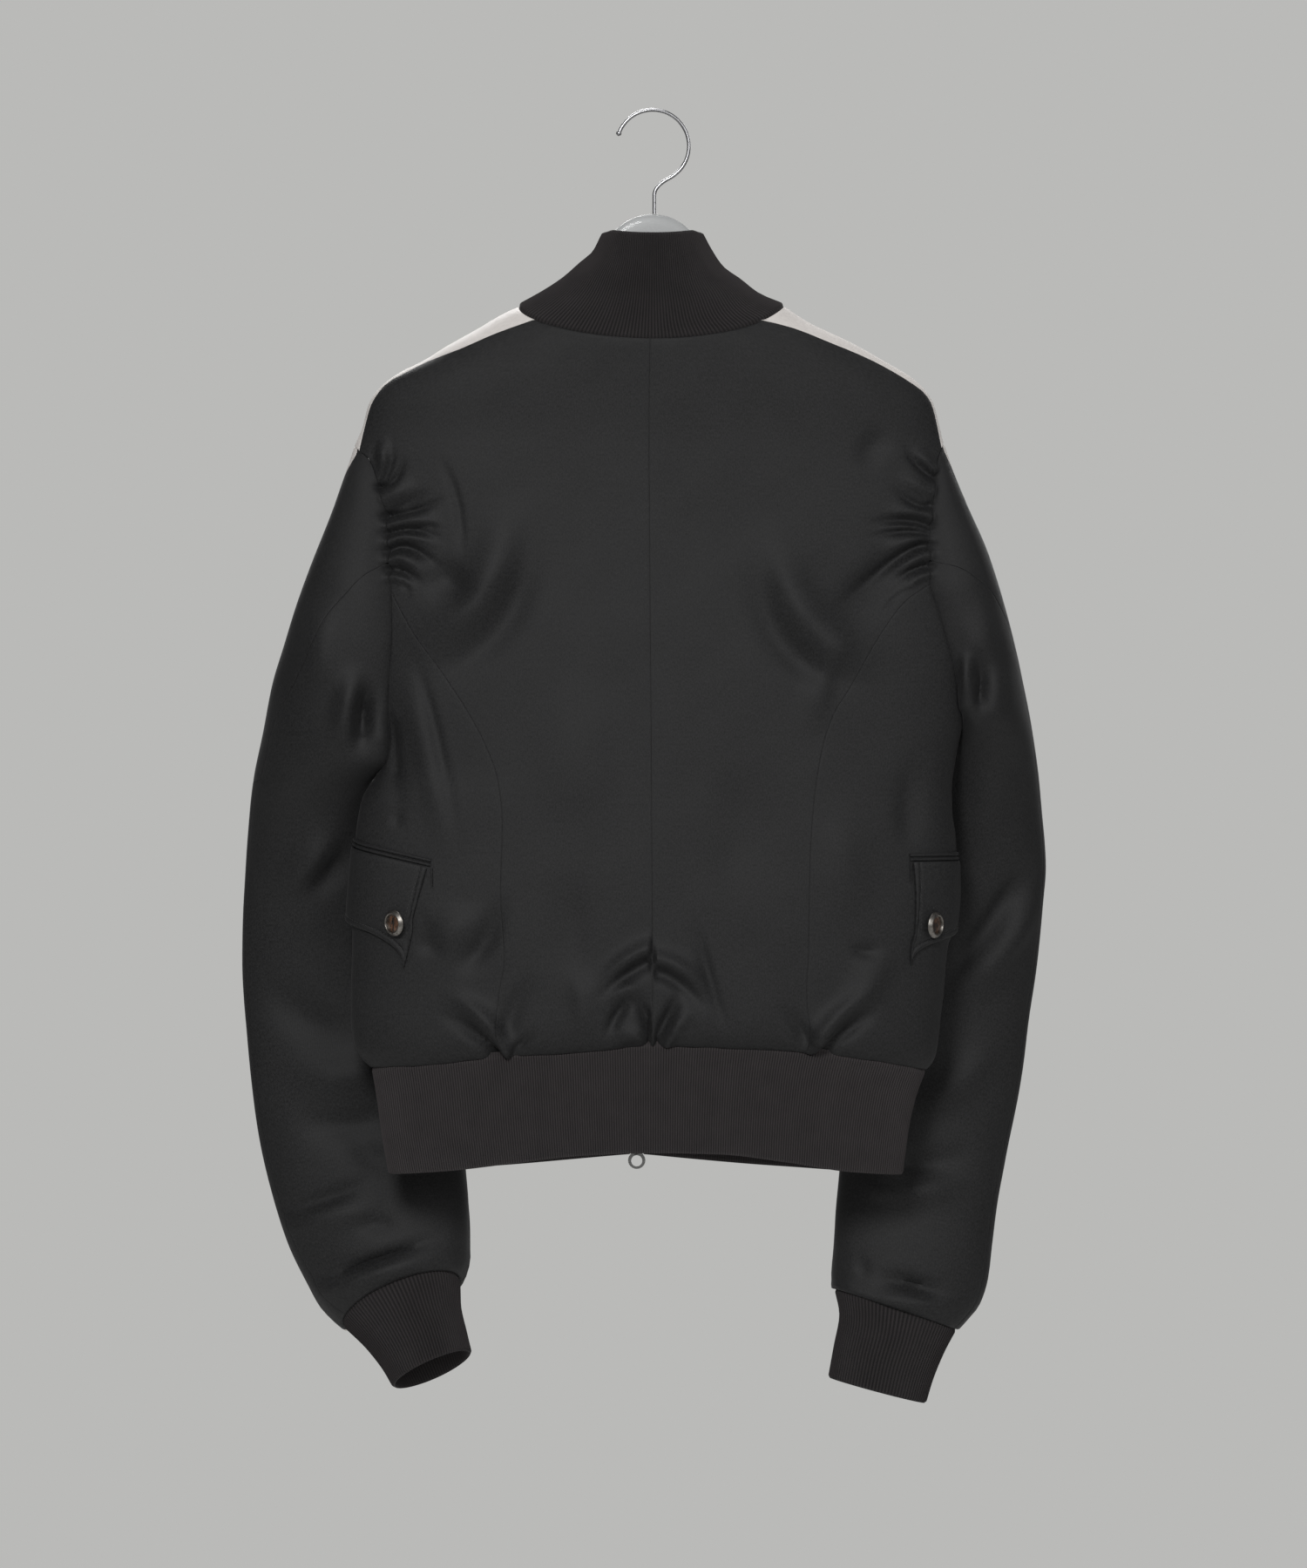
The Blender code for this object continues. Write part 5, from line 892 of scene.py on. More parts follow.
def stripeEdge(side, front=False):
    # the shoulder stripe's seam; the one in front mirrors the one behind
    rows = seams["stripe"][side]

    def girth(down):
        found = seamGirth(side, rows, down)
        return 2 - found if front else found

    start = rows["down"][0]
    for _ in range(30):  # settles where the edge meets the collar's seam
        start = float(neckDown(girth(start)))
    down = mix(start, rows["down"][-1], np.linspace(0, 1, fineness["stripe"] + 1)
               ** fineness["stripeCrowding"])
    return places(girth(down), down)


def towardsHem(start, end):
    # levels from one to the other, closer together near the hem
    t = np.linspace(0, 1, fineness["princess"] + 1)
    return mix(start, end, t * (1 + fineness["hemCrowding"] * (1 - t)))


def princessSeam(side):
    # from the armhole down the back to the hem
    rows = seams["princess"][side]
    start = seams["meets"][side]["princess"]
    endGirth = float(seamGirth(side, rows, seams["princessEnd"]))
    down = towardsHem(start, float(hemDown(side * endGirth)))
    return places(seamGirth(side, rows, down), down)


def frontSeamStep():
    return seams["frontJoins"] * fineness["lower"] - 1


def frontSeam(side):
    # from the armhole down the front to the hem, easing away from the armhole
    start = armholeLevels(side)[1][frontSeamStep()]
    endGirth = seams["front"]["girth"][-1]
    down = towardsHem(start, float(hemDown(side * endGirth)))
    join = 1 - ease((down - start) / seams["frontBlend"])
    girth = mix(read(seams["front"], "girth", down), 2 - float(armholeGirth(side, start)), join)
    return places(girth, down)


def zipEdge(side, down):
    # the girth of the cloth's edge beside the zip
    return 2 - girthAt(closing / bodySide(side, down))


def frontCorner(side):
    # where the zip's edge meets the collar's seam, found in a few rounds
    down = body["neckTop"] + body["neckFrontDrop"]
    for _ in range(10):
        down = float(neckDown(zipEdge(side, down)))
    return float(zipEdge(side, down)), down


def signed(net, side):
    # the left half has negative girths
    return net * np.array([side, 1.0])


def backNet(side):
    # from stripe, armhole and princess seam to the centre back, with columns crowded outwards
    fine = armholeLevels(side)[0]
    armhole = places(armholeGirth(side, fine), fine)
    outer = np.concatenate([stripeEdge(side), armhole[1:], princessSeam(side)[1:]])
    part = (outer[:, 1] - outer[0, 1]) / (outer[-1, 1] - outer[0, 1])
    lean = -side * seams["backLean"] * (1 - ease(part))
    middle = places(lean, mix(float(neckDown(0.0)), float(hemDown(0.0)), part))
    k = np.linspace(0, 1, fineness["backColumns"] + 1)
    neck, hem = mix(outer[0, 0], lean[0], k), mix(outer[-1, 0], 0.0, k)
    top = places(neck, neckDown(neck * side))
    top[0], middle[0] = outer[0], top[-1]
    net = coons(top, places(hem, hemDown(hem * side)), outer, middle)
    crowded = k ** fineness["backCrowding"] * (len(k) - 1)
    low = np.minimum(crowded.astype(int), len(k) - 2)
    return signed(mix(net[:, low], net[:, low + 1], (crowded - low)[None, :, None]), side)


def sideNet(side):
    # from the back's princess seam, under the armhole, to the front's seam
    fine, lower = armholeLevels(side)
    start = places(armholeGirth(side, fine[-1:]), fine[-1:])
    up = lower[frontSeamStep():-1][::-1]
    top = np.concatenate([start, places(armholeGirth(side, lower), lower),
                          places(2 - armholeGirth(side, up), up)])
    first, last = princessSeam(side), frontSeam(side)
    first[0], last[0] = top[0], top[-1]
    toBack = np.linspace(1, 0, len(lower) + 1) ** fineness["sideCrowding"]
    toFront = np.linspace(0, 1, len(up) + 1)[1:] ** fineness["sideCrowding"]
    girth = np.concatenate([1 - (1 - first[-1, 0]) * toBack, 1 + (last[-1, 0] - 1) * toFront])
    return signed(coons(top, places(girth, hemDown(girth * side)), first, last), side)


def frontNet(side):
    # from stripe, armhole and front seam to the zip
    fine, lower = armholeLevels(side)
    levels = np.concatenate([fine[::-fineness["frontStep"]][::-1], lower[:frontSeamStep() + 1]])
    levels = levels[levels > fine[0] + 0.5]
    armhole = places(2 - armholeGirth(side, levels), levels)
    outer = np.concatenate([stripeEdge(side, True), armhole, frontSeam(side)[1:]])
    edge, start = frontCorner(side)
    part = (outer[:, 1] - outer[0, 1]) / (outer[-1, 1] - outer[0, 1])
    down = mix(start, float(hemDown(edge * side)), part)
    middle = places(zipEdge(side, down), down)
    k = np.linspace(0, 1, fineness["frontColumns"] + 1)
    neck, hem = mix(outer[0, 0], middle[0, 0], k), mix(outer[-1, 0], middle[-1, 0], k)
    top, bottom = places(neck, neckDown(neck * side)), places(hem, hemDown(hem * side))
    top[0], top[-1], bottom[-1] = outer[0], middle[0], middle[-1]
    return signed(coons(top, bottom, outer, middle), side)


def stripeNet(side):
    # over the shoulder, with a lower edge that bows up in the middle
    back, front = stripeEdge(side), stripeEdge(side, True)
    k = np.linspace(0, 1, fineness["stripeColumns"] + 1)
    neck = mix(back[0, 0], front[0, 0], k)
    top = places(neck, neckDown(neck * side))
    top[0], top[-1] = back[0], front[0]
    bow = seams["stripeBow"] * np.sin(halfTurn * k)
    bottom = places(mix(back[-1, 0], front[-1, 0], k), back[-1, 1] - bow)
    return signed(coons(top, bottom, back, front), side)


def addPanel(name, net, look, node, puckers=1.0, neck=seamLook["neck"]):
    # the net's places on the body, dipped at the seams and more under the collar's edge; the
    # wall behind them meets the next panel's, so that nothing shows through a seam's groove
    net = edged(net)
    whole, normal = bodyPoints(net[..., 0], net[..., 1])
    point = seamed(trimmed(whole, seamLook["gap"]), normal, puckers)
    under = neck * np.exp(-(edgeGaps(whole)["top"] / seamLook["neckReach"]) ** 2)
    point = point - normal * under[..., None]
    uv = np.stack([net[..., 0] * body["girthWidth"], -net[..., 1]], -1)
    mesh = wallMesh(name, point, whole - normal * body["wall"], uv)
    declareCloth(addPiece(name, mesh, look, node), point)


for side, word in sides.items():
    addPanel("back_cloth_" + word, backNet(side), "jersey", "back_" + word)
    addPanel("side_cloth_" + word, sideNet(side), "jersey", "side_" + word, neck=0.0)
    addPanel("front_cloth_" + word, frontNet(side), "jersey", "front_" + word)
    addPanel("shoulder_stripe_cloth_" + word, stripeNet(side), "white",
             "shoulder_stripe_" + word, seamLook["stripePuckers"])
print("the body's panels are made")

# the sleeves
sleeve = {
    # clear of the body below the armpit; closing and fading over these lengths round the armpit
    "clear": 4.0, "closing": 50.0, "fade": 26.0, "girthWidth": 300.0, "rows": 88,
    # height and length of the waves and of the gathers over the cuff, where the cloth hangs over
    "waves": ((0.6, 120.0), (0.22, 42.0)), "gathers": (1.1, 24.0), "gathersReach": 15.0,
    "overhang": 4.2, "frontFolds": 0.8, "joinReach": 9.0,
    "drawn": (0.04, 6.0),  # how much the cloth is drawn in at the head, and how fast that ends
    "near": (2.0, 4.0, 6.5, 9.0, 12.0, 15.0, 18.5, 22.0, 26.0, 31.0, 36.0),
    "columns": {"under": 34, "top": 22, "stripe": 10, "front": 34},
    "section": {
        -1: table("level outer outer_down inner inner_down middle depth tilt", [
            (253.3, 222.5, 249.8, 190.0, 249.8, 0.0, 14.0, 0.0),
            (266.3, 228.0, 266.3, 182.0, 266.3, 0.0, 22.0, 0.0),
            (300.1, 240.2, 300.1, 174.0, 300.1, 1.0, 30.0, 0.0),
            (341.7, 256.4, 341.7, 170.0, 341.7, 4.0, 35.0, 0.0),
            (372.9, 267.4, 372.9, 172.0, 372.9, 8.0, 39.0, 0.0),
            (399.6, 275.8, 399.6, 176.0, 399.6, 14.0, 42.0, 0.0),
            (426.9, 284.3, 426.9, 184.0, 426.9, 22.0, 44.0, 0.0),
            (462.0, 291.4, 462.0, 196.0, 462.0, 34.0, 45.0, 0.0),
            (494.0, 298.2, 494.0, 203.0, 494.0, 46.0, 42.0, 0.0),
            (524.4, 302.6, 524.4, 203.0, 522.0, 56.0, 38.0, 0.0),
            (555.6, 305.5, 555.6, 196.0, 552.0, 64.0, 35.0, 0.0),
            (596.5, 308.1, 596.5, 182.0, 592.0, 72.0, 32.0, 0.0),
            (631.6, 308.8, 631.6, 172.0, 626.0, 77.0, 30.0, 0.0),
            (663.5, 307.5, 663.5, 164.0, 658.0, 79.0, 29.0, 0.0),
            (717.4, 302.9, 717.4, 154.0, 706.0, 79.0, 28.0, 0.0),
            (764.9, 296.4, 764.9, 146.0, 749.0, 78.0, 28.0, 1.0),
            (803.9, 288.0, 803.9, 141.5, 784.0, 76.0, 28.5, 4.0),
            (846.8, 275.0, 846.8, 138.5, 818.0, 73.0, 29.0, 8.0),
            (877.3, 259.7, 877.3, 137.5, 841.0, 70.0, 29.0, 12.0),
            (894.0, 249.0, 894.0, 138.0, 857.0, 68.0, 28.5, 15.0),
            (906.2, 232.5, 906.2, 145.5, 875.0, 65.5, 26.5, 18.0)]),
        1: table("level outer outer_down inner inner_down middle depth tilt", [
            (251.0, 217.5, 248.4, 190.0, 248.4, 0.0, 14.0, 0.0),
            (270.0, 225.0, 270.0, 180.0, 270.0, 0.0, 23.0, 0.0),
            (291.0, 233.6, 291.0, 176.0, 291.0, 1.0, 28.0, 0.0),
            (330.7, 251.0, 330.7, 174.0, 330.7, 4.0, 34.0, 0.0),
            (371.0, 263.4, 371.0, 182.0, 371.0, 9.0, 38.0, 0.0),
            (404.1, 271.9, 404.1, 196.0, 404.1, 16.0, 41.0, 0.0),
            (430.0, 277.6, 430.0, 212.0, 430.0, 26.0, 43.0, 0.0),
            (456.0, 283.0, 456.0, 222.0, 456.0, 38.0, 43.0, 0.0),
            (493.2, 289.5, 493.2, 213.0, 492.0, 55.0, 41.0, 0.0),
            (520.0, 292.5, 520.0, 205.0, 518.0, 63.0, 38.0, 0.0),
            (545.2, 294.7, 545.2, 197.0, 542.0, 68.0, 36.0, 0.0),
            (566.0, 295.6, 566.0, 190.0, 562.0, 72.0, 34.0, 0.0),
            (596.5, 293.2, 596.5, 180.0, 592.0, 76.0, 32.0, 0.0),
            (631.6, 290.0, 631.6, 170.0, 626.0, 79.0, 30.5, 0.0),
            (667.4, 285.0, 667.4, 162.0, 660.0, 80.0, 29.5, 0.0),
            (734.3, 275.6, 734.3, 150.0, 722.0, 80.0, 28.5, 0.0),
            (786.3, 265.2, 786.3, 143.0, 770.0, 78.0, 28.5, 0.0),
            (814.9, 259.6, 814.9, 140.0, 796.0, 76.0, 28.5, 0.0),
            (846.1, 255.6, 846.1, 137.5, 824.0, 73.0, 28.5, 0.0),
            (872.8, 252.2, 872.8, 136.0, 848.0, 70.0, 28.5, 0.0),
            (893.0, 245.5, 893.0, 135.0, 866.0, 68.0, 28.0, 0.0),
            (911.5, 227.5, 911.5, 137.5, 881.0, 65.5, 26.5, 1.0)])},
    "backSeam": {
        -1: table("down side", [
            (337.8, 199.0), (346.3, 214.5), (360.6, 228.8), (374.9, 241.2), (406.1, 256.1),
            (435.3, 272.4), (456.1, 282.8), (482.8, 289.5), (499.7, 293.5)]),
        1: table("down side", [
            (335.9, 207.0), (339.8, 226.2), (348.2, 240.5), (359.3, 252.9), (371.0, 259.5),
            (385.3, 266.0), (402.0, 269.8)])},
    "seamBelow": table("level part", [(400.0, 0.45), (520.0, 0.455), (920.0, 0.44)]),
    "stripe": table("after_top back front", [
        (0.0, 0.14, 0.86), (9.0, 0.34, 0.92), (22.0, 0.50, 0.90), (46.0, 0.53, 0.79),
        (90.0, 0.545, 0.72), (150.0, 0.56, 0.69), (240.0, 0.56, 0.66), (330.0, 0.56, 0.655),
        (680.0, 0.56, 0.66)]),
}
sleeveFolds = {
    -1: [
        (208, 424, 214, 452, 219, 486, 6.5, -6.5, 0), (219, 410, 227, 445, 230, 478, 7.0, 3.6, 0),
        (222, 544, 240, 566, 262, 590, 7.0, -3.0, 0), (236, 530, 256, 560, 284, 590, 10.0, 3.2, 0),
        (262, 876, 210, 858, 150, 838, 3.2, -3.2, 0), (262, 888, 206, 869, 148, 848, 6.5, 3.0, 0),
        (226, 838, 208, 831, 188, 842, 5.0, -1.8, 0), (284, 822, 248, 813, 206, 796, 4.6, -2.6, 0),
        (284, 834, 240, 827, 194, 812, 9.0, 2.2, 0), (180, 740, 224, 756, 275, 750, 10.0, -2.8, 0),
        (190, 700, 232, 722, 286, 708, 12.0, 2.6, 0), (290, 640, 262, 676, 214, 690, 12.0, -2.2, 0),
        (236, 360, 246, 400, 240, 440, 12.0, 2.0, 0), (232, 762, 206, 782, 168, 790, 9.0, -2.0, 0)],
    1: [
        (229, 400, 234, 420, 232, 442, 5.0, 3.5, 0), (238, 395, 246, 430, 240, 458, 6.5, -5.5, 0),
        (288, 552, 258, 600, 216, 656, 8.0, -4.0, 0), (292, 575, 266, 622, 226, 676, 10.0, 3.2, 0),
        (164, 870, 196, 877, 226, 888, 4.6, -3.2, 0), (160, 884, 196, 890, 236, 894, 6.0, 2.6, 0),
        (152, 855, 158, 864, 164, 873, 2.4, -1.6, 0),
        (150, 800, 192, 808, 240, 800, 9.0, 2.8, 0), (160, 770, 200, 786, 250, 772, 9.0, -2.4, 0),
        (240, 360, 246, 395, 236, 430, 10.0, 1.8, 0), (262, 690, 230, 726, 196, 742, 11.0, 2.4, 0),
        (270, 480, 250, 520, 232, 560, 12.0, 1.8, 0)],
}


def sectionPoint(rows, level, angle):
    # an oval between an inner and an outer edge; the tilt hangs its back above its front
    outer, inner = read(rows, "outer", level), read(rows, "inner", level)
    outerDown, innerDown = read(rows, "outer_down", level), read(rows, "inner_down", level)
    out = -np.cos(angle)
    down = (outerDown + innerDown) / 2 + (outerDown - innerDown) / 2 * out
    down = down - read(rows, "tilt", level) * np.sin(angle)
    y = read(rows, "middle", level) - read(rows, "depth", level) * np.sin(angle)
    return np.stack([(outer + inner) / 2 + (outer - inner) / 2 * out, y, -down], axis=-1)


def sleeveBase(side, part, level):
    # the oval, open towards the armhole and drawn to its edges, closed below the armpit
    part, level = np.broadcast_arrays(np.asarray(part, float), np.asarray(level, float))
    rows, armpit = sleeve["section"][side], seams["meets"][side]["armpit"]
    outer, inner = read(rows, "outer", level), read(rows, "inner", level)
    part = np.where((level > armpit - 1) & ((part < 0) | (part > 1)), part % 1.0, part)
    girth = armholeGirth(side, np.minimum(level, armpit))
    mirror = np.array([side, 1.0, 1.0])
    apart = np.stack([sleeve["clear"] * ease((level - armpit) / 10.0)] + [level * 0] * 2, -1)
    back = bodyBase(side * girth, level) * mirror + apart
    front = bodyBase(side * (2 - girth), level) * mirror + apart
    ratio = ((outer + inner) / 2 - back[..., 0]) / ((outer - inner) / 2)
    opening = np.arccos(np.clip(ratio, -1.0, 1.0))
    opening = opening * (1 - ease((level - armpit + sleeve["closing"]) / sleeve["closing"]))
    point = sectionPoint(rows, level, opening + (fullTurn - 2 * opening) * part)
    below = np.exp(-np.maximum(level - armpit, 0) / sleeve["fade"])[..., None]
    pullBack = np.clip(1 - 2 * part, 0, None)[..., None] ** 2
    pullFront = np.clip(2 * part - 1, 0, None)[..., None] ** 3
    point = point + (back - sectionPoint(rows, level, opening)) * pullBack * below
    finishing = sectionPoint(rows, level, fullTurn - opening)
    return (point + (front - finishing) * pullFront * below) * mirror


def sleevePoints(side, part, level):
    # folds on both faces, a gentle unevenness, and gathers that die away above the cuff
    def surface(u, v):
        return sleeveBase(side, u, v)

    rows = sleeve["section"][side]
    point = surface(part, level)
    middle = sectionPoint(rows, level, np.full(np.shape(level), halfTurn / 2))
    middle = middle * np.array([side, 1.0, 1.0])
    middle[..., 1] = read(rows, "middle", level)
    normal = surfaceNormals(surface, part, level, point - middle)
    place, down = np.abs(point[..., 0]), -point[..., 2]
    behind = ease(part / 0.1) * ease((0.5 - part) / 0.06)
    ahead = ease((part - 0.5) / 0.1) * ease((0.97 - part) / 0.1) * ease((down - 500) / 60)
    height = foldHeight(sleeveFolds[side], place, down, foldLook["sleeve"])
    height = height * (behind + sleeve["frontFolds"] * ahead)
    run, belowHead = part * sleeve["girthWidth"], ease((level - rows["level"][0]) / 40.0)
    for (high, length), seed in zip(sleeve["waves"], (0.7 + side, 3.1)):
        height = height + high * ripples(run, level, length, seed) * belowHead
    rise = np.exp(-(rows["level"][-1] - level) / sleeve["gathersReach"])
    high, length = sleeve["gathers"]
    height = height + high * rise * (1 - rise ** 6) * ripples(run, level * 0.25, length, 2.9)
    height = height + sleeve["overhang"] * rise ** 2 * (1 - rise ** 12)
    height = height * (1 - np.exp(-(np.minimum(np.abs(part), np.abs(1 - part)) / 0.02) ** 2)
                       * (level < seams["meets"][side]["armpit"]))
    return point + normal * height[..., None] + besideFolds(side, part, level), normal


def sleeveSeamPart(side, level):
    # the back seam's place round the sleeve, found from its place seen from behind
    rows, found = sleeve["backSeam"][side], []
    parts = np.linspace(0.0, 0.5, 201)
    for one in level:
        below = float(read(sleeve["seamBelow"], "part", one))
        if one > rows["down"][-1]:
            found.append(below)
            continue
        across = np.abs(sleeveBase(side, parts, np.full(parts.shape, one))[:, 0])
        seen = float(read(rows, "side", one))
        beyond = np.nonzero(across > seen)[0]
        place = parts[-1]
        if len(beyond) and beyond[0] > 0:
            a = beyond[0] - 1
            place = mix(parts[a], parts[a + 1], (seen - across[a]) / (across[a + 1] - across[a]))
        found.append(min(max(place, 0.02), below))
    return np.array(found)


def sleeveLevels(side):
    # the armhole's own levels, then even ones to the cuff; and which level the seam starts at
    fine, lower = armholeLevels(side)
    near = lower[-1] + np.array(sleeve["near"])
    end = sleeve["section"][side]["level"][-1]
    join = int(np.argmin(np.abs(fine - seams["meets"][side]["sleeve"])))
    rest = np.linspace(near[-1], end, sleeve["rows"] + 1)[1:]
    return np.concatenate([fine, lower, near, rest]), join


def besideFolds(side, part, level):
    # how far the body's folds move the armhole, dying away round the sleeve
    armpit = seams["meets"][side]["armpit"]
    girth = armholeGirth(side, np.minimum(level, armpit))
    moved = 0.0
    for gap, onBody in ((part, girth), (1 - part, 2 - girth)):
        near = np.exp(-(np.maximum(gap, 0) * sleeve["girthWidth"] / sleeve["joinReach"]) ** 2)
        base = bodyBase(side * onBody, level)
        moved = moved + (bodyPoints(side * onBody, level)[0] - base) * near[..., None]
    return moved * ease((armpit + 12.0 - level) / 12.0)[..., None]


def alongArmhole(side, levels, way, normal, part):
    # an edge that lies on the armhole dips with the body's own edge there
    girth = armholeGirth(side, levels)
    onBody = bodyPoints(side * (girth if way > 0 else 2 - girth), levels)[1]
    joined = (levels < seams["meets"][side]["armpit"]) & (part < 0.05)
    return np.where(joined[:, None], onBody, normal)


def addSleevePiece(kind, side, levels, first, last):
    # the cloth between two lines down the sleeve, given as parts of the way round it
    look, count = "white" if kind == "stripe" else "jersey", sleeve["columns"][kind]
    k = np.linspace(0, 1, count + 1)[None, :]
    net = edged(np.stack([mix(first[:, None], last[:, None], k),
                          np.repeat(levels[:, None], count + 1, axis=1)], -1))
    part, level = net[..., 0], net[..., 1]
    whole, normal = sleevePoints(side, part, level)
    puckers = seamLook["stripePuckers"] if kind == "stripe" else 1.0
    if kind in ("under", "top"):
        normal[:, 0] = alongArmhole(side, level[:, 0], 1, normal[:, 0], part[:, 0])
    if kind == "front":
        normal[:, -1] = alongArmhole(side, level[:, -1], -1, normal[:, -1], 1 - part[:, -1])
    point = seamed(trimmed(whole, seamLook["gap"]), normal, puckers)
    uv = np.stack([part * sleeve["girthWidth"], -level], -1)
    name = f"sleeve_{kind}_cloth_{sides[side]}"
    mesh = wallMesh(name, point, whole - normal * body["wall"], uv)
    declareCloth(addPiece(name, mesh, look, f"sleeve_{kind}_{sides[side]}"), point)


def addSleeve(side):
    # the under sleeve ends at the back seam, and the stripe lies between top and front
    levels, join = sleeveLevels(side)
    seam = np.zeros(len(levels))
    seam[join:] = sleeveSeamPart(side, levels[join:])
    afterTop = levels - seams["armhole"][side]["down"][0]
    back, front = (read(sleeve["stripe"], name, afterTop) for name in ("back", "front"))
    much, reach = sleeve["drawn"]
    drawn = much * np.exp((levels[0] - levels) / reach)
    addSleevePiece("under", side, levels[join:], 0 * seam[join:], seam[join:])
    addSleevePiece("top", side, levels, np.maximum(seam, drawn), back)
    addSleevePiece("stripe", side, levels, back, front)
    addSleevePiece("front", side, levels, front, 1 - drawn)


for side in sides:
    addSleeve(side)
print("the sleeves are made")

# collar, hem and cuffs: each rib is a rounded ridge
rib = {
    "ridge": 0.95, "wall": 1.6, "near": (0.5, 1.1, 1.8, 2.8), "perRib": 4, "tuck": 4.0,
    "sink": 2.4, "wave": (0.5, 70.0),
    # at the free edge and at the seam: how far it reaches, how much flatter and further in
    "free": {"reach": 1.1, "flat": 0.75, "in": 0.5, "thin": 0.45},
    "sewn": {"reach": 1.4, "flat": 0.6, "in": 0.55},
    # of the bands: ribs round it, rows, height and width of cloth
    "collar": {"ribs": 200, "rows": 14, "height": 90.0, "width": 380.0, "proud": 1.0},
    "hem": {"ribs": 450, "rows": 8, "height": 80.0, "width": 800.0, "proud": 0.0},
    "cuff": {"ribs": 92, "rows": 12, "height": 60.0, "width": 190.0, "proud": 0.0},
}
collarTop = {
    "side": 35.5, "back": 47.0, "front": 54.0, "sideDown": 88.4, "backDown": 92.0,
    "frontDown": 97.0, "upright": 0.72, "corner": 2.2, "crowd": 2.75,
    # how the sides curve in: the share of the way in to the top's width that is still left
    "flare": {-1: table("left share", [(0.0, 0.0), (0.08, 0.035), (0.275, 0.124), (0.42, 0.265),
                                       (0.63, 0.467), (0.77, 0.648), (1.0, 1.0)]),
              1: table("left share", [(0.0, 0.0), (0.08, 0.035), (0.26, 0.120), (0.49, 0.262),
                                      (0.65, 0.460), (0.86, 0.700), (1.0, 1.0)])},
}
hem = {
    "edge": table("girth down", [
        (-2.0, 778.5), (-1.5, 787.0), (-1.0, 792.5), (-0.75, 790.0), (-0.5, 784.0),
        (-0.25, 778.0), (0.0, 776.0), (0.25, 777.0), (0.5, 783.0), (0.75, 790.5),
        (1.0, 793.0), (1.5, 787.5), (2.0, 778.5)]),
    "side": {-1: table("part side", [(0.0, 209.0), (0.25, 205.5), (0.65, 201.0), (1.0, 195.7)]),
             1: table("part side", [(0.0, 203.0), (0.25, 195.5), (0.65, 189.0), (1.0, 185.7)])},
    "depth": table("part depth", [(0.0, 40.5), (0.5, 39.0), (1.0, 37.0)]),
}
cuff = {
    -1: table("part outer outer_down inner inner_down middle depth tilt", [
        (0.0, 232.5, 906.2, 145.5, 875.0, 65.5, 26.5, 18.0),
        (0.35, 215.5, 923.0, 145.0, 892.0, 63.0, 27.5, 14.0),
        (0.7, 202.0, 940.0, 140.5, 912.0, 60.0, 29.0, 11.0),
        (1.0, 194.4, 953.5, 136.5, 929.0, 58.0, 31.0, 9.0)]),
    1: table("part outer outer_down inner inner_down middle depth tilt", [
        (0.0, 227.5, 911.5, 137.5, 881.0, 65.5, 26.5, 1.0),
        (0.35, 217.5, 930.0, 141.0, 900.0, 63.0, 27.5, 0.0),
        (0.7, 209.0, 950.0, 136.5, 925.0, 61.0, 28.5, 0.0),
        (1.0, 204.3, 966.5, 132.8, 947.5, 60.0, 29.5, 0.0)]),
}


def collarBase(girth, part):
    # from the neck's seam to the top edge, curving in and up
    girth, part = np.broadcast_arrays(np.asarray(girth, float), np.asarray(part, float))
    foot = bodyBase(girth, neckDown(girth))
    across = np.abs(girth)
    behind = mix(across, 1 - np.maximum(1 - across, 0) ** collarTop["crowd"], collarTop["upright"])
    ahead = across - collarTop["upright"] * (across - 1) * (2 - across) ** 2
    s, c, front = ovalAt(np.sign(girth) * np.where(across > 1, ahead, behind))
    size = np.abs(s)
    opening = closing / bodySide(1, body["neckTop"])
    frontX = mix(closing, collarTop["side"], np.clip((size - opening) / (1 - opening), 0, 1))
    headX = np.sign(s) * np.where(front, frontX, collarTop["side"] * size)
    headY = np.where(front, collarTop["front"], collarTop["back"]) * c
    endDown = np.where(front, collarTop["frontDown"], collarTop["backDown"])
    headDown = mix(endDown, collarTop["sideDown"], size ** body["roundness"])
    headDown = headDown + collarTop["corner"] * ease((size - 0.8) / 0.2)
    left = np.maximum(1 - part, 0)
    share = np.where(girth < 0, read(collarTop["flare"][-1], "share", left),
                     read(collarTop["flare"][1], "share", left))
    x = headX + (foot[..., 0] - headX) * share
    y = headY + (foot[..., 1] - headY) * left
    return np.stack([x, y, -headDown + (foot[..., 2] + headDown) * left], axis=-1)


def hemBase(girth, part):
    # the same oval from the body's hem seam to the band's lower edge
    girth, part = np.broadcast_arrays(np.asarray(girth, float), np.asarray(part, float))
    side = np.where(girth < 0, read(hem["side"][-1], "side", part),
                    read(hem["side"][1], "side", part))
    s, c, _ = ovalAt(girth)
    down = mix(hemDown(girth), read(hem["edge"], "down", girth), part)
    return np.stack([side * s + drift(girth, down), read(hem["depth"], "depth", part) * c,
                     -down], axis=-1)


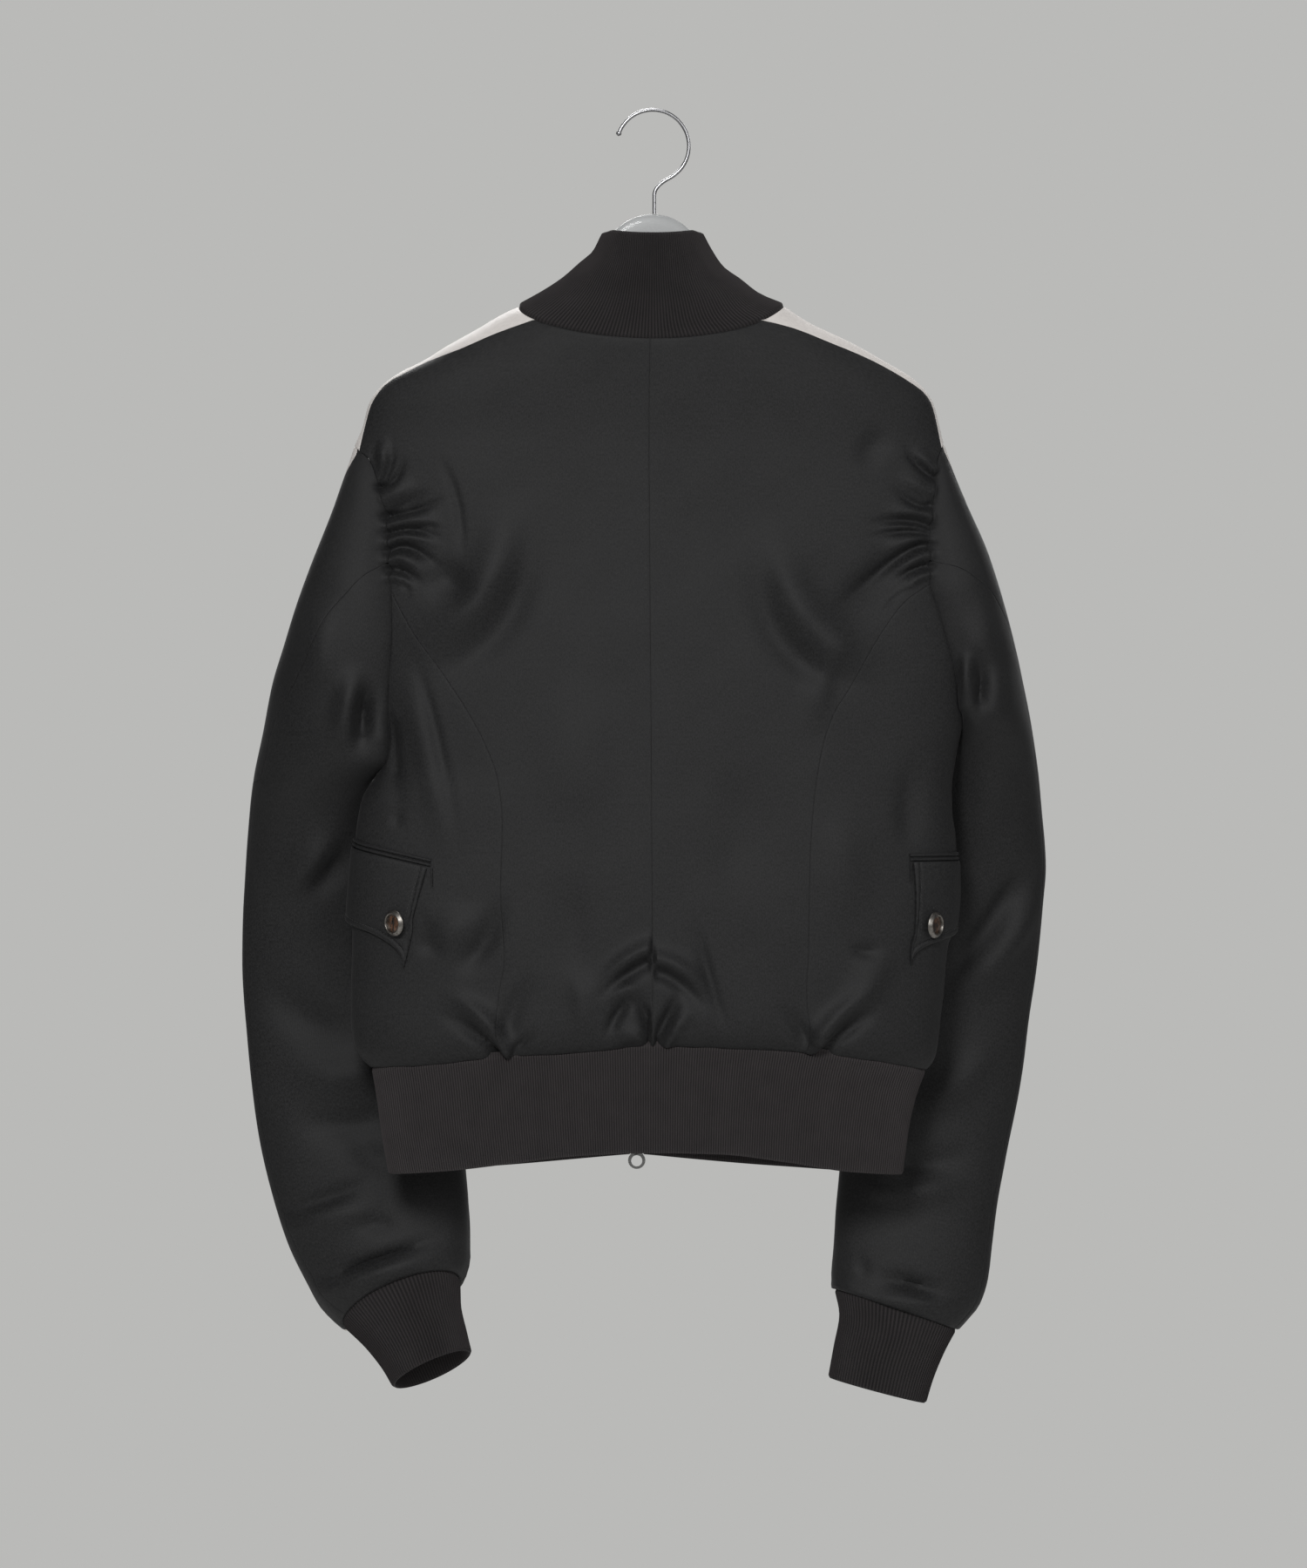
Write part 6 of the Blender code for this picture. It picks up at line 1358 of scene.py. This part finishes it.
def ribbed(name, band, point, normal, node, look, closed=False):
    # ridge height is a rounded cosine round the band, fading into a rolled free edge
    ribs, atFree, atSeam = band["ribs"], rib["free"], rib["sewn"]
    step = unit(point[0] - point[1])
    point = np.concatenate([(point[0] + step * rib["tuck"])[None], point])
    normal = np.concatenate([normal[:1], normal])
    cols = point.shape[1]
    count = cols if closed else cols - 1
    phase = np.arange(cols) * ribs / count
    ridge = rib["ridge"] * (0.5 - 0.5 * np.cos(fullTurn * phase)) ** 0.8
    gaps = edgeGaps(point)
    gaps["top"] = gaps["top"] - rib["tuck"]
    free = np.exp(-(gaps["bottom"] / atFree["reach"]) ** 2)
    sewn = np.exp(-(np.maximum(gaps["top"], 0) / atSeam["reach"]) ** 2)
    height = ridge[None, :] * (1 - atFree["flat"] * free - atSeam["flat"] * sewn)
    height = height - atSeam["in"] * sewn - atFree["in"] * free
    height = height + band["proud"] * (1 - 1.6 * sewn)
    height[0] = -rib["sink"]
    run, (high, length) = phase * band["width"] / ribs, rib["wave"]
    height = height + high * ripples(run[None, :], gaps["top"], length, 1.9) * (1 - sewn)
    outer = point + normal * height[..., None]
    inner = point - normal * (rib["wall"] * (1 - atFree["thin"] * free))[..., None]
    uv = np.stack(np.broadcast_arrays(phase[None, :] * ribKnit["ridge"], gaps["top"]), -1)
    piece = addPiece(name, wallMesh(name, outer, inner, uv, closed), look, node)
    if closed:
        point = np.concatenate([point, point[:, :1]], axis=1)
    declareCloth(piece, point)


def bandParts(band):
    # parts down a band, with closer rows at its seam and at its free edge
    near = np.array(rib["near"]) / band["height"]
    even = np.linspace(near[-1], 1 - near[-1], band["rows"] + 1)[1:-1]
    return np.concatenate([[0.0], near, even, 1 - near[::-1], [1.0]])[:, None]


def evenGirths(surface, ends, band):
    # girths whose places half way down the band are evenly spaced
    tries = np.linspace(*ends, 2001)
    run = runAlong(surface(tries, 0.5))
    return np.interp(np.linspace(0, run[-1], band["ribs"] * rib["perRib"] + 1), run, tries)


def addCollar():
    # round the neck from one side of the zip to the other
    band, ends = rib["collar"], [side * frontCorner(side)[0] for side in sides]
    girth = evenGirths(collarBase, ends, band)
    point = collarBase(girth[None, :], bandParts(band))
    point[:, 0, 0], point[:, -1, 0] = -closing, closing
    normal = gridNormals(point, point * np.array([1.0, 1.0, 0.0]))
    # the collar takes the darker copy of the rib, with painted shade in its colour
    ribbed("collar_cloth", band, point, normal, "collar", "ribPaintedShade")


def addHem():
    # round the body from one side of the zip to the other
    band, ends = rib["hem"], []
    for side in sides:
        ratio = closing / hem["side"][side]["side"][-1]
        ends.append(side * (2 - float(girthAt(ratio))))
    girth = evenGirths(hemBase, ends, band)
    point = hemBase(girth[None, :], bandParts(band))
    normal = gridNormals(point, point * np.array([1.0, 3.0, 0.0]))
    ribbed("hem_cloth", band, point, normal, "hem_rib", "rib")


def addCuff(side, word):
    # a closed band, oval like the sleeve and tapering to the wrist
    band = rib["cuff"]
    count = band["ribs"] * rib["perRib"]
    angle = fullTurn * np.arange(count)[None, :] / count
    angle, part = np.broadcast_arrays(angle, bandParts(band))
    point = sectionPoint(cuff[side], part, angle) * np.array([side, 1.0, 1.0])
    normal = gridNormals(point, point - point.mean(axis=1, keepdims=True), closed=True)
    # the cuffs take the darker copy of the rib, with painted shade in its colour
    ribbed("cuff_cloth_" + word, band, point, normal, "cuff_" + word, "ribPaintedShade", True)


addCollar()
addHem()
for side, word in sides.items():
    addCuff(side, word)
print("collar, hem and cuffs are made")

# pockets
flap = {"lift": 1.0, "thickness": 1.7, "frontGirth": 1.17, "arch": 0.42, "band": 4.6,
        "bandHigh": 0.55, "bandSlope": 0.8, "rows": 48, "columns": 76, "crowding": (1.15, 1.25),
        # depth and width of the stitched groove, the rolled edge and the sewn top
        "groove": (0.60, 0.7), "edge": (0.75, 0.75), "sewn": (0.6, 1.2),
        -1: {"top": (167.5, 564.0), "tip": (184.5, 639.0), "topSide": 548.0, "lowSide": 603.0,
             "weltEnd": 165.0},
        1: {"top": (193.5, 560.0), "tip": (191.0, 636.0), "topSide": 559.0, "lowSide": 611.5,
            "weltEnd": 191.0}}
welt = {"height": 2.6, "thickness": 1.3, "lift": 0.5, "foot": 0.3, "gap": 0.7, "above": 0.8,
        "slit": 14.0, "slitWidth": 1.5, "slitAside": {-1: -0.4, 1: 1.5}, "tack": (1.6, -3.2),
        "tackDrop": 0.6, "tackLift": 0.9, "cut": 0.012}
stitchSize = {"pitch": 2.7, "length": 1.9, "radius": 0.24, "ring": 6,
              "profile": [(-1.0, 0.25), (-0.7, 0.8), (0.0, 1.0), (0.7, 0.8), (1.0, 0.25)]}


def bodyPlace(side, atSide, down):
    # the girth of a place seen from behind
    return float(girthAt(atSide / float(bodySide(side, down))))


def flapPlace(side, u, t):
    # u from the slanting end round to the front, t from the top to the scooped lower edge
    shape = flap[side]
    topGirth, tipGirth = bodyPlace(side, *shape["top"]), bodyPlace(side, *shape["tip"])
    girthTop, girthLow = (mix(g, flap["frontGirth"], u) for g in (topGirth, tipGirth))
    downTop = mix(shape["top"][1], shape["topSide"],
                  np.clip((girthTop - topGirth) / (1 - topGirth), 0, 1))
    reach = np.clip((girthLow - tipGirth) / (1 - tipGirth), 0, 1)
    downLow = mix(shape["tip"][1], shape["lowSide"], reach ** flap["arch"])
    return mix(girthTop, girthLow, t) * side, mix(downTop, downLow, t)


def stitches(name, line, facing):
    # beads of thread, thick in the middle, laid head to tail along a line
    run = runAlong(line)
    count = max(1, int(run[-1] / stitchSize["pitch"]))
    at = (np.arange(count) + 0.5) * run[-1] / count
    centre = pointsAt(at, run, line)
    along, up = unit(pointsAt(at + 0.2, run, line) - centre), unit(pointsAt(at, run, facing))
    rows, around = len(stitchSize["profile"]), stitchSize["ring"]
    ring = np.linspace(0, fullTurn, around, endpoint=False)
    place, thick = np.array(stitchSize["profile"]).T[:, :, None, None]
    place, thick = place * stitchSize["length"] / 2, thick * stitchSize["radius"]
    points = (centre[:, None, None] + along[:, None, None] * place
              + np.cross(along, up)[:, None, None] * (np.cos(ring)[None, :, None] * thick)
              + up[:, None, None] * (np.sin(ring)[None, :, None] * thick))
    caps = np.array([[0, 5, 4, 3], [0, 3, 2, 1], [24, 25, 26, 27], [24, 27, 28, 29]])
    one = np.concatenate([ringQuads(rows, around), caps])
    faces = (one[None] + rows * around * np.arange(count)[:, None, None]).reshape(-1, 4)
    addPiece(name, loadMesh(name, points.reshape(-1, 3), faces), "thread")


def addFlap(side, word):
    # the band between the edge and its stitching stands a little proud
    across, upwards = flap["crowding"]
    u, t = np.meshgrid(np.linspace(0, 1, flap["columns"] + 1) ** across,
                       1 - np.linspace(1, 0, flap["rows"] + 1) ** upwards)
    girth, down = flapPlace(side, u, t)
    point, normal = bodyPoints(girth, down)
    gaps = edgeGaps(point)
    gap = np.minimum(gaps["first"], gaps["bottom"])
    inBand = 1 - ease((gap - flap["band"] + flap["bandSlope"]) / flap["bandSlope"])
    height = flap["bandHigh"] * inBand
    for dip, away in (("groove", gap - flap["band"]), ("edge", gap), ("sewn", gaps["top"])):
        deep, wide = flap[dip]
        height = height - deep * np.exp(-(away / wide) ** 2)
    outer = point + normal * (flap["lift"] + flap["thickness"] + height)[..., None]
    inner = point + normal * flap["lift"]
    uv = np.stack([girth * body["girthWidth"], -down], -1)
    name = "pocket_flap_cloth_" + word
    piece = addPiece(name, wallMesh(name, outer, inner, uv), "jersey", "pocket_flap_" + word)
    declareCloth(piece, outer)
    high, wide = gaps["top"][-1].max(), gaps["first"][:, -1].max()
    endT = np.linspace(0.02, 1 - flap["band"] / high * 1.5, 60)
    endU = np.full(60, flap["band"] / wide)
    lowU = np.linspace(flap["band"] / wide, 0.99, 90)
    lowT = 1 - flap["band"] / np.interp(lowU, u[-1], gaps["top"][-1])
    lineU, lineT = np.concatenate([endU, lowU]), np.concatenate([endT, lowT])
    spot, facing = bodyPoints(*flapPlace(side, lineU, lineT))
    lift = flap["lift"] + flap["thickness"] - 0.1
    stitches("flap_stitches_" + word, spot + facing * lift, facing)


def addWelt(side, word):
    # two narrow folded lips above the flap, and one down the short slit at its end
    shape = flap[side]
    endGirth = bodyPlace(side, shape["weltEnd"], shape["top"][1])
    girth = np.linspace(endGirth, flap["frontGirth"], 60)
    reach = np.clip((girth - endGirth) / (1 - endGirth), 0, 1)
    low = mix(shape["top"][1], shape["topSide"], reach) - welt["above"]
    across = np.linspace(0, 1, 9)[:, None]
    lips = []
    for number in range(2):
        base = low - number * (welt["height"] + welt["gap"])
        lips.append((girth[None, :] + 0 * across, base[None, :] - across * welt["height"]))
    slitSide = shape["weltEnd"] + welt["slitAside"][side]
    down = shape["top"][1] + np.linspace(0.5, welt["slit"], 30)[None, :]
    lipGirth = girthAt((slitSide - across * welt["slitWidth"]) / bodySide(side, down))
    lips.append((lipGirth, down + 0 * across))
    roll = np.sin(halfTurn * np.linspace(0, 1, 9))[:, None, None] ** 0.5
    walls, sizes = [], []
    for lipGirth, lipDown in lips:
        point, normal = bodyPoints(lipGirth * side, lipDown)
        outer = point + normal * (welt["lift"] + welt["thickness"] * roll)
        uv = np.stack([lipGirth * body["girthWidth"], -lipDown], -1)
        walls.append(wallParts(outer, point + normal * welt["foot"], uv))
        sizes.append(spans(outer))
    name = "pocket_welt_cloth_" + word
    piece = addPiece(name, joinedWalls(name, walls), "jersey", "pocket_welt_" + word)
    tackSide = slitSide + np.linspace(*welt["tack"], 8)
    tackDown = np.full(8, shape["top"][1] + welt["slit"] + welt["tackDrop"])
    spot, facing = bodyPoints(girthAt(tackSide / bodySide(side, tackDown)) * side, tackDown)
    stitches("bar_tack_" + word, spot + facing * welt["tackLift"], facing)


for side, word in sides.items():
    addFlap(side, word)
    addWelt(side, word)
print("pockets are made")

# buttons
button = {"turn": 27.0, "flapTop": 2.55, "lift": {-1: 3.1, 1: 2.7}, "sides": 64,
          "place": {-1: (190.0, 604.5), 1: (207.0, 606.2)},
          # the buttonhole above it, and the ends of the sewing threads over the face
          "hole": {"start": 10.0, "length": 5.0, "half": 0.7, "lift": 0.05}, "threadLift": 1.75,
          "threads": [((-2.6, -1.1), (2.6, 1.1)), ((2.6, 1.1), (-2.6, -1.1)),
                      ((-2.4, -1.2), (2.4, -1.2)), ((2.4, 1.2), (-2.4, 1.2))],
          # radius and height
          "ring": [(6.7, 0.9), (6.9, 2.6), (7.15, 3.0), (7.5, 3.1), (7.85, 3.0), (8.2, 2.6),
                   (8.9, 2.0), (9.6, 1.3), (9.95, 0.8), (10.0, 0.4), (9.7, 0.05), (0.0, 0.0)],
          "face": [(0.0, 1.5), (2.2, 1.52), (3.6, 1.45), (4.6, 1.3), (5.4, 1.0), (6.0, 0.85),
                   (6.6, 0.95), (6.7, 0.6), (0.0, 0.5)]}


def turned(name, profile, centre, axis, look, node=None):
    # a profile of radius and height carried round an axis
    profile = np.array(profile)
    angle = np.linspace(0, fullTurn, button["sides"], endpoint=False)
    turn = np.array(Vector(axis).to_track_quat("Z", "Y").to_matrix())
    r, h = profile[:, 0, None], profile[:, 1, None]
    points = np.stack([r * np.cos(angle), r * np.sin(angle), h + 0 * angle], -1) @ turn.T
    mesh = loadMesh(name, points.reshape(-1, 3) + np.array(centre), ringQuads(*points.shape[:2]))

    def close(work):
        bmesh.ops.remove_doubles(work, verts=work.verts, dist=0.00001)
        bmesh.ops.holes_fill(work, edges=[e for e in work.edges if e.is_boundary])
        turnOutwards(work)

    remade(mesh, close)
    mesh.set_sharp_from_angle(angle=math.radians(50))
    addPiece(name, mesh, look, node)


def addButton(side, word):
    # a ring with a domed face in it, tipped outwards on its shank, and its buttonhole
    atSide, down = button["place"][side]
    girth = np.array([bodyPlace(side, atSide, down) * side])
    point, normal = bodyPoints(girth, np.array([down]))
    axis = Vector(normal[0])
    axis.rotate(Matrix.Rotation(math.radians(button["turn"]) * side, 4, "Z"))
    centre = point[0] + normal[0] * (button["flapTop"] + button["lift"][side])
    axis = np.array(axis)
    turned("button_ring_" + word, button["ring"], centre, axis, "silver", "button_" + word)
    turned("button_face_" + word, button["face"], centre, axis, "horn")
    upright = unit(np.array([0.0, 0.0, 1.0]) - axis * axis[2])
    level = np.cross(axis, upright)
    top = centre + axis * button["threadLift"]
    for number, ends in enumerate(button["threads"]):
        a, b = (top + upright * high + level * over for high, over in ends)
        line = mix(a, b, np.linspace(0, 1, 5)[:, None])
        stitches(f"button_thread_{word}_{number}", line, np.repeat(axis[None], 5, axis=0))
    hole = button["hole"]
    holeDown = down - hole["start"] - np.linspace(0, hole["length"], 9)
    spot, facing = bodyPoints(girthAt(atSide / bodySide(side, holeDown)) * side, holeDown)
    spot = spot + facing * (button["flapTop"] + hole["lift"])
    for number, offset in enumerate((-hole["half"], hole["half"])):
        aside = np.array([offset, 0.0, 0.0])
        stitches(f"buttonhole_{word}_{number}", spot + aside, facing)


for side, word in sides.items():
    addButton(side, word)
print("buttons are made")

# zip: woven tape, interlocked teeth, two sliders with hinged pulls
zipper = {"lift": 0.3, "sunk": 0.9, "thickness": 2.0, "pitch": 2.6,
          "teethTop": 99.0, "teethEnd": 774.0, "toothHigh": 1.25, "toothThick": 1.15,
          "toothAcross": (-0.9, 2.4), "toothSunk": 0.1, "soften": 0.0002, "pullSoften": 0.00018,
          # height, place and width of the tape's bead, and of the slit between the tapes
          "bead": (0.45, 1.1, 0.5), "slit": (-0.5, 0.0, 0.5), "flat": 2.0, "sharp": 40.0}


def zipLine():
    # down the centre front: collar, body and hem, with the way out from the cloth
    collarPart = np.linspace(1, 0, 30)
    bodyDown = np.linspace(float(neckDown(2.0)), float(hemDown(2.0)), 160)[1:-1]
    line = np.concatenate([
        collarBase(np.full(30, 2.0), collarPart), bodyBase(np.full(len(bodyDown), 2.0), bodyDown),
        hemBase(np.full(24, 2.0), np.linspace(0, 1, 24))])
    along = unit(np.gradient(line, axis=0))
    normal = unit(np.cross(along, np.array([1.0, 0.0, 0.0])))
    return line, normal * np.sign(normal[:, 1:2])


def addTapes():
    # two woven tapes, with a bead along each and a slit between them
    line, normal = zipLine()
    half = body["zipHalf"] - body["seamGap"] / 2
    across = np.linspace(-half, half, 17)
    height = np.full(17, zipper["lift"] - zipper["sunk"])
    for high, place, wide in (zipper["bead"], zipper["slit"]):
        height = height + high * np.exp(-((np.abs(across) - place) / wide) ** 2)
    point = line[:, None] + across[None, :, None] * np.array([1.0, 0.0, 0.0])
    facing = np.repeat(normal[:, None], len(across), axis=1)
    inner = point + facing * (zipper["lift"] - zipper["thickness"])
    uv = np.stack(np.broadcast_arrays(across[None, :], runAlong(line)[:, None]), -1)
    mesh = wallMesh("zip_tapes", point + facing * height[None, :, None], inner, uv)
    addPiece("zip_tapes", mesh, "tape", "zip")


def addTeeth():
    # boxes from the left and the right in turn, each half a pitch below the last
    line, normal = zipLine()
    sideways = np.array([1.0, 0.0, 0.0])
    level = np.arange(zipper["teethTop"], zipper["teethEnd"], zipper["pitch"] / 2)
    centre, up = (pointsAt(level, -line[:, 2], rows) for rows in (line, normal))
    up = unit(up)
    way = np.where(np.arange(len(level)) % 2 == 0, 1.0, -1.0)
    high, thick = zipper["toothHigh"] / 2, zipper["toothThick"] / 2
    box = np.array([(x, y, z) for x in zipper["toothAcross"] for y in (-high, high)
                    for z in (-thick, thick)])
    points = (centre[:, None] + box[None, :, 0:1] * way[:, None, None] * sideways
              + np.cross(up, sideways)[:, None] * box[None, :, 1:2]
              + up[:, None] * (box[None, :, 2:3] - zipper["toothSunk"]))
    one = np.array([[0, 1, 3, 2], [4, 6, 7, 5], [0, 4, 5, 1], [2, 3, 7, 6], [0, 2, 6, 4],
                    [1, 5, 7, 3]])
    faces = one[None] + 8 * np.arange(len(level))[:, None, None]
    faces[way < 0] = faces[way < 0][..., ::-1]
    mesh = loadMesh("zip_teeth", points.reshape(-1, 3), faces.reshape(-1, 4))
    piece = addPiece("zip_teeth", mesh, "nickel")
    mesh.shade_flat()
    soften = piece.modifiers.new("soften", "BEVEL")
    soften.width = zipper["soften"]
    soften.segments = 1


def addSoftened(node, rides, width):
    # a merged copy of a hard solid, with its edges rounded
    mesh = bpy.data.objects[node].data.copy()
    mesh.materials.clear()

    def merge(work):
        bmesh.ops.remove_doubles(work, verts=work.verts, dist=0.000001)
        bmesh.ops.dissolve_limit(work, angle_limit=math.radians(zipper["flat"]),
                                 verts=work.verts, edges=work.edges)

    remade(mesh, merge)
    piece = addPiece(node + "_metal", mesh, "nickel", node, rides)
    soften = piece.modifiers.new("soften", "BEVEL")
    soften.width = width
    soften.segments = 2
    soften.limit_method = "ANGLE"
    soften.angle_limit = math.radians(zipper["sharp"])
    mesh.shade_smooth()
    mesh.set_sharp_from_angle(angle=math.radians(zipper["sharp"]))


addTapes()
addTeeth()
for word in ("upper", "lower"):
    addSoftened("slider_" + word, "jacket", zipper["soften"])
    addSoftened("pull_" + word, word + "_tab", zipper["pullSoften"])
print("the zip is made")

# hanger
hanger = {
    "half": 5.0, "clear": 1.1, "cloth": 1.5, "domeDown": 76.5, "domeRadius": 38.0, "ring": 28,
    "squareness": 0.42, "tail": 7.0, "blunt": 0.04,
    "top": table("side down", [(34.0, 98.0), (44.0, 113.0), (54.0, 123.5), (65.0, 132.0),
                               (83.0, 143.0), (96.0, 147.8)]),
    "end": {-1: 196.0, 1: 192.0},
    "bottom": table("side down", [
        (0.0, 128.0), (30.0, 131.0), (65.0, 156.0), (100.0, 177.0), (132.0, 192.0),
        (156.0, 204.0), (180.0, 214.0), (200.0, 217.0)]),
}
hook = {"radius": 27.0, "centreDown": 25.6, "wire": 1.4, "stemSide": 1.2, "tip": 164.0,
        "turn": -62.0, "bend": (9.6, 3.4), "stemStart": 2.0, "ball": 2.1, "sides": 20}


def hangerTop(side, atSide):
    # a dome under the hook, the neck's slope, then just under the shoulder's cloth
    ridge = stripeNet(side)[:, fineness["stripeColumns"] // 2]
    point = bodyBase(ridge[:, 0], ridge[:, 1])
    shoulder = np.interp(atSide, np.abs(point[:, 0]), -point[:, 2])
    slope = np.gradient(shoulder, atSide)
    shoulder = shoulder + (hanger["cloth"] + hanger["clear"]) * np.hypot(1, slope)
    dome = hanger["domeDown"] + hanger["domeRadius"] - np.sqrt(
        np.maximum(hanger["domeRadius"] ** 2 - atSide ** 2, 0))
    first, last = hanger["top"]["side"][0], hanger["top"]["side"][-1]
    collar = read(hanger["top"], "down", atSide)
    return np.where(atSide < first, dome, np.where(atSide < last, collar, shoulder))


def addHanger():
    # rounded sections, each a superellipse between the top and bottom edges
    lines = []
    for side in sides:
        atSide = np.linspace(0.0, hanger["end"][side], 120)
        top, low = hangerTop(side, atSide), read(hanger["bottom"], "down", atSide)
        tail = np.clip((atSide - hanger["end"][side]) / hanger["tail"] + 1, 0, 1)
        close = np.sqrt(np.maximum(1 - tail ** 2, hanger["blunt"]))
        middle = (top + low) / 2
        half = (low - top) / 2 * close
        rows = np.stack([side * atSide, middle, half, hanger["half"] * close], -1)
        lines.append(rows[::-1] if side < 0 else rows[1:])
    rows = np.concatenate(lines)
    angle = np.linspace(0, fullTurn, hanger["ring"], endpoint=False)
    y, z = (np.sign(wave) * np.abs(wave) ** hanger["squareness"]
            for wave in (np.sin(angle), np.cos(angle)))
    points = np.stack([rows[:, 0:1] + 0 * angle, rows[:, 3:4] * y,
                       -rows[:, 1:2] + z * rows[:, 2:3]], -1)
    addTube("hanger_plastic", points, "plastic", "hanger_body")


def addTube(name, rings, look, node):
    # rings of points joined one to the next, with flat ends
    count, around = rings.shape[:2]
    ends = [list(range(around)), list(range(count * around - 1, (count - 1) * around - 1, -1))]
    mesh = bpy.data.meshes.new(name)
    mesh.from_pydata((rings.reshape(-1, 3) * mm).tolist(), [],
                     ringQuads(count, around).tolist() + ends)
    remade(mesh, turnOutwards)
    mesh.shade_smooth()
    mesh.set_sharp_from_angle(angle=math.radians(60))
    addPiece(name, mesh, look, node)


def addHook():
    # the wire: a small ball, three quarters of a turn, a bend and a stem
    radius, centre = hook["radius"], hook["centreDown"]
    angle = np.radians(np.linspace(hook["tip"], hook["turn"], 90))
    x, z = radius * np.cos(angle), radius * np.sin(angle) - centre
    t = np.linspace(0.04, 1, 16)
    x = np.concatenate([x, mix(x[-1], hook["stemSide"], np.sin(t * halfTurn / 2))])
    z = np.concatenate([z, z[-1] - hook["bend"][0] * t - hook["bend"][1] * t * t])
    stemEnd = -hanger["domeDown"] + body["seamGap"]
    x = np.concatenate([x, [hook["stemSide"]] * 4])
    z = np.concatenate([z, np.linspace(z[-1] - hook["stemStart"], stemEnd, 4)])
    line = np.stack([x, 0 * x, z], -1)
    along = unit(np.gradient(line, axis=0))
    flat = np.array([0.0, 1.0, 0.0])
    across = np.cross(along, flat)
    run, ball = runAlong(line), hook["ball"]
    swell = np.sqrt(np.maximum(ball ** 2 - (run - ball) ** 2, 0.01))
    size = np.where(run < ball, swell, np.maximum(swell, hook["wire"]))
    ring = np.linspace(0, fullTurn, hook["sides"], endpoint=False)
    points = (line[:, None] + across[:, None] * (np.cos(ring)[None, :, None] * size[:, None, None])
              + flat * (np.sin(ring)[None, :, None] * size[:, None, None]))
    addTube("hook_wire", points, "chrome", "hanger_hook")


addHanger()
addHook()
print("the hanger is made")
